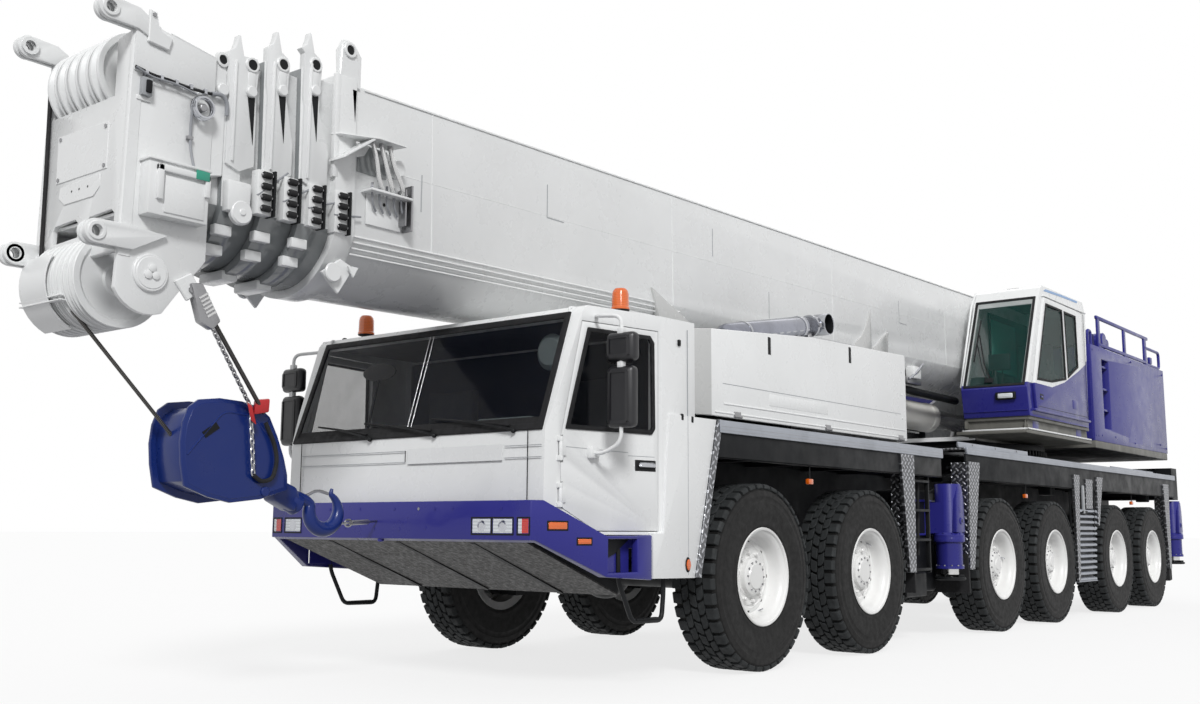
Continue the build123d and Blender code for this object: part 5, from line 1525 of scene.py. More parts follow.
@dataclass
class EngineBay:
    """White hood with latches and beads, and the chrome silencer that lies on it."""

    half: float = 1.350
    groove_z: float = 2.099
    mouth_face: float = 0.952
    mouth_bore: float = 0.0875

    def build(self) -> None:
        """Make the hood and the silencer."""
        self.hood()
        self.silencer()

    def hood(self) -> None:
        """Hood shell, side latches, beads, grilles and hinges."""
        parts = [from_frame("engine_hood", "hood_shell", WHITE, 0.014, 3)]
        # The hood's slanted front corners are painted a darker grey: painted shade.
        recolour(
            parts[0], CORNER_SHADE,
            lambda centre, normal: normal.x > 0.2 and 0.3 < abs(normal.y) < 0.97 and abs(centre.y) > 1.1,
        )
        for s in (1, -1):
            def side_block(
                name: str, x0: float, x1: float, z0: float, z1: float, proud: float, finish: Finish,
                bevel: float = 0.002,
            ) -> Piece:
                """A block on the hood's side face."""
                return block(
                    name, spot(x0, s * (self.half - 0.004), z0), spot(x1, s * (self.half + proud), z1), finish, bevel,
                )
            for station, z in ((-0.363, 2.459), (-1.722, 2.540)):
                parts.append(side_block(
                    "latch_slot", station - 0.022, station + 0.022, z - 0.070, z + 0.070, 0.0015, SOOT, 0.006,
                ))
                parts.append(side_block(
                    "latch_lip", station - 0.028, station - 0.022, z - 0.075, z + 0.075, 0.004, WHITE, 0.002,
                ))
            # The grey strip along the groove is painted shade in it.
            parts.append(side_block(
                "groove", -2.716, 0.313, self.groove_z - 0.003, self.groove_z + 0.003, 0.0008, GREY, 0.0005,
            ))
            parts.append(side_block("bead", -2.80, 0.304, 1.944, 1.956, 0.006, WHITE, 0.004))
            parts.append(side_block("bead", -2.80, 0.42, 1.876, 1.888, 0.006, WHITE, 0.004))
            parts.append(side_block("name_blank", -1.30, -0.35, 1.985, 2.075, 0.002, WHITE, 0.002))
            for station in (0.117, -1.295, -2.70):
                parts.append(side_block(
                    "hinge_leaf", station - 0.045, station + 0.045, 1.856, 1.900, 0.008, ZINC, 0.003,
                ))
                parts.append(pipe(
                    "hinge_pin", [spot(station - 0.05, s * 1.360, 1.862), spot(station + 0.05, s * 1.360, 1.862)],
                    0.009, ZINC, 0,
                ))
            for step in range(3):
                parts.append(side_block(
                    "hood_bolt", -2.76, -2.74, 2.05 + 0.22 * step, 2.07 + 0.22 * step, 0.005, WHITE, 0.005,
                ))
        slat = block("grille_slat", spot(-2.846, -1.20, 2.00), spot(-2.836, -0.70, 2.02), SOOT, 0.003)
        slats = row(slat, 9, (0, 0, 0.055))
        parts += [slats, mirrored(slats, "grille_slat")]
        for y in (-0.95, 0.2):
            parts.append(block("bay_grille", spot(-2.1, y, 2.397), spot(-0.4, y + 0.10, 2.404), SOOT, 0.002))
        fit("hood_piece", "carrier", parts, ["engine_hood"])

    def silencer(self) -> None:
        """Slanted silencer with clamp bands, and a tail pipe whose mouth faces left."""
        start, stop = spot(-0.30, 0.95, 2.572), spot(-1.915, 0.95, 2.872)
        length = (stop - start).length
        shell = turned(
            "silencer_shell",
            [
                (0, 0.0), (0.060, 0.004), (0.084, 0.03), (0.094, 0.07), (0.097, 0.50), (0.097, length - 0.36),
                (0.090, length - 0.33), (0.084, length - 0.32), (0.084, length - 0.10), (0.070, length), (0, length),
            ],
            (0, 0, 0), Along.Z, STAINED, 40,
        )
        parts = [shell]
        for z in (0.30, length - 0.42, length - 0.20):
            parts.append(turned(
                "band", [(0.080, z), (0.1005, z + 0.003), (0.1005, z + 0.030), (0.080, z + 0.034)], (0, 0, 0), Along.Z,
                CHROME, 32,
            ))
        parts.append(block("band_bolt", (0.095, -0.02, length - 0.205), (0.118, 0.02, length - 0.165), ZINC, 0.004))
        for line in range(6):
            slot_piece = block("shield_slot", (0.093, -0.007, 0.42), (0.0995, 0.007, 0.49), CHROME, 0.003)
            parts.append(row(slot_piece, 8, (0, 0, 0.115)))
            parts[-1].data.transform(Matrix.Rotation(math.radians(20 + 28 * line), 4, "Z"))
        whole = joined("silencer", parts)
        along = (stop - start).normalized()
        laid(whole, start, (0, 1, 0), Vector((0, 1, 0)).cross(along) * -1)
        mouth = turned(
            "tail_mouth",
            [
                (0, -0.095), (0.055, -0.092), (0.086, -0.072), (0.098, -0.040), (0.098, 0.100), (0.096, 0.106),
                (0.090, 0.106), (0.087, 0.098), (0.084, 0.010), (0, 0.004),
            ],
            stop, Along.Y, CHROME, 40,
        )
        recolour(mouth, SOOT, lambda centre, normal: (
            centre.y > self.mouth_face and math.hypot(centre.x - stop.x, centre.z - stop.z) < self.mouth_bore))
        inlet = [
            drum("inlet_pipe", 0.058, 2.40, 2.62, spot(-0.62, 0.95, 0), Along.Z, CHROME, 0.004, 28),
            drum("inlet_flange", 0.078, 2.42, 2.44, spot(-0.62, 0.95, 0), Along.Z, ZINC, 0.004, 28),
            plate(
                "tail_stay", traced((-1.70, 2.60), (-1.62, 2.60), (-1.64, 2.80), (-1.68, 2.80)), Along.Y, 0.90, 1.00,
                ZINC, 0.004,
            ),
        ]
        fit("exhaust_piece", "carrier", [whole, mouth, *inlet], ["exhaust_silencer"], 40)


# ------------------------------------------------------------------ deck, panels and outriggers


def both_sides(pieces: Sequence[Piece]) -> list[Piece]:
    """The pieces of the left side, with their copies on the right."""
    return [*pieces, *(mirrored(piece, piece.name) for piece in pieces)]


def arc(centre: Flat, radius: float, start: float, stop: float, count: int = 10) -> list[Flat]:
    """Flat points round an arc, its angles in degrees."""
    angles = [math.radians(start + (stop - start) * i / (count - 1)) for i in range(count)]
    return [(centre[0] + radius * math.cos(a), centre[1] + radius * math.sin(a)) for a in angles]


@dataclass
class Decks:
    """Walkway decks on both sides, with their edge strips, fascias and tread-plate panels."""

    half: float = 1.500
    front: tuple[float, float] = (0.575, -3.30)
    rear: tuple[float, float] = (-3.90, -11.75)
    panels: tuple[tuple[float, float, float, float, float], ...] = (
        (-2.370, -2.650, -2.630, -2.500, 0.655), (-3.920, -4.210, -3.985, -3.875, 0.650),
        (-11.080, -11.365, -11.300, -11.205, 0.500),
    )
    end_half: float = 1.44

    def build(self) -> None:
        """Make the decks, the panels and the small fittings under them."""
        self.decks()
        self.skirts()
        self.ribs()
        self.hanging()

    def decks(self) -> None:
        """Deck sheets with a ribbed bright edge over a black fascia."""
        left = []
        for (front, rear), strip_z, top_z in ((self.front, (1.712, 1.802), 1.802), (self.rear, (1.782, 1.850), 1.850)):
            strip = block(
                "edge_strip", spot(rear, self.half - 0.030, strip_z[0]), spot(front, self.half - 0.0005, strip_z[1]),
                DECK, 0.004,
            )
            left.append(strip)
            for z in (strip_z[0] + 0.020, strip_z[0] + 0.045):
                left.append(block(
                    "edge_rib", spot(rear + 0.01, self.half - 0.006, z - 0.002),
                    spot(front - 0.01, self.half, z + 0.002), ZINC, 0.001, 1,
                ))
            left.append(block(
                "fascia", spot(rear + 0.005, self.half - 0.045, 1.530),
                spot(front - 0.005, self.half - 0.020, strip_z[0] + 0.004), SOOT, 0.004,
            ))
            left.append(block(
                "fascia_lip", spot(rear + 0.005, self.half - 0.085, 1.530),
                spot(front - 0.005, self.half - 0.020, 1.542), SOOT, 0.003,
            ))
            inner = 1.36 if front > 0 else 0.96
            left.append(block(
                "deck_sheet", spot(rear + 0.005, inner - 0.02, top_z - 0.022),
                spot(front - 0.005, self.half - 0.028, top_z - 0.001), TREAD_TOP, 0.003,
            ))
            left.append(block(
                "deck_inside", spot(rear + 0.005, inner - 0.02, 1.62), spot(front - 0.005, inner, top_z - 0.01), SOOT,
                0.004,
            ))
        for front, rear, z in ((-3.77, -5.69, 1.90), (-8.77, -10.72, 1.87)):
            left.append(block(
                "raised_edge", spot(rear, self.half - 0.060, 1.845), spot(front, self.half - 0.035, z), DECK, 0.004,
            ))
            for share in (0.18, 0.5, 0.82):
                left.append(bolt(
                    "edge_bolt", spot(rear + (front - rear) * share, self.half - 0.035, z - 0.018), Along.Y, 1, ZINC,
                    0.010, 0.006,
                ))
        for station in (-0.2, -1.6, -2.9, -4.4, -6.2, -8.0, -9.8, -11.4):
            left.append(block(
                "gusset", spot(station - 0.012, 1.38, 1.54), spot(station + 0.012, self.half - 0.040, 1.74), SOOT,
                0.004,
            ))
        centre = [
            block("deck_centre", spot(-3.28, -0.62, 1.835), spot(0.55, 0.62, 1.846), TREAD_TOP, 0.003),
            block("deck_centre", spot(-6.5, -0.98, 1.835), spot(-3.92, 0.98, 1.846), TREAD_TOP, 0.003),
            block("deck_centre", spot(-11.74, -0.98, 1.835), spot(-8.70, 0.98, 1.846), TREAD_TOP, 0.003),
            block("deck_end", spot(-11.76, -self.end_half, 1.55), spot(-11.74, self.end_half, 1.78), SOOT, 0.004),
            block("deck_front", spot(0.55, -self.end_half, 1.55), spot(0.57, self.end_half, 1.79), SOOT, 0.004),
        ]
        fit("deck_piece", "carrier", both_sides(left) + centre, ["deck_plates"])

    def skirts(self) -> None:
        """Slanted tread-plate panels with folded edges and dark bolts."""
        left = []
        for top_front, top_rear, low_rear, low_front, low in self.panels:
            outline = traced((top_front, 1.71), (top_rear, 1.71), (low_rear, low), (low_front, low))
            left.append(plate("skirt", outline, Along.Y, self.half - 0.030, self.half - 0.001, TREAD, 0.002))
            left.append(plate(
                "skirt_fold",
                [
                    (self.half - 0.17, low + 0.02), (self.half - 0.004, low), (self.half - 0.004, 1.70),
                    (self.half - 0.17, 1.70),
                ],
                Along.X, at(low_front) - 0.004, at(low_front), TREAD_END, 0.001,
            ))
            for share in (0.12, 0.5, 0.88):
                x = at(top_front) * (1 - share) + at(low_front) * share - 0.030
                left.append(bolt(
                    "skirt_bolt", (x, self.half - 0.003, 1.71 * (1 - share) + low * share), Along.Y, 1, SOOT, 0.009,
                    0.0028,
                ))
        flaps = (
            (traced((-11.345, 0.86), (-11.21, 0.86), (-11.225, 0.327), (-11.35, 0.340)), self.half - 0.17),
            (traced((-2.66, 0.80), (-2.62, 0.80), (-2.64, 0.47), (-2.66, 0.47)), 1.10),
            (traced((-3.90, 0.80), (-3.86, 0.80), (-3.88, 0.42), (-3.91, 0.42)), 1.10),
        )
        for outline, inner in flaps:
            left.append(plate("flap", outline, Along.Y, inner, self.half - 0.020, HOSE, 0.004))
        left += [
            plate("gap_box", oblong(at(-3.15), 0.42, at(-2.70), 0.64), Along.Y, 0.92, 1.36, SOOT, 0.01),
            block("gap_tank", spot(-3.78, 0.80, 0.44), spot(-3.22, 1.18, 1.42), SOOT, 0.03, 3),
        ]
        fit("skirt_panels", "carrier", both_sides(left))

    def ribs(self) -> None:
        """Middle panel between the rear axles: tread plate round a dark recess over ribbed steps."""
        y = self.half
        left = [
            plate(
                "panel_front", traced((-7.125, 1.70), (-7.33, 1.70), (-7.20, 0.45), (-7.135, 0.43)), Along.Y, y - 0.030,
                y - 0.001, TREAD, 0.002,
            ),
            plate(
                "panel_rear", traced((-8.00, 1.70), (-8.24, 1.70), (-8.03, 1.10), (-7.985, 1.10)), Along.Y, y - 0.030,
                y - 0.001, TREAD, 0.002,
            ),
            plate(
                "panel_middle", traced((-7.58, 1.66), (-7.84, 1.66), (-7.80, 1.30), (-7.55, 1.30)), Along.Y, y - 0.034,
                y - 0.006, TREAD, 0.002,
            ),
            # A black sheet at the back of the recess: painted shade in it.
            plate(
                "panel_back", traced((-7.13, 1.70), (-8.02, 1.70), (-7.84, 0.44), (-7.14, 0.44)), Along.Y, y - 0.080,
                y - 0.060, SOOT, 0.002,
            ),
            block("panel_handle", spot(-7.50, y - 0.03, 1.24), spot(-7.44, y - 0.003, 1.58), GREY, 0.008),
            block("panel_latch", spot(-7.60, y - 0.03, 1.245), spot(-7.40, y - 0.006, 1.275), SOOT, 0.006),
            pipe(
                "panel_hose", [spot(-7.90, y - 0.020, 1.62), spot(-7.88, y - 0.015, 1.30), spot(-7.83, y - 0.02, 0.98)],
                0.010, SOOT, 0.04,
            ),
        ]
        for count in range(13):
            z = 0.462 + 0.068 * count
            share = (z - 0.44) / 1.26
            rear = -7.825 - 0.20 * share - 0.02
            left.append(plate(
                "rib", [(y - 0.052, z - 0.024), (y - 0.010, z - 0.018), (y - 0.010, z + 0.006), (y - 0.052, z + 0.020)],
                Along.X, at(rear), at(-7.19 - 0.01 * share), DECK, 0.004,
            ))
        left.append(block("rib_frame", spot(-7.86, y - 0.056, 0.428), spot(-7.135, y - 0.008, 0.440), DECK, 0.003))
        left.append(block("rib_break", spot(-7.90, y - 0.052, 1.045), spot(-7.16, y - 0.006, 1.062), DECK, 0.003))
        fit("ribbed_steps", "carrier", both_sides(left))

    def hanging(self) -> None:
        """Marker lamps hanging under the fascia and pipes beneath the deck."""
        left = []
        for station in (-0.778, -5.585, -9.60):
            left.append(pipe(
                "lamp_stalk", [spot(station, self.half - 0.045, 1.54), spot(station, self.half - 0.045, 1.43)], 0.006,
                SOOT, 0,
            ))
            left.append(block(
                "lamp", spot(station - 0.035, self.half - 0.065, 1.385), spot(station + 0.035, self.half - 0.028, 1.43),
                ORANGE, 0.008,
            ))
        for z, y in ((1.60, 1.30), (1.66, 1.24)):
            left.append(pipe("deck_pipe", [spot(0.4, y, z), spot(-3.2, y, z)], 0.016, SOOT, 0))
            left.append(pipe("deck_pipe", [spot(-4.0, y, z), spot(-11.5, y, z)], 0.016, SOOT, 0))
        for station in (-4.15, -6.95, -11.0):
            left.append(block("valve", spot(station - 0.08, 1.15, 1.45), spot(station + 0.08, 1.30, 1.60), SOOT, 0.012))
        left.append(pipe(
            "fuel_strap", [spot(-3.0, 1.37, 1.60), spot(-3.0, 1.36, 1.20), spot(-3.02, 1.34, 0.80)], 0.014, HOSE, 0.1,
        ))
        fit("deck_fittings", "carrier", both_sides(left))
        rear = []
        for y in (-1.15, 1.15):
            for step, finish in enumerate((CRIMSON, ORANGE, CRIMSON, CLEAR)):
                start = y - 0.20 + 0.10 * step
                rear.append(block(
                    "tail_lamp", spot(-12.105, start, 1.56), spot(-12.092, start + 0.09, 1.66), finish, 0.006,
                ))
            rear.append(block("tail_plate", spot(-12.098, y - 0.24, 1.54), spot(-12.085, y + 0.24, 1.68), SOOT, 0.004))
        rear.append(plate(
            "number_blank", oblong(-0.26, 1.56, 0.26, 1.68), Along.X, at(-12.102), at(-12.096), WHITE, 0.002,
        ))
        fit("tail_lamps", "carrier", rear)


@dataclass
class Legs:
    """Four outrigger legs: blue casings with a bolted collar, bright rams and feet."""

    half_y: float = 1.360
    casing_radius: float = 0.1245
    flange_radius: float = 0.149

    def leg(self, pair: str, side: Side) -> None:
        """One leg on its beam, and its ram on the jack.

        Args:
            pair: Front or rear.
            side: The machine's side.
        """
        jack = f"outrigger_jack_{pair}_{side.word}"
        low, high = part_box(jack)
        x, y = (low[0] + high[0]) / 2, side.value * self.half_y
        centre = (x, y, 0)
        profile = [
            (0.0, 1.476), (0.090, 1.476), (0.098, 1.468), (0.110, 1.380), (self.casing_radius, 1.340),
            (self.casing_radius, 1.010), (0.134, 1.000), (self.flange_radius, 0.985), (self.flange_radius, 0.925),
            (0.134, 0.915), (self.casing_radius, 0.912), (self.casing_radius, 0.690), (0.136, 0.688), (0.136, 0.662),
            (0.0865, 0.661), (0.0865, 0.80),
        ]
        casing = turned("casing", profile, centre, Along.Z, BLUE, 40)
        out = side.value
        name = f"outrigger_{pair}_{side.word}"
        beam = f"outrigger_beam_{pair}_{side.word}"
        parts = [from_frame(beam, name, BLUE, 0.006), casing]
        parts.append(plate(
            "cheek",
            [
                (x - 0.105, 1.01), (x + 0.105, 1.01), (x + 0.085, 1.33), (x + 0.045, 1.462), (x - 0.045, 1.462),
                (x - 0.085, 1.33),
            ],
            Along.Y, *sorted((y + out * 0.075, y + out * 0.1275)), BLUE, 0.010, 2,
        ))
        parts.append(drum("boss", 0.034, *sorted((out * 0.10, out * 0.1385)), (x, y, 1.121), Along.Y, BLUE, 0.006))
        parts.append(drum("boss_cap", 0.018, *sorted((out * 0.136, out * 0.1392)), (x, y, 1.121), Along.Y, SOOT, 0.002))
        flange = ring(
            bolt("flange_bolt", (x + 0.126, y, 0.688), Along.Z, 1, ZINC, 0.010, 0.010), "flange_bolt", 12, centre,
            Along.Z,
        )
        collar = ring(
            bolt("collar_bolt", (x + 0.1375, y, 0.998), Along.Z, 1, BLUE, 0.008, 0.008), "collar_bolt", 10, centre,
            Along.Z,
        )
        parts += [flange, collar]
        parts.append(plate(
            "head_lug", [(x - 0.040, 1.44), (x + 0.040, 1.44), (x + 0.028, 1.478), (x - 0.028, 1.478)], Along.Y,
            y - 0.05, y + 0.05, BLUE, 0.006,
        ))
        parts.append(block(
            "label_blank", (x - 0.045, y + out * 0.127, 1.20), (x + 0.045, y + out * 0.1285, 1.26), BLUE, 0.001,
        ))
        parts.append(pipe(
            "leg_hose",
            [(x + 0.05, y - out * 0.10, 1.44), (x + 0.09, y - out * 0.22, 1.36), (x + 0.05, y - out * 0.30, 1.16)],
            0.011, HOSE, 0.08,
        ))
        fit(name + "_leg", beam, parts, [beam])
        foot = turned(
            "foot",
            [
                (0.0, 0.5505), (0.138, 0.5505), (self.flange_radius, 0.560), (self.flange_radius, 0.574),
                (0.140, 0.582), (0.060, 0.590), (0.055, 0.598), (0.084, 0.606), (0.084, 1.40), (0.0, 1.40),
            ],
            centre, Along.Z, STEEL, 36,
        )
        recolour(foot, SOOT, lambda centre_, normal: centre_.z < 0.603)
        pads = ring(
            block("foot_rib", (x + 0.058, y - 0.005, 0.580), (x + 0.135, y + 0.005, 0.604), SOOT, 0.002), "foot_rib", 6,
            centre, Along.Z,
        )
        fit(name + "_foot", jack, [foot, pads], [jack])

    def build(self) -> None:
        """Make every leg."""
        for pair in ("front", "rear"):
            for side in Side:
                self.leg(pair, side)
        self.boxes()

    def boxes(self) -> None:
        """Ends of the transverse boxes that the beams slide in."""
        parts = [from_frame("outrigger_boxes", "leg_boxes", BLUE, 0.006)]
        low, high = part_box("outrigger_boxes")
        parts.append(block(
            "box_strap", (low[0] + 0.05, -0.6, low[2] + 0.02), (low[0] + 0.12, 0.6, high[2] + 0.005), SOOT, 0.004,
        ))
        fit("leg_boxes", "carrier", parts, ["outrigger_boxes"])


# ------------------------------------------------------------------ boom


@dataclass
class BoomLine:
    """The boom's own axes: how far along from the foot pin, across, and above its middle line."""

    pivot: Point = (-10.0, 0.0, 3.350)
    slope: float = -1.0
    half: float = 0.470
    section_step: float = 0.024
    collar_fronts: tuple[float, ...] = (3.278, 3.533, 3.778, 4.023)
    bores: tuple[Flat, ...] = ((3.457, 3.796), (3.675, 3.737), (3.871, 3.679))

    def point(self, along: float, y: float, up: float) -> Vector:
        """A point from boom measures."""
        lean = math.radians(self.slope)
        return spot(
            self.pivot[0] + along * math.cos(lean) - up * math.sin(lean), y,
            self.pivot[2] + along * math.sin(lean) + up * math.cos(lean),
        )

    def centre_z(self, station: float) -> float:
        """Height of the middle line at a station."""
        return self.pivot[2] + (station - self.pivot[0]) * math.tan(math.radians(self.slope))

    def rail(
        self, name: str, start: float, stop: float, y: float, low: float, high: float, thick: float, finish: Finish,
    ) -> Piece:
        """A strip along the boom's side, its height given above the middle line."""
        corners = [
            self.point(start, 0, low), self.point(stop, 0, low), self.point(stop, 0, high), self.point(start, 0, high),
        ]
        return plate(
            name, [(c.x, c.z) for c in corners], Along.Y, *sorted((y, y + math.copysign(thick, y))), finish, 0.002,
        )


@dataclass
class BoomTube(BoomLine):
    """The base and the four telescoping sections, with collars, fins, rollers and weld marks."""

    horn_shifts: tuple[Flat, ...] = ((0.0, 0.0), (0.0, 0.0), (0.045, -0.035))
    trim_rise: float = 0.672
    side_face: float = 0.466
    rollers: tuple[float, ...] = (3.235, 3.430, 3.610, 3.790)
    roller_face: float = 0.508
    end_disc: Point = (3.925, 0.450, 2.783)
    ear_eye: Point = (3.195, 0.483, 3.975)

    def build(self) -> None:
        """Dress the base and the four inner sections."""
        self.base()
        for index in range(1, 5):
            self.section(index)

    def cheek(self, index: int) -> list[Piece]:
        """Side plates of one collar, with its bore, boss and rollers.

        Args:
            index: 0 for the base section, up to 3.

        Returns:
            The pieces on both sides.
        """
        front = self.collar_fronts[index]
        y = self.half - self.section_step * index
        left = []
        if index:
            (bx, bz), (lead, rise) = self.bores[index - 1], self.horn_shifts[index - 1]
            outline = [
                (front - 0.008, 3.06), (front - 0.008, 3.52), (front + 0.004, 3.58), (front + 0.004, bz + rise + 0.055),
                (bx + lead + 0.108, bz + rise + 0.080), (bx + lead + 0.070, bz + rise + 0.110),
                (bx + lead + 0.054, bz + rise + 0.160), (bx + lead + 0.050, bz + rise + 0.193),
                (bx + lead + 0.038, bz + rise + 0.190), (bx + lead + 0.010, bz + rise + 0.075),
                (bx - 0.036, bz + 0.050), (bx - 0.050, bz - 0.02), (bx - 0.040, 3.52), (front - 0.196, 3.27),
                (front - 0.196, 3.08), (front - 0.10, 3.03),
            ]
            left.append(plate("cheek", traced(*outline), Along.Y, y - 0.008, y + 0.044, WHITE, 0.005, 2))
            left.append(plate(
                "cheek_rib",
                traced((front - 0.050, 3.08), (front - 0.050, bz), (front - 0.036, bz), (front - 0.036, 3.08)), Along.Y,
                y + 0.04, y + 0.058, WHITE, 0.005, 2,
            ))
            left.append(turned(
                "bore_ring",
                [(0.030, 0.0), (0.046, 0.0), (0.046, 0.008), (0.042, 0.012), (0.032, 0.012), (0.030, 0.004)],
                spot(bx, y + 0.043, bz), Along.Y, WHITE, 28,
            ))
            # A black disc fills the bore: painted shade inside it.
            left.append(drum("bore", 0.032, 0.0, 0.008, spot(bx, y + 0.043, bz), Along.Y, SOOT, 0.001, 28))
            left.append(drum(
                "boss", 0.034, 0.0, 0.030, spot(bx + 0.004, y + 0.042, bz - 0.165), Along.Y, WHITE, 0.006, 28,
            ))
            left.append(block(
                "boss_plate", spot(bx - 0.024, y + 0.040, bz - 0.150), spot(bx + 0.026, y + 0.052, bz - 0.045), WHITE,
                0.008,
            ))
            # A black triangle on the cheek: painted shade of the slot between collars.
            left.append(plate(
                "slot", traced((bx + 0.022, bz - 0.190), (bx - 0.028, bz - 0.190), (bx - 0.026, bz - 0.475)), Along.Y,
                y + 0.040, y + 0.0462, SOOT, 0.0,
            ))
        roller_x, face = self.rollers[index], self.roller_face
        left.append(block(
            "roller_plate", spot(roller_x - 0.050, 0.44, 2.795), spot(roller_x + 0.050, face, 3.055), WHITE, 0.004,
        ))
        left.append(block(
            "roller_edge", spot(roller_x - 0.062, 0.45, 2.790), spot(roller_x - 0.046, face + 0.022, 3.060), SOOT,
            0.004,
        ))
        for z in (2.83, 2.895, 2.96, 3.025):
            left.append(drum("roller", 0.020, -0.030, 0.026, spot(roller_x, face + 0.012, z), Along.X, HOSE, 0.005, 16))
            left.append(drum(
                "roller_pin", 0.008, -0.042, 0.036, spot(roller_x, face + 0.012, z), Along.X, ZINC, 0.002, 12,
            ))
        left.append(pipe(
            "roller_rope", [spot(roller_x - 0.16, 0.497, 2.93 + 0.05 * index), spot(roller_x + 0.05, 0.505, 2.90)],
            0.006, CABLE, 0,
        ))
        return both_sides(left)

    def base(self) -> None:
        """The outer section: ear plates, ridges, fins, the hose bracket and weld marks."""
        parts = [from_frame("boom_base", "boom_base_shell", WHITE, 0.012, 3)]
        parts += self.cheek(0)
        left = []
        for up, y, tail in (
            (-0.316, 0.4695, 9.72), (-0.352, 0.463, 9.60), (-0.388, 0.453, 9.52), (-0.424, 0.440, 9.46),
        ):
            left.append(pipe("ridge", [self.point(tail, y, up), self.point(13.12, y, up)], 0.007, WHITE, 0))
        for station, z, run in (
            (-4.638, 3.435, -1), (-1.846, 3.10, 0), (1.30, 3.42, -1), (-0.90, 3.52, 0), (-6.9, 3.60, -1),
            (2.55, 3.20, 0),
        ):
            left.append(block(
                "mark", spot(station - 0.004, self.side_face, z - 0.125), spot(station + 0.004, 0.4725, z + 0.125),
                GREY, 0.001, 1,
            ))
            if run:
                left.append(block(
                    "mark", spot(station - 0.190, self.side_face, z - 0.129), spot(station, 0.4725, z - 0.121), GREY,
                    0.001, 1,
                ))
        left.append(self.rail("long_weld", 1.2, 13.1, 0.4685, 0.150, 0.156, 0.003, WHITE))
        for start in (12.45, 9.7, 6.9, 4.1):
            left.append(self.rail("butt_weld", start, start + 0.010, 0.4685, -0.31, 0.64, 0.003, WHITE))
        ear = arc((at(self.ear_eye[0]), self.ear_eye[2]), 0.062, 150, 20, 10)
        left.append(plate(
            "ear_face", [(at(3.100), 3.745), *ear, (at(3.268), 3.745)], Along.Y, 0.462, 0.484, WHITE, 0.004,
        ))
        left.append(turned(
            "ear_ring", [(0.030, 0.0), (0.050, 0.0), (0.050, 0.010), (0.046, 0.014), (0.032, 0.014), (0.030, 0.004)],
            spot(*self.ear_eye), Along.Y, WHITE, 28,
        ))
        # A black disc fills the ear's hole: painted shade inside it.
        left.append(drum("ear_hole", 0.031, 0.0, 0.006, spot(*self.ear_eye), Along.Y, SOOT, 0.001, 28))
        left.append(plate(
            "ear_gusset", traced((3.135, 3.73), (3.175, 3.73), (3.150, 3.52), (3.140, 3.52)), Along.Y, self.side_face,
            0.496, WHITE, 0.004,
        ))
        left.append(block("ear_band", spot(3.262, 0.462, 3.14), spot(3.300, 0.498, 3.80), WHITE, 0.006))
        left.append(block("side_marker", spot(3.150, self.side_face, 3.420), spot(3.205, 0.482, 3.452), ORANGE, 0.006))
        left.append(drum("jaw_boss", 0.060, 0.0, 0.02, spot(3.237, 0.440, 2.560), Along.Y, WHITE, 0.006))
        left.append(plate(
            "lift_lug", traced((3.17, 2.44), (3.30, 2.56), (3.16, 2.66), (3.05, 2.62)), Along.Y, 0.400, 0.424, WHITE,
            0.005,
        ))
        left.append(plate(
            "tri_lug", traced((3.13, 2.62), (3.04, 2.62), (3.08, 2.55)), Along.Y, 0.44, 0.456, WHITE, 0.004,
        ))
        parts += both_sides(left)
        parts += self.hose_bracket()
        parts += self.gussets()
        fit("boom_base_shell", "boom", parts, ["boom_base"])

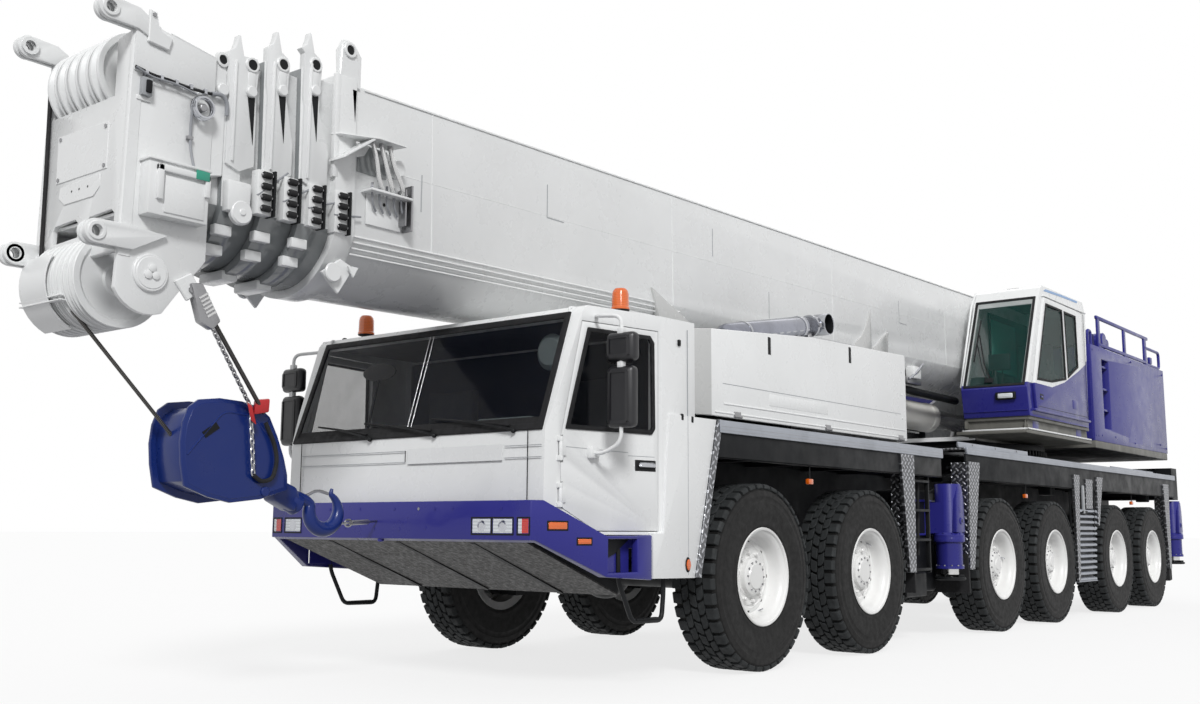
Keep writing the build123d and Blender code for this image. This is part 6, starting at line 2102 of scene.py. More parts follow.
    def hose_bracket(self) -> list[Piece]:
        """Folded hood over three bent tubes, with a bolted bracket under it."""
        y = self.half
        parts = [
            plate(
                "hood_top",
                traced(
                    (3.31, y), (3.09, y + 0.02), (2.86, y + 0.02), (2.84, y + 0.17), (3.06, y + 0.17), (3.28, y + 0.06),
                ),
                Along.Z, 3.405, 3.413, WHITE, 0.002,
            ),
            plate(
                "hood_front", traced((3.315, 3.230), (3.315, 3.245), (3.085, 3.412), (3.075, 3.40)), Along.Y, y,
                y + 0.15, WHITE, 0.002,
            ),
            plate(
                "hood_side", traced((3.31, 3.235), (3.09, 3.41), (3.00, 3.41), (3.05, 3.33)), Along.Y, y + 0.004,
                y + 0.012, WHITE, 0.002,
            ),
        ]
        for count, x in enumerate((3.04, 2.97, 2.90)):
            parts.append(pipe(
                "bracket_tube",
                [
                    spot(x + 0.02, y + 0.10, 3.40), spot(x, y + 0.12, 3.28),
                    spot(x - 0.04 - 0.03 * count, y + 0.10, 3.16),
                    spot(x - 0.14, y + 0.05, 3.10),
                ],
                0.015, STEEL, 0.07,
            ))
            parts.append(drum("tube_nut", 0.017, 3.385, 3.412, spot(x + 0.02, y + 0.10, 0), Along.Z, ZINC, 0.003, 6))
        parts += [
            # The inside of the hose hood is painted shade.
            block("hood_inside_shade", spot(2.86, y + 0.001, 3.22), spot(3.10, y + 0.008, 3.40), SHADE, 0.002),
            block("bracket_plate", spot(2.74, y + 0.002, 2.90), spot(3.02, y + 0.016, 3.12), WHITE, 0.003),
            block("bracket_top", spot(2.72, y, 3.095), spot(3.06, y + 0.11, 3.110), WHITE, 0.003),
            block("bracket_rib", spot(2.70, y, 2.90), spot(2.715, y + 0.09, 3.20), ZINC, 0.003),
            block("bracket_rib", spot(2.745, y, 2.93), spot(2.757, y + 0.08, 3.17), ZINC, 0.003),
            # A black disc for the bracket's hole: painted shade inside it.
            drum("bracket_hole", 0.012, 0.0, 0.003, spot(2.88, y + 0.0145, 3.05), Along.Y, SOOT, 0.001, 16),
            turned(
                "hose_drum",
                [
                    (0, 0), (0.060, 0.0), (0.062, 0.02), (0.03, 0.03), (0.03, 0.05), (0.05, 0.055), (0.05, 0.062),
                    (0, 0.064),
                ],
                spot(2.80, y, 3.30), Along.Y, WHITE, 28,
            ),
        ]
        for x in (2.78, 2.84, 2.90, 2.96, 3.02):
            parts.append(turned(
                "fitting", [(0, 0), (0.014, 0.0), (0.014, 0.018), (0.009, 0.022), (0.009, 0.050), (0, 0.052)],
                spot(x, y + 0.06, 3.108), Along.Z, CHROME, 6,
            ))
            parts.append(pipe(
                "fitting_hose",
                [spot(x, y + 0.06, 3.10), spot(x - 0.01, y + 0.055, 3.03), spot(x - 0.06, y + 0.03, 2.99)], 0.007,
                CABLE, 0.04,
            ))
        return parts

    def gussets(self) -> list[Piece]:
        """Swept fins low on the sides, over the luffing cylinder's lugs and near the turntable."""
        left = []
        fins = (
            [
                (-3.897, 3.338), (-3.915, 3.330), (-3.925, 2.860), (-3.540, 2.860), (-3.560, 2.960), (-3.700, 3.040),
                (-3.800, 3.150), (-3.860, 3.250),
            ],
            [
                (-4.323, 3.166), (-4.338, 3.158), (-4.300, 2.860), (-3.960, 2.860), (-3.975, 2.955), (-4.080, 3.010),
                (-4.160, 3.080), (-4.250, 3.130),
            ],
        )
        # The fins and the ridge end are painted a mid grey: painted shade on their faces.
        for outline in fins:
            left.append(plate("fin", traced(*outline), Along.Y, 0.440, 0.484, CORNER_SHADE, 0.006, 2))
        left.append(plate(
            "ridge_end", traced((0.022, 2.975), (-0.100, 2.700), (-0.559, 2.735)), Along.Y, 0.440, 0.490, CORNER_SHADE, 0.006,
            2,
        ))
        left += [
            block("valve_block", spot(-5.12, 0.40, 2.72), spot(-4.92, 0.50, 2.86), WHITE, 0.012),
            block("valve_foot", spot(-5.20, 0.38, 2.66), spot(-4.84, 0.46, 2.73), ZINC, 0.008),
            pipe(
                "valve_pipe", [spot(-4.85, 0.47, 2.70), spot(-5.00, 0.51, 2.80), spot(-5.16, 0.50, 2.90)], 0.014,
                CHROME, 0.05,
            ),
            # A thick black pipe under the boom stands in for the boom's shadow there: painted shadow.
            pipe(
                "boom_shadow_pipe", [spot(-4.60, 0.36, 2.615), spot(-5.3, 0.36, 2.600), spot(-6.4, 0.36, 2.590)], 0.045, SOOT,
                0.0,
            ),
        ]
        left.append(self.rail("rope_rail", 1.3, 13.05, 0.470, 0.628, 0.640, 0.008, WHITE))
        for along in (12.7, 10.9, 9.1, 7.3, 5.5, 3.7):
            left.append(block(
                "top_guide", self.point(along, 0.16, 0.645), self.point(along + 0.05, 0.30, 0.70), WHITE, 0.006,
            ))
        top = [pipe("top_pipe", [self.point(1.5, 0.36, 0.662), self.point(12.9, 0.36, 0.662)], 0.014, CHROME, 0),
               pipe("top_pipe", [self.point(1.5, -0.33, 0.662), self.point(12.9, -0.33, 0.662)], 0.010, CABLE, 0)]
        return both_sides(left) + top

    def section(self, index: int) -> None:
        """One inner section with its collar."""
        node = f"boom_section_{index}"
        parts = [from_frame(node, node + "_shell", WHITE, 0.008, 2)]
        if index < 4:
            front = self.collar_fronts[index]
            with editing(parts[0]):
                top = self.centre_z(front) + self.trim_rise - self.section_step * index
                bpy.ops.mesh.bisect(plane_co=spot(front, 0, top), plane_no=(0, 0, 1), clear_outer=True, use_fill=True)
        # The undersides and the low front of each section are painted a dark grey: painted shade.
        recolour(parts[0], SHADE, lambda centre, normal: normal.z < -0.12 or (centre.z < 2.93 and centre.x > at(3.2)))
        if index < 4:
            parts += self.cheek(index)
            y = self.half - self.section_step * index
            left = []
            for up, inset in ((-0.42, 0.030), (-0.52, 0.11)):
                z = self.centre_z(front) + up
                left.append(block(
                    "wear_pad", spot(front - 0.10, y - inset - 0.02, z - 0.03),
                    spot(front + 0.012, y - inset + 0.03, z + 0.03), WHITE, 0.006,
                ))
            if index == 3:
                left.append(drum("end_disc", 0.072, 0.0, 0.045, spot(*self.end_disc), Along.Y, WHITE, 0.010, 32))
                left.append(drum("end_disc_pin", 0.020, 0.0, 0.052, spot(*self.end_disc), Along.Y, WHITE, 0.004, 20))
                left.append(block("end_arm", spot(3.87, 0.43, 2.78), spot(4.02, 0.49, 2.96), WHITE, 0.01))
            parts += both_sides(left)
            parts += [block(
                "under_pad", spot(front - 0.10, -0.12, self.centre_z(front) - 0.69 + self.section_step * index),
                spot(front + 0.01, 0.12, self.centre_z(front) - 0.63 + self.section_step * index), WHITE, 0.012,
            )]
        else:
            left = [
                plate(
                    "neck_plate", traced((4.026, 2.98), (4.026, 3.60), (4.112, 3.62), (4.112, 2.96)), Along.Y, 0.380,
                    0.432, WHITE, 0.006,
                ),
                turned(
                    "bore_ring", [(0.026, 0.0), (0.042, 0.0), (0.042, 0.010), (0.028, 0.012), (0.026, 0.004)],
                    spot(4.062, 0.431, 3.655), Along.Y, WHITE, 28,
                ),
                plate(
                    "neck_ear", traced((4.028, 3.55), (4.040, 3.70), (4.085, 3.70), (4.108, 3.62), (4.108, 3.55)),
                    Along.Y, 0.392, 0.430, WHITE, 0.006,
                ),
                # A black disc fills the bore: painted shade inside it.
                drum("bore", 0.028, 0.0, 0.006, spot(4.062, 0.431, 3.655), Along.Y, SOOT, 0.001, 28),
                drum("boss", 0.036, 0.0, 0.028, spot(4.060, 0.431, 3.475), Along.Y, WHITE, 0.006, 28),
            ]
            parts += both_sides(left)
        fit(node + "_shell", f"section_{index}", parts, [node])


@dataclass
class BoomNose:
    """Boom head: side plates, sheaves above and below, jib lugs, the side box and its cables."""

    half: float = 0.440
    sheaves: tuple[float, float, float] = (4.441, 2.354, 0.265)
    upper: tuple[float, float, float] = (4.430, 3.500, 0.245)
    front_half: float = 0.412
    lug_station: float = 4.765
    lug_radius: float = 0.064
    lug_bore: float = 0.0305

    def sheave(self, radius: float, thick: float) -> Piece:
        """One rope sheave round the origin: dished face, deep groove, hub."""
        h = thick / 2
        half = [
            (0.050, h * 0.96), (0.085, h * 0.96), (0.095, h * 0.55), (radius * 0.55, h * 0.30),
            (radius * 0.80, h * 0.42), (radius * 0.86, h * 0.88), (radius * 0.985, h * 0.92), (radius, h * 0.78),
            (radius * 0.992, h * 0.55), (radius - 0.030, h * 0.24), (radius - 0.036, 0.0),
        ]
        profile = half + [(r, -y) for r, y in reversed(half[:-1])]
        return turned("sheave", profile, (0, 0, 0), Along.Y, WHITE, 56)

    def build(self) -> None:
        """Make the head's body, sheaves, lugs and side fittings."""
        parts = self.shell() + self.wheels() + self.lugs() + self.fittings()
        fit("boom_head_shell", "section_4", parts, ["boom_head"], 30)

    def shell(self) -> list[Piece]:
        """Side plates, front plate with its windows, rear plate and guard."""
        outline = [
            (4.110, 3.640), (4.400, 3.690), (4.610, 3.735), (4.622, 3.0), (4.630, 2.400),
            *arc((4.441, 2.354), 0.222, -28, -112, 8), (4.230, 2.325), (4.145, 2.425), (4.110, 2.475),
        ]
        left = [
            plate("side", traced(*outline), Along.Y, self.half - 0.030, self.half, WHITE, 0.004, 2),
            plate(
                "side_top", traced((4.113, 3.432), (4.605, 3.430), (4.608, 3.733), (4.400, 3.688), (4.113, 3.638)),
                Along.Y, self.half, self.half + 0.014, WHITE, 0.004, 2,
            ),
            plate(
                "side_fold", traced((4.560, 2.42), (4.628, 2.42), (4.608, 3.72), (4.545, 3.70)), Along.Y,
                self.half - 0.002, self.half + 0.004, WHITE, 0.003,
            ),
        ]
        body = both_sides(left)
        front = plate(
            "front",
            [
                (-self.front_half, 2.55), (self.front_half, 2.55), (self.front_half, 3.66), (0.272, 3.64),
                (0.272, 3.322), (-self.front_half, 3.322),
            ],
            Along.X, at(4.578), at(4.606), WHITE, 0.0,
        )
        for y0, y1 in ((-0.300, -0.030), (0.070, 0.340)):
            cutter = plate(
                "window", [(y0, 2.575), (y1, 2.585), (y1, 2.665), (y1 - 0.03, 2.690), (y0 + 0.02, 2.680), (y0, 2.655)],
                Along.X, at(4.5), at(4.7), WHITE, 0.0,
            )
            cut(front, cutter)
        body.append(soften(front, 0.005))
        x = at(4.606)
        body += [
            plate(
                "bolted_plate", [(-0.295, 2.925), (0.240, 2.925), (0.235, 3.188), (-0.300, 3.203)], Along.X, x - 0.002,
                x + 0.005, WHITE, 0.002,
            ),
            plate(
                "hexagon",
                [(-0.240, 2.898), (-0.252, 2.835), (-0.185, 2.790), (0.120, 2.790), (0.180, 2.835), (0.178, 2.905)],
                Along.X, x - 0.002, x + 0.006, WHITE, 0.002,
            ),
            plate(
                "under_windows", [(-0.40, 2.540), (0.40, 2.540), (0.38, 2.455), (-0.30, 2.445)], Along.X, x - 0.03,
                x + 0.004, WHITE, 0.006,
            ),
            block("sill", (x - 0.02, -0.40, 2.435), (x + 0.055, 0.05, 2.452), WHITE, 0.004),
            block("back", spot(4.110, -0.410, 2.52), spot(4.138, 0.410, 3.63), WHITE, 0.004),
            block("floor", spot(4.14, -0.41, 2.66), spot(4.58, 0.41, 2.68), WHITE, 0.004),
        ]
        for y, z in ((-0.27, 3.18), (0.21, 3.165), (0.215, 2.945), (-0.27, 2.945)):
            body.append(bolt("plate_bolt", (x + 0.005, y, z), Along.X, 1, ZINC, 0.012, 0.006))
        # Black discs for the vents: painted shade inside the openings.
        for y in (-0.11, -0.03, 0.06):
            body.append(drum("vent", 0.007, 0.005, 0.0068, (x, y, 2.855), Along.X, SOOT, 0.0005, 12))
        guard = arc((at(4.441), 2.354), 0.284, 30, -66, 12) + arc((at(4.441), 2.354), 0.276, -66, 30, 12)
        body.append(plate("sheave_guard", guard, Along.Y, -0.405, -0.120, WHITE, 0.001))
        for z in (2.250, 2.225):
            body.append(block("guard_lip", (at(4.60), -0.43, z - 0.004), (at(4.705), 0.02, z + 0.004), WHITE, 0.003))
        return body

    def wheels(self) -> list[Piece]:
        """Both sheave packs on their pins."""
        parts = []
        for (x, z, radius), first, pitch, count in ((self.sheaves, -0.360, 0.0600, 9), (self.upper, -0.300, 0.113, 5)):
            one = self.sheave(radius, pitch * 0.92)
            for index in range(count):
                parts.append(copied(one, "sheave", Matrix.Translation(spot(x, first + pitch * index, z))))
            bpy.data.objects.remove(one)
            parts.append(drum("sheave_pin", 0.052, -0.43, 0.43, spot(x, 0, z), Along.Y, STEEL, 0.004))
        x, z, _ = self.sheaves
        for s in (1, -1):
            centre = spot(x, s * self.half, z)
            parts.append(turned(
                "pin_disc",
                [
                    (0, 0), (0.102, 0.0), (0.102, s * 0.012), (0.096, s * 0.018), (0.088, s * 0.018),
                    (0.084, s * 0.022), (0, s * 0.022),
                ],
                centre, Along.Y, WHITE, 40,
            ))
            for angle in (90, 210, 330):
                a = math.radians(angle)
                parts.append(turned(
                    "disc_bolt", [(0, 0), (0.022, 0), (0.022, s * 0.008), (0.012, s * 0.012), (0, s * 0.012)],
                    centre + Vector((0.026 * math.cos(a), s * 0.022, 0.026 * math.sin(a))), Along.Y, WHITE, 20,
                ))
        x, z, _ = self.upper
        parts.append(turned(
            "hub_cone", [(0.05, 0.0), (0.13, 0.0), (0.075, 0.06), (0.065, 0.13), (0.05, 0.13)], spot(x, 0.205, z),
            Along.Y, WHITE, 40,
        ))
        return parts

    def lugs(self) -> list[Piece]:
        """Four jib lugs with bored round ends."""
        left = []
        for z, tail in ((3.720, [(4.600, 3.655), (4.470, 3.600), (4.470, 3.700), (4.600, 3.772)]),
                        (2.520, [(4.560, 2.456), (4.362, 2.566), (4.600, 2.585)])):
            top, bottom = (86, -104) if z > 3 else (92, -90)
            rim = arc((self.lug_station, z), self.lug_radius, bottom, top, 16)
            outline = [*rim, *reversed(tail)]
            for low, high in ((0.400, 0.424), (0.442, 0.468)) if z > 3 else ((0.384, 0.404), (0.441, 0.470)):
                lug = plate("lug", traced(*outline), Along.Y, low, high, WHITE, 0.0)
                hole = drum(
                    "hole", self.lug_bore, low - 0.02, high + 0.02, spot(self.lug_station, 0, z), Along.Y, WHITE, 0.001,
                    32,
                )
                left.append(soften(cut(lug, hole), 0.004, 2))
            left.append(turned(
                "lug_bush",
                [(0.0300, 0.384), (0.050, 0.384), (0.050, 0.474), (0.046, 0.478), (0.032, 0.478), (0.0300, 0.476)],
                spot(self.lug_station, 0, z), Along.Y, WHITE, 32,
            ))
        return both_sides(left)

    def fittings(self) -> list[Piece]:
        """Side box, cable coil, cable run, top bracket, edge rope and wedge socket."""
        y = self.half
        box = [
            block("side_box", spot(4.172, y, 2.652), spot(4.530, y + 0.095, 2.950), WHITE, 0.006),
            block("box_lid", spot(4.165, y, 2.944), spot(4.540, y + 0.108, 2.958), WHITE, 0.003),
            block("box_frame", spot(4.455, y + 0.09, 2.735), spot(4.490, y + 0.116, 2.925), WHITE, 0.005),
            block("box_frame", spot(4.175, y + 0.09, 2.890), spot(4.490, y + 0.116, 2.925), WHITE, 0.005),
            block("box_frame", spot(4.175, y + 0.09, 2.800), spot(4.205, y + 0.116, 2.925), WHITE, 0.005),
            block("box_panel", spot(4.200, y + 0.094, 2.672), spot(4.440, y + 0.102, 2.872), WHITE, 0.003),
            block("box_badge", spot(4.185, y + 0.112, 2.888), spot(4.268, y + 0.1195, 2.940), GREEN, 0.003),
        ]
        coil_centre = spot(4.205, y + 0.030, 3.318)
        coil = []
        for count in range(4):
            radius = 0.062 - 0.004 * (count % 2)
            points = [
                coil_centre + Vector((radius * math.cos(a), 0.011 * count, radius * math.sin(a)))
                for a in [i * math.tau / 20 for i in range(20)]
            ]
            coil.append(pipe("coil", points, 0.008, CHROME, 0, 2, closed=True))
        coil.append(drum("coil_core", 0.022, -0.03, 0.03, coil_centre, Along.Y, ZINC, 0.004, 20))
        coil.append(pipe(
            "drop_cable",
            [
                coil_centre + Vector((0.06, 0.01, -0.01)), spot(4.258, y + 0.018, 3.22), spot(4.252, y + 0.016, 3.08),
                spot(4.240, y + 0.05, 2.955),
            ],
            0.008, CABLE, 0.05,
        ))
        coil.append(block("cable_clip", spot(4.240, y, 3.13), spot(4.275, y + 0.026, 3.15), ZINC, 0.003))
        line = [
            pipe(
                "line_cable",
                [
                    spot(4.604, y + 0.020, 3.445), spot(4.50, y + 0.022, 3.425), spot(4.40, y + 0.022, 3.428),
                    spot(4.28, y + 0.022, 3.415), spot(4.115, y + 0.022, 3.425),
                ],
                0.008, HOSE, 0.06,
            ),
            pipe(
                "line_cable",
                [
                    spot(4.604, y + 0.032, 3.44), spot(4.52, y + 0.034, 3.408), spot(4.36, y + 0.034, 3.412),
                    spot(4.24, y + 0.034, 3.39),
                ],
                0.006, CABLE, 0.06,
            ),
            pipe(
                "goose_neck",
                [
                    spot(4.14, y + 0.022, 3.425), spot(4.07, y + 0.022, 3.44), spot(4.035, y + 0.020, 3.40),
                    spot(4.030, y + 0.010, 3.33),
                ],
                0.012, CABLE, 0.05,
            ),
            block("switch", spot(4.505, y, 3.30), spot(4.565, y + 0.035, 3.40), GREY, 0.005),
            block("switch_cap", spot(4.515, y + 0.03, 3.315), spot(4.545, y + 0.048, 3.385), SOOT, 0.004),
            block("switch_foot", spot(4.50, y, 3.275), spot(4.58, y + 0.010, 3.30), WHITE, 0.003),
        ]
        for station in (4.54, 4.45, 4.36, 4.27, 4.18):
            line.append(block(
                "line_clip", spot(station - 0.010, y, 3.412), spot(station + 0.010, y + 0.030, 3.440), CHROME, 0.003,
            ))
        top = [
            plate(
                "top_bracket",
                traced((4.545, 3.60), (4.420, 3.585), (4.400, 3.66), (4.480, 3.685), (4.500, 3.775), (4.545, 3.785)),
                Along.Y, y + 0.013, y + 0.034, WHITE, 0.005,
            ),
            bolt("bracket_bolt", spot(4.522, y + 0.034, 3.755), Along.Y, 1, ZINC, 0.011, 0.010),
            pipe("top_edge", [spot(4.40, y + 0.006, 3.692), spot(4.115, y + 0.006, 3.642)], 0.008, WHITE, 0),
        ]
        rope = pipe(
            "edge_rope",
            [spot(4.59, -0.418, 3.66), spot(4.625, -0.405, 3.58), spot(4.625, -0.385, 3.0), spot(4.628, -0.366, 2.46)],
            0.012, HOSE, 0.05,
        )
        socket = [
            plate(
                "socket_fork", traced((4.30, 2.335), (4.20, 2.395), (4.135, 2.300), (4.22, 2.235)), Along.Y, y - 0.004,
                y + 0.018, WHITE, 0.006,
            ),
            bolt("socket_bolt", spot(4.200, y + 0.018, 2.300), Along.Y, 1, ZINC, 0.018, 0.014),
            plate(
                "wedge_socket", traced((4.215, 2.335), (4.140, 2.345), (4.015, 2.150), (4.065, 2.095), (4.145, 2.130)),
                Along.Y, y - 0.020, y + 0.040, ZINC, 0.012, 2,
            ),
            row(
                plate(
                    "socket_ribs", traced((4.165, 2.262), (4.115, 2.297), (4.108, 2.286), (4.158, 2.251)), Along.Y,
                    y + 0.036, y + 0.046, STEEL, 0.002,
                ),
                6, (-0.011, 0, -0.019),
            ),
        ]
        return box + coil + line + top + [rope] + socket


@dataclass
class HookTackle:
    """Blue hook block, its hook, the taut falls, the chain and the lashing."""

    fall_foot: Flat = (3.840, 1.400)
    middle: Flat = (3.70, 1.46)
    sheave: Flat = (4.441, 2.354)
    seat: float = 0.252
    cheek_face: float = 0.168

    def build(self) -> None:
        """Make the block, the hook and everything taut."""
        self.block_body()
        self.rigging()

    def shrunk(self, outline: Sequence[Flat], long: float, tall: float) -> list[Flat]:
        """The cheek's outline, drawn in towards the block's middle."""
        x0, z0 = self.middle
        return traced(*((x0 + (x - x0) * long, z0 + (z - z0) * tall) for x, z in outline))

    def block_body(self) -> None:
        """Two cheek plates round a sheave, a swivel and a hook with its latch."""
        outline = [
            (3.925, 1.745), (3.985, 1.700), (4.018, 1.610), (4.029, 1.500), (4.018, 1.380), (3.990, 1.250),
            (3.840, 1.195), (3.690, 1.165), (3.480, 1.190), (3.290, 1.250), (3.296, 1.340), (3.325, 1.440),
            (3.380, 1.570), (3.440, 1.680), (3.520, 1.735), (3.640, 1.758), (3.790, 1.764),
        ]
        left = [
            plate("cheek", traced(*outline), Along.Y, 0.142, self.cheek_face, HOOK, 0.006, 2),
            plate("cheek_edge", self.shrunk(outline, 0.93, 0.93), Along.Y, 0.164, 0.170, HOOK, 0.003),
            pipe(
                "cheek_bead",
                [
                    spot(3.985, self.cheek_face, 1.430), spot(3.760, self.cheek_face, 1.690),
                    spot(3.560, self.cheek_face, 1.675), spot(3.440, self.cheek_face, 1.560),
                ],
                0.006, HOOK, 0.05,
            ),
            plate(
                "label_blank", traced((3.900, 1.560), (3.810, 1.622), (3.785, 1.590), (3.875, 1.528)), Along.Y, 0.166,
                0.1735, SOOT, 0.001,
            ),
            turned(
                "pin_head", [(0, 0.164), (0.030, 0.164), (0.030, 0.176), (0.024, 0.180), (0, 0.180)],
                spot(3.455, 0, 1.235), Along.Y, HOOK, 24,
            ),
        ]
        for x, z in ((3.93, 1.68), (3.98, 1.50), (3.95, 1.29), (3.70, 1.205), (3.36, 1.30), (3.47, 1.66)):
            left.append(bolt("cheek_bolt", spot(x, 0.1675, z), Along.Y, 1, HOOK, 0.018, 0.0024))
        body = both_sides(left)
        body.append(plate("core", self.shrunk(outline, 0.90, 0.86), Along.Y, -0.144, 0.144, HOOK, 0.01, 2))
        for y in (-0.09, -0.03, 0.03, 0.09):
            body.append(turned(
                "block_sheave",
                [
                    (0.05, -0.022), (0.225, -0.024), (0.245, -0.020), (0.218, 0.0), (0.245, 0.020), (0.225, 0.024),
                    (0.05, 0.022),
                ],
                spot(3.72, y, 1.46), Along.Y, SOOT, 40,
            ))
        body += [
            plate(
                "yoke", traced((3.330, 1.345), (3.300, 1.190), (3.150, 1.120), (3.105, 1.190), (3.140, 1.270)), Along.Y,
                -0.068, 0.068, HOOK, 0.02, 3,
            ),
            turned(
                "swivel_nut", [(0, -0.06), (0.062, -0.06), (0.070, -0.05), (0.070, 0.02), (0.055, 0.05), (0, 0.05)],
                (0, 0, 0), Along.X, HOOK, 28,
            ),
        ]
        body[-1].data.transform(Matrix.Translation(spot(3.14, 0, 1.190)) @ Matrix.Rotation(math.radians(-28), 4, "Y"))
        body.append(self.hook())
        body.append(pipe(
            "latch", [spot(3.020, 0, 1.225), spot(2.94, 0, 1.262), spot(2.850, 0, 1.240)], 0.010, ZINC, 0.04,
        ))
        fit("hook_block_body", "section_4", body, ["hook_block"], 30)

    def hook(self) -> Piece:
        """A forged hook: thick round its bowl, thin at its tip."""
        centre, bowl = Vector((2.880, 1.130)), 0.117
        angles = [math.radians(a) for a in (22, 5, -15, -36, -58, -80, -102, -124, -146, -168, -190, -212, -232, -246)]
        path = [Vector((3.130, 1.225)), Vector((3.060, 1.210))]
        line = [(p, 0.036) for p in path]
        for index, a in enumerate(angles):
            share = index / (len(angles) - 1)
            width = 0.036 + 0.014 * math.sin(math.pi * min(1.0, share * 1.25)) - 0.020 * max(0.0, share - 0.72) / 0.28
            line.append((centre + Vector((math.cos(a), math.sin(a))) * bowl, width))
        tip = centre + Vector((math.cos(angles[-1]), math.sin(angles[-1]))) * bowl
        line.append((tip + Vector((-0.012, 0.035)), 0.010))
        clear_choice()
        curve = bpy.data.curves.new("hook", "CURVE")
        curve.dimensions = "3D"
        spline = curve.splines.new("NURBS")
        spline.points.add(len(line) - 1)
        for point, (flat, width) in zip(spline.points, line):
            point.co = (at(flat.x), 0.0, flat.y, 1)
            point.radius = width / 0.034
        spline.order_u, spline.use_endpoint_u = 3, True
        return thickened("hook", curve, 0.033, 5, HOOK)

    def link(self, start: Vector, stop: Vector, turned_round: bool, radius: float = 0.0055) -> Piece:
        """One chain link between two points."""
        along = (stop - start)
        length, along = along.length, along.normalized()
        side = along.cross(Vector((0, 1, 0))).normalized()
        if turned_round:
            side = along.cross(side).normalized()
        middle, half, wide = (start + stop) / 2, length * 0.66, length * 0.36
        points = []
        for i in range(12):
            a = i * math.tau / 12
            points.append(
                middle + along * half * math.copysign(abs(math.cos(a)) ** 0.7, math.cos(a)) + side * wide * math.sin(a)
            )
        return pipe("link", points, radius, ZINC, 0, 0, closed=True)

    def rigging(self) -> None:
        """One rope fall, the chain with its tag, the sling and the lashing turnbuckle."""
        start = spot(self.fall_foot[0], 0, self.fall_foot[1])
        foot, centre = (Vector((x, 0, z)) for x, z in (self.fall_foot, self.sheave))
        span = (centre - foot).length
        lean = math.atan2(centre.z - foot.z, centre.x - foot.x) - math.asin(self.seat / span)
        length = math.sqrt(span**2 - self.seat**2)
        parts = [pipe("fall", [start, start + Vector((math.cos(lean), 0, math.sin(lean))) * length], 0.011, ROPE, 0, 3)]
        top, bottom = spot(4.045, 0.450, 2.145), spot(3.500, 0.185, 1.700)
        parts.append(pipe("pendant", [top, bottom], 0.013, ROPE, 0))
        for start, stop, links in (
            (spot(4.080, 0.470, 2.130), spot(3.600, 0.200, 1.720), 22),
            (spot(3.600, 0.200, 1.720), spot(3.560, 0.195, 1.330), 13),
        ):
            for index in range(links):
                a, b = (start + (stop - start) * (i / links) for i in (index, index + 1))
                parts.append(self.link(a, b, index % 2 == 1))
        parts.append(plate(
            "tag", [(-0.050, -0.040), (0.045, -0.045), (0.050, 0.035), (-0.040, 0.045)], Along.Z, -0.018, 0.022, RED,
            0.010, 2,
        ))
        laid(parts[-1], spot(3.535, 0.205, 1.735), (-0.9, 0.3, 0.25), (0.1, 0.1, 1))
        parts.append(plate(
            "tag_clip", [(-0.020, -0.055), (0.020, -0.055), (0.018, 0.060), (-0.018, 0.060)], Along.Z, 0.010, 0.032,
            RED, 0.006, 2,
        ))
        laid(parts[-1], spot(3.600, 0.210, 1.690), (-0.7, 0.3, -0.55), (0.4, 0.1, 1))
        loop = [
            spot(3.560, 0.192, 1.330), spot(3.500, 0.192, 1.290), spot(3.420, 0.192, 1.310), spot(3.395, 0.195, 1.42),
            spot(3.420, 0.195, 1.52), spot(3.490, 0.195, 1.640),
        ]
        parts.append(pipe("sling", loop, 0.013, HOSE, 0.06))
        anchor, eye = spot(2.335, -0.12, 1.070), spot(2.790, 0.0, 1.050)
        mid_low, mid_high = anchor + (eye - anchor) * 0.22, anchor + (eye - anchor) * 0.62
        parts.append(pipe("lashing_rod", [anchor, eye], 0.008, ZINC, 0))
        parts.append(pipe("lashing_body", [mid_low, mid_high], 0.017, ZINC, 0))
        for index in range(3):
            a, b = (mid_high + (eye - mid_high) * (i / 3) for i in (index, index + 1))
            parts.append(self.link(a, b, index % 2 == 1, 0.007))
        fit("hook_rigging", "section_4", parts)


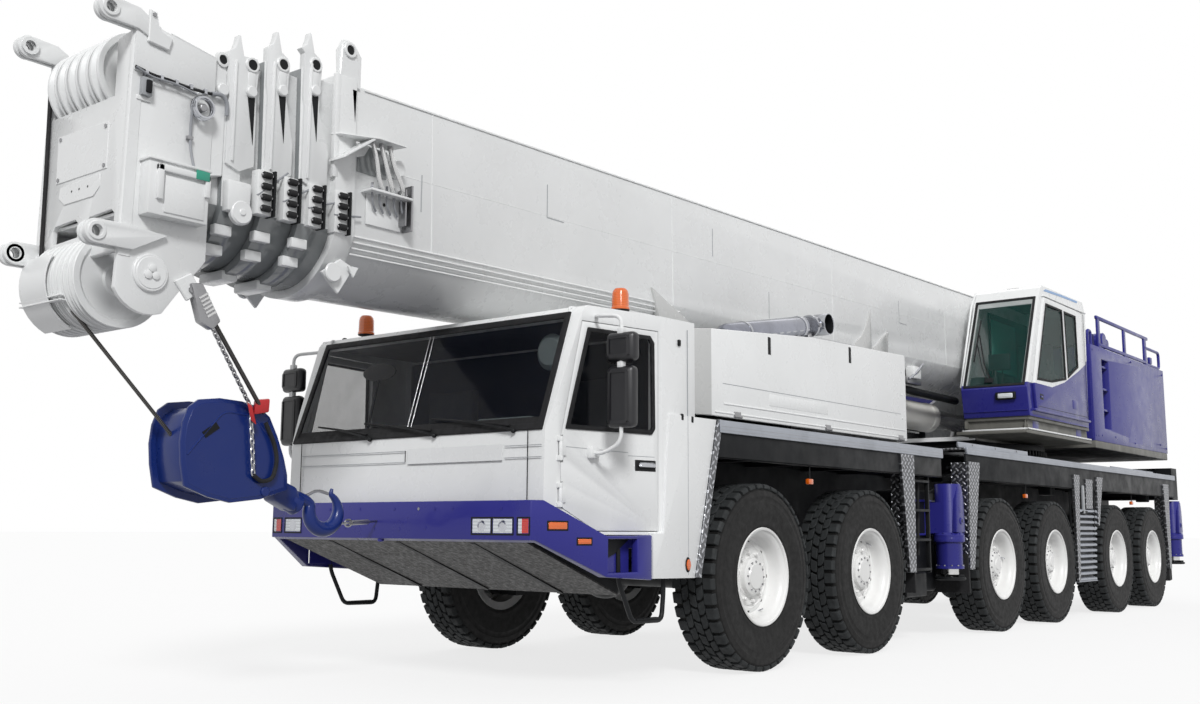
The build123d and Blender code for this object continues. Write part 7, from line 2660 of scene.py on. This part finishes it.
@dataclass
class LuffRam:
    """Luffing cylinder: painted barrel with end rings, bright rod, and pins."""

    z: float = 2.400
    pin_station: float = -2.800
    barrel_end: float = -6.400
    rod_pin: float = -7.800
    ring_radius: float = 0.178

    def eye(self, name: str, bore: float, station: float) -> Piece:
        """A pin eye at a station, turned across the machine round its bore."""
        half = [(bore, -0.119), (0.140, -0.119), (0.149, -0.110)]
        return turned(name, half + [(r, -y) for r, y in reversed(half)], spot(station, 0, self.z), Along.Y, CREAM, 44)

    def build(self) -> None:
        """Make the barrel and the rod."""
        head = self.pin_station - 0.26
        profile = [
            (0.0, self.barrel_end + 0.02), (0.121, self.barrel_end + 0.001), (0.150, self.barrel_end + 0.002),
            (0.170, self.barrel_end + 0.012), (self.ring_radius, self.barrel_end + 0.030),
            (self.ring_radius, self.barrel_end + 0.16), (0.172, self.barrel_end + 0.17), (0.172, head - 0.14),
            (self.ring_radius, head - 0.13), (self.ring_radius, head - 0.03), (0.150, head), (0.0, head),
        ]
        barrel = turned("barrel", [(r, at(x)) for r, x in profile], (0, 0, self.z), Along.X, CREAM, 56)
        eye = self.eye("eye", 0.072, self.pin_station)
        neck = block(
            "neck", spot(head - 0.02, -0.115, self.z - 0.098), spot(self.pin_station - 0.05, 0.115, self.z + 0.098),
            CREAM, 0.012, 3,
        )
        port = [
            block(
                "port", spot(head - 0.30, -0.05, self.z - 0.205), spot(head - 0.18, 0.05, self.z - 0.165), CREAM, 0.008,
            ),
            pipe(
                "feed",
                [
                    spot(head - 0.24, 0.0, self.z - 0.20), spot(head - 0.5, 0.0, self.z - 0.205),
                    spot(self.barrel_end + 0.3, 0.0, self.z - 0.20),
                ],
                0.014, STEEL, 0.03,
            ),
        ]
        fit("luff_barrel_body", "luff_barrel", [barrel, eye, neck, *port], ["luff_barrel"], 30)
        start = self.rod_pin + 0.10
        rod = turned(
            "rod", [(0, at(start)), (0.112, at(start)), (0.119, at(start + 0.02)), (0.119, at(-3.26)), (0, at(-3.24))],
            (0, 0, self.z), Along.X, STEEL, 56,
        )
        rod_eye = self.eye("rod_eye", 0.0, self.rod_pin)
        fit("luff_rod_body", "luff_rod", [rod, rod_eye], ["luff_rod"], 30)


# ------------------------------------------------------------------ superstructure


@dataclass
class Superstructure:
    """Turntable, blue side housings with their ladder and rails, and the winch."""

    half: float = 1.388
    inner: float = 0.640
    front: float = -8.400
    rear: float = -11.900
    low: float = 2.190
    top: float = 3.450

    def build(self) -> None:
        """Make the housings, the turntable and the winch."""
        self.housing()
        self.rails()
        self.turntable()
        self.winch()

    def housing(self) -> None:
        """Blue housings with a ladder recess and bolted corners."""
        y = self.half
        shell = block("housing", spot(self.rear, self.inner, self.low), spot(self.front, y, self.top), BLUE, 0.0)
        cut(shell, block("recess", spot(-9.130, y - 0.130, 2.370), spot(-8.840, y + 0.2, 3.290), SOOT, 0.0))
        soften(shell, 0.012, 2)
        # The recess's back face is painted black: painted shade in the recess.
        recolour(
            shell, SOOT,
            lambda centre, normal: abs(centre.y - (y - 0.130)) < 0.004 and at(-9.13) < centre.x < at(-8.84),
        )
        left = [shell]
        for z in (2.620, 2.900, 3.200):
            left.append(block(
                "rung", spot(-9.131, y - 0.060, z - 0.014), spot(-8.839, y - 0.020, z + 0.014), BLUE, 0.005,
            ))
        left.append(block(
            "front_fold", spot(self.front - 0.002, self.inner + 0.02, self.low + 0.02),
            spot(self.front + 0.012, y - 0.02, self.top - 0.02), BLUE, 0.006,
        ))
        for x, z in (
            (-8.46, 2.26), (-8.46, 3.38), (-8.56, 2.26), (-11.84, 2.26), (-11.84, 3.38), (-11.52, 2.30), (-10.2, 2.25),
            (-9.30, 2.28), (-8.72, 2.27), (-10.2, 3.40),
        ):
            left.append(bolt("housing_bolt", spot(x, y, z), Along.Y, 1, BLUE, 0.012, 0.006))
        left.append(plate(
            "dent", traced((-10.6, 2.25), (-10.3, 2.62), (-10.1, 2.55), (-9.9, 2.25)), Along.Y, y - 0.002, y + 0.0008,
            BLUE, 0.0005,
        ))
        left.append(block(
            "foot_strip", spot(self.rear + 0.02, y - 0.10, self.low - 0.030),
            spot(self.front - 0.02, y - 0.02, self.low + 0.004), SOOT, 0.004,
        ))
        whole = both_sides(left)
        whole.append(block(
            "back", spot(self.rear, -self.inner - 0.01, self.low), spot(self.rear + 0.50, self.inner + 0.01, 3.300),
            BLUE, 0.012,
        ))
        for z in (2.45, 2.80, 3.15):
            for y0 in (-1.15, -0.40, 0.35):
                whole.append(block(
                    "weight_joint", spot(self.rear - 0.004, y0, z), spot(self.rear + 0.01, y0 + 0.80, z + 0.008), SOOT,
                    0.001, 1,
                ))
        for y0 in (-1.0, 1.0):
            whole.append(block(
                "rear_lamp", spot(self.rear - 0.014, y0 - 0.08, 2.26), spot(self.rear + 0.01, y0 + 0.08, 2.33), CRIMSON,
                0.006,
            ))
        fit("housing_shell", "superstructure", whole, ["side_housing"])

    def rails(self) -> None:
        """Guard rails, front loop and the blue gearbox on the housing's top."""
        y = self.half - 0.045
        left = []
        for post, wide in ((-8.900, 0.050), (-10.080, 0.045), (-11.110, 0.060)):
            left.append(block(
                "rail_post", spot(post - wide, y - 0.014, self.top - 0.01), spot(post + wide, y + 0.014, 3.880), BLUE,
                0.006,
            ))
            left.append(block(
                "post_foot", spot(post - 0.09, y - 0.035, self.top - 0.002),
                spot(post + 0.09, y + 0.035, self.top + 0.012), BLUE, 0.004,
            ))
        for z, low, high in ((3.500, -8.87, -11.15), (3.864, -8.82, -11.26)):
            left.append(block(
                "rail", spot(low, y - 0.018, z - 0.024), spot(high, y + 0.018, z + 0.024), BLUE, 0.012, 3,
            ))
        left.append(pipe(
            "rear_loop",
            [spot(-11.10, y, 3.722), spot(-11.850, y, 3.722), spot(-11.850, y, 3.478), spot(-11.10, y, 3.478)], 0.022,
            BLUE, 0.07,
        ))
        left.append(block("rail_lock", spot(-11.42, y - 0.02, 3.50), spot(-11.30, y + 0.02, 3.60), BLUE, 0.01))
        left.append(pipe(
            "front_loop",
            [
                spot(-8.425, y, self.top - 0.02), spot(-8.425, y, 3.640), spot(-8.560, y, 3.640),
                spot(-8.560, y, self.top - 0.02),
            ],
            0.020, BLUE, 0.05,
        ))
        gear = [
            block("gear_case", spot(-9.56, 1.02, self.top - 0.01), spot(-9.02, 1.24, 3.680), BLUE, 0.03, 3),
            drum("gear_motor", 0.105, 0, 0.16, spot(-9.24, 1.16, 3.60), Along.Y, BLUE, 0.012),
            drum("gear_motor", 0.065, 0, 0.12, spot(-9.45, 1.18, 3.58), Along.Y, BLUE, 0.012),
            drum("gear_cap", 0.060, 0, 0.10, spot(-9.66, 1.13, 3.60), Along.X, BLUE, 0.01),
            drum("rope_guide", 0.07, -0.55, 0.55, spot(-9.9, 0, 3.43), Along.Y, STEEL, 0.01),
        ]
        whole = both_sides(left) + gear
        fit("housing_rails", "superstructure", whole)

    def turntable(self) -> None:
        """Turntable plates with the slewing ring's bolts and teeth."""
        parts = [from_frame("turntable", "turntable_plates", WHITE, 0.010)]
        recolour(parts[0], UNDER, lambda centre, normal: centre.z < 2.20 and abs(centre.y) > 0.55)
        recolour(parts[0], SOOT, lambda centre, normal: centre.z < 2.11)
        centre = spot(-7.600, 0, 0)
        parts.append(ring(
            bolt("ring_bolt", centre + Vector((0.905, 0, 2.058)), Along.Z, 1, ZINC, 0.018, 0.016), "ring_bolt", 48,
            centre, Along.Z,
        ))
        tooth = block(
            "ring_tooth", centre + Vector((0.94, -0.014, 1.955)), centre + Vector((0.972, 0.014, 2.02)), SOOT, 0.006,
        )
        parts.append(ring(tooth, "ring_tooth", 90, centre, Along.Z))
        parts.append(drum("slew_motor", 0.14, 2.13, 2.46, spot(-6.75, -0.35, 0), Along.Z, SOOT, 0.02))
        parts.append(drum("slew_motor", 0.10, 2.46, 2.62, spot(-6.75, -0.35, 0), Along.Z, SOOT, 0.02))
        fit("turntable_plates", "superstructure", parts, ["turntable"])

    def winch(self) -> None:
        """Winch drum with its wound rope."""
        centre = spot(-11.020, 0, 2.700)
        half = [(0.0, -0.450), (0.370, -0.450), (0.380, -0.440), (0.380, -0.428), (0.370, -0.420), (0.262, -0.420)]
        profile = half + [(r, -y) for r, y in reversed(half)]
        parts = [turned("drum", profile, centre, Along.Y, CREAM, 48)]
        coil = [(0.255, -0.419)]
        turns = 28
        for index in range(turns):
            y = -0.415 + 0.83 * (index + 0.5) / turns
            coil += [(0.272, y - 0.0145), (0.290, y - 0.008), (0.299, y), (0.290, y + 0.008), (0.272, y + 0.0145)]
        coil.append((0.255, 0.419))
        parts.append(turned("wound_rope", coil, centre, Along.Y, ROPE, 48))
        for s in (1, -1):
            parts.append(ring(
                bolt("flange_bolt", centre + Vector((0.20, s * 0.450, 0)), Along.Y, s, ZINC, 0.014, 0.010),
                "flange_bolt", 10, centre, Along.Y,
            ))
            low, high = sorted((s * 0.420, s * 0.450))
            parts.append(plate(
                "winch_stand", traced((-11.220, 2.190), (-10.820, 2.190), (-10.90, 2.700), (-11.14, 2.700)), Along.Y,
                low, high, CREAM, 0.006,
            ))
        fit("winch_body", "superstructure", parts, ["winch"])


@dataclass
class CraneCab:
    """Operator's cab: white pillars and roof over a blue base, green glass and a sliding door."""

    inner: float = 0.620
    outer: float = 1.400
    foot: Flat = (-5.940, 2.660)
    head: Flat = (-6.432, 3.730)
    tone: tuple[Flat, ...] = ((-6.70, 2.715), (-7.15, 2.815), (-7.68, 3.000), (-8.20, 3.205))
    tray: Flat = (2.19, 2.33)

    def boundary(self, x: float) -> float:
        """Height where blue meets white at an X."""
        station = x - FIRST_AXLE
        if station > self.tone[0][0]:
            return self.tone[0][1]
        for (x0, z0), (x1, z1) in zip(self.tone, self.tone[1:]):
            if station >= x1:
                return z0 + (z1 - z0) * (x0 - station) / (x0 - x1)
        return self.tone[-1][1]

    def two_tone(self, piece: Piece) -> Piece:
        """Split a white piece along the colour line and paint what is below it blue."""
        planes = [((0, 0, self.tone[0][1]), (0, 0, 1))]
        for (x0, z0), (x1, z1) in zip(self.tone, self.tone[1:]):
            planes.append(((at(x0), 0, z0), (z1 - z0, 0, x0 - x1)))
        for point, normal in planes:
            with editing(piece):
                bpy.ops.mesh.bisect(plane_co=point, plane_no=normal)
        recolour(piece, BLUE, lambda centre, normal: centre.z < self.boundary(centre.x) and normal.z > -0.9)
        recolour(piece, UNDER, lambda centre, normal: normal.z < -0.9 and centre.z < 2.40)
        return piece

    def build(self) -> None:
        """Make the shell, its glass, the door and the inside."""
        self.shell()
        self.glass()
        self.door()
        self.inside()

    def shell(self) -> None:
        """Cab body with its roof stripe, lamp, seams, underside tray and door rail."""
        body = self.two_tone(from_frame("crane_cab", "crane_cab_body", WHITE, 0.018, 3))
        y = self.outer
        parts = [
            body,
            plate(
                "roof_stripe",
                traced(
                    (-6.640, 3.872), (-6.720, 3.905), (-7.30, 3.925), (-7.900, 3.932), (-7.880, 3.905), (-7.30, 3.895),
                ),
                Along.Y, y - 0.004, y + 0.003, Paint("sky_paint", (0.16, 0.33, 0.62), 0.3, 0.3, 0.1), 0.001,
            ),
            block("gutter", spot(-8.10, y - 0.01, 3.790), spot(-6.56, y + 0.040, 3.806), WHITE, 0.006),
            block("lamp_bezel", spot(-5.955, 1.03, 2.520), spot(-5.925, 1.27, 2.610), SOOT, 0.02, 3),
            block("lamp", spot(-5.95, 1.06, 2.535), spot(-5.918, 1.24, 2.595), CLEAR, 0.015, 3),
            block("under_tray", spot(-8.18, 0.63, 2.290), spot(-6.02, 1.385, 2.334), UNDER, 0.012),
            block("tray_lip", spot(-8.20, 0.64, 2.205), spot(-5.96, 0.66, 2.295), UNDER, 0.004),
            block("tray_front", spot(-6.02, 0.60, 2.175), spot(-5.985, 1.39, 2.195), WHITE, 0.006),
            block("tray_rail", spot(-8.24, 1.352, 2.175), spot(-5.985, 1.392, 2.195), WHITE, 0.006),
            plate(
                "tray_skirt",
                traced((-5.985, self.tray[0]), (-8.24, self.tray[0]), (-8.20, self.tray[1]), (-6.05, self.tray[1])),
                Along.Y, 1.330, 1.338, UNDER, 0.003,
            ),
            plate(
                "tray_face", [(0.62, self.tray[0]), (1.36, self.tray[0]), (1.34, self.tray[1]), (0.64, self.tray[1])],
                Along.X, at(-6.06), at(-6.052), UNDER, 0.003,
            ),
            block("door_rail", spot(-8.08, y - 0.004, 2.388), spot(-6.10, y + 0.040, 2.414), BLUE, 0.005),
            block("front_crease", spot(-5.992, 0.63, 2.395), spot(-5.975, 1.385, 2.402), BLUE, 0.002),
            pipe(
                "pillar_rope", [spot(-6.03, 0.585, 2.70), spot(-6.44, 0.585, 3.72), spot(-6.60, 0.585, 3.92)], 0.013,
                WHITE, 0.05,
            ),
        ]
        for count in range(9):
            parts.append(bolt("tray_bolt", (at(-6.052), 0.70 + 0.075 * count, 2.27), Along.X, 1, UNDER, 0.008, 0.004))
        parts.append(block("roof_lamp", spot(-6.78, 0.95, 3.935), spot(-6.66, 1.10, 3.9495), SOOT, 0.004))
        fit("crane_cab_body", "superstructure", parts, ["crane_cab"])

    def glass(self) -> None:
        """Front screen with its rubber, wiper and a dark panel, and the rear window."""
        length = math.dist(self.foot, self.head)
        low, high = 0.020, length + 0.058
        rubber = plate("rubber", oblong(0.645, low, 1.372, high), Along.Z, -0.012, 0.010, GASKET, 0.0)
        soften(opened(rubber, Along.Z, 0.030), 0.005)
        parts = [
            rubber,
            plate("screen", oblong(0.67, low + 0.025, 1.35, high - 0.025), Along.Z, -0.004, 0.004, GREEN_GLASS, 0.001),
            plate(
                "low_panel",
                [(0.71, low + 0.03), (1.05, low + 0.03), (1.03, low + 0.14), (0.78, low + 0.16), (0.71, low + 0.15)],
                Along.Z, -0.024, -0.014, TRIM, 0.006,
            ),
            plate("top_band", oblong(0.70, high - 0.10, 1.32, high - 0.02), Along.Z, -0.022, -0.014, TRIM, 0.004),
            pipe(
                "wiper", [(0.97, low + 0.10, 0.020), (0.88, low + 0.28, 0.030), (0.76, low + 0.72, 0.020)], 0.007, SOOT,
                0.05,
            ),
            pipe(
                "wiper", [(0.93, low + 0.08, 0.020), (0.85, low + 0.26, 0.028), (0.745, low + 0.60, 0.018)], 0.005,
                SOOT, 0.05,
            ),
            pipe("wiper_blade", [(0.735, low + 0.36, 0.012), (0.745, low + 0.94, 0.012)], 0.008, GASKET, 0),
            block("wiper_case", (0.90, low + 0.05, -0.004), (1.00, low + 0.11, 0.024), SOOT, 0.008),
        ]
        for piece in parts:
            on_slope(piece, self.foot, self.head)
        x = at(-8.130)
        rear = plate("rear_rubber", oblong(0.70, 2.905, 1.32, 3.415), Along.X, x - 0.02, x + 0.01, GASKET, 0.0)
        soften(opened(rear, Along.X, 0.035), 0.004)
        parts += [
            rear,
            plate("rear_glass", oblong(0.72, 2.92, 1.30, 3.40), Along.X, x - 0.004, x + 0.002, GREEN_GLASS, 0.001),
        ]
        fit("crane_cab_screen", "superstructure", parts, ["crane_cab_glass"])

    def door(self) -> None:
        """Sliding door in two tones with two panes and a recessed handle."""
        y = self.outer + 0.001
        panel = self.two_tone(from_frame("crane_cab_door", "crane_door_panel", WHITE, 0.006))
        parts = [panel]
        panes = (
            [(-6.205, 2.765), (-6.600, 3.700), (-7.160, 3.700), (-7.200, 2.860), (-6.700, 2.780)],
            [(-7.250, 3.700), (-7.680, 3.700), (-7.690, 3.060), (-7.290, 2.890)],
        )
        for pane in panes:
            flat = traced(*pane)
            centre = (sum(x for x, _ in flat) / len(flat), sum(z for _, z in flat) / len(flat))
            grown = [(centre[0] + (x - centre[0]) * 1.035, centre[1] + (z - centre[1]) * 1.025) for x, z in flat]
            rubber = plate("pane_rubber", grown, Along.Y, y + 0.026, y + 0.040, GASKET, 0.0)
            soften(opened(rubber, Along.Y, 0.026), 0.003)
            parts.append(rubber)
            parts.append(plate("pane", flat, Along.Y, y + 0.018, y + 0.024, GREEN_GLASS, 0.001))
        parts += [
            plate(
                "handle_dish", traced((-6.26, 2.535), (-6.37, 2.535), (-6.38, 2.60), (-6.26, 2.605)), Along.Y,
                y + 0.030, y + 0.036, SOOT, 0.004,
            ),
            block("handle", spot(-6.345, y + 0.034, 2.560), spot(-6.275, y + 0.042, 2.580), BLUE, 0.004),
            block("door_seam", spot(-7.985, y + 0.032, 2.448), spot(-6.19, y + 0.0355, 2.454), SOOT, 0.001, 1),
            block("door_seam", spot(-8.000, y + 0.030, 2.43), spot(-7.994, y + 0.0355, 3.77), SOOT, 0.001, 1),
            block("fuel_flap", spot(-7.62, y + 0.033, 2.515), spot(-7.42, y + 0.0365, 2.625), BLUE, 0.002),
        ]
        fit("crane_door_panel", "crane_door", parts, ["crane_cab_door"])

    def inside(self) -> None:
        """Operator's seat, consoles, screen and lining."""
        floor_z = 2.385
        parts = [
            block("cab_floor", spot(-8.05, 0.68, floor_z), spot(-6.10, 1.34, floor_z + 0.03), TRIM, 0.004),
            block("lining", spot(-8.06, 0.678, 2.42), spot(-6.75, 0.690, 3.70), LINING, 0.003),
            block("head_lining", spot(-8.00, 0.69, 3.850), spot(-6.62, 1.33, 3.862), LINING, 0.003),
            block("seat_foot", spot(-7.45, 0.82, floor_z + 0.03), spot(-7.02, 1.20, 2.640), TRIM, 0.02),
            block("console", spot(-7.30, 0.700, 2.43), spot(-6.92, 0.765, 2.930), TRIM, 0.025, 3),
            block("console", spot(-7.30, 1.255, 2.43), spot(-6.92, 1.320, 2.930), TRIM, 0.025, 3),
            block("screen_case", spot(-6.62, 0.72, 2.95), spot(-6.57, 0.98, 3.15), TRIM, 0.012, 3),
            block("screen_face", spot(-6.624, 0.745, 2.975), spot(-6.618, 0.955, 3.125), GREEN_GLASS, 0.002),
            pipe(
                "screen_stalk", [spot(-6.59, 0.80, 2.95), spot(-6.50, 0.80, 2.60), spot(-6.40, 0.80, 2.45)], 0.016,
                TRIM, 0.05,
            ),
            # A bright teal sheet on the far wall stands in for daylight through the far side window: painted light.
            block(
                "side_window_glow", spot(-7.60, 0.690, 2.98), spot(-6.78, 0.694, 3.62),
                Paint("far_window_light", (0.12, 0.50, 0.40), 0.15, 0.4, 0.0), 0.001,
            ),
        ]
        for y in (0.732, 1.288):
            parts.append(turned(
                "lever",
                [
                    (0, 0), (0.026, 0.0), (0.020, 0.02), (0.007, 0.03), (0.007, 0.10), (0.020, 0.115), (0.022, 0.15),
                    (0.012, 0.17), (0, 0.172),
                ],
                spot(-7.00, y, 2.925), Along.Z, BLACK, 20,
            ))
        fit("crane_cab_fittings", "superstructure", parts, ["crane_cab_seat"])
        cushion = padded_block("operator_seat", spot(-7.46, 0.80, 2.650), spot(-6.98, 1.22, 2.815), 0.035)
        back = padded_block("operator_back", spot(-7.49, 0.80, 2.80), spot(-7.36, 1.22, 3.34), 0.03)
        rest = padded_block("operator_headrest", spot(-7.48, 0.90, 3.34), spot(-7.38, 1.12, 3.47), 0.015)
        seat = fit("operator_seat", "superstructure", [cushion, back, rest])


# ------------------------------------------------------------------ the carried-over frame


FRAME_FINISHES: dict[str, Finish] = {
    "chassis_frame": SOOT, "outrigger_boxes": BLUE, "axle_beams": SOOT, "knuckle": SOOT, "engine_block": SOOT,
    "turntable": WHITE, "luff_rod": STEEL, "luff_barrel": CREAM, "winch": CREAM, "outrigger_beam": BLUE,
    "outrigger_jack": CREAM, "deck_plates": DECK, "hook_block": HOOK, "boom": WHITE, "side_housing": WHITE,
    "crane_cab_glass": GREEN_GLASS, "crane_cab_seat": TRIM, "crane_cab_door": WHITE, "crane_cab": WHITE,
    "cab_glass": DARK_GLASS, "cab_interior": TRIM, "cab_door": WHITE, "driver_cab": WHITE, "front_bumper": BLUE,
    "front_shield": SHIELD, "access_steps": SOOT, "mirrors": BLACK, "engine_hood": WHITE, "exhaust_silencer": CHROME,
    "wheel": TYRE,
}


def dress_frame() -> None:
    """Give every carried-over node its finish."""
    for name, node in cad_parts.items():
        finish = next((f for start, f in FRAME_FINISHES.items() if name.startswith(start)), None)
        if finish is None:
            raise ValueError(f"no finish for {name}")
        node.data.materials.clear()
        node.data.materials.append(finish.material())
        log.info("%s keeps its shape, in %s", name, finish.name)


def main() -> None:
    """Build the machine in order, from the studio to the last finish."""
    logging.basicConfig(level=logging.INFO, format="%(message)s")
    Studio().build()
    dress_frame()
    for assembly in (
        RoadWheels(), DriverCab(), Nose(), EngineBay(), Decks(), Legs(), BoomTube(), BoomNose(), HookTackle(),
        LuffRam(), Superstructure(), CraneCab(),
    ):
        log.info("building %s", type(assembly).__name__)
        assembly.build()


if __name__ == "__main__":
    main()
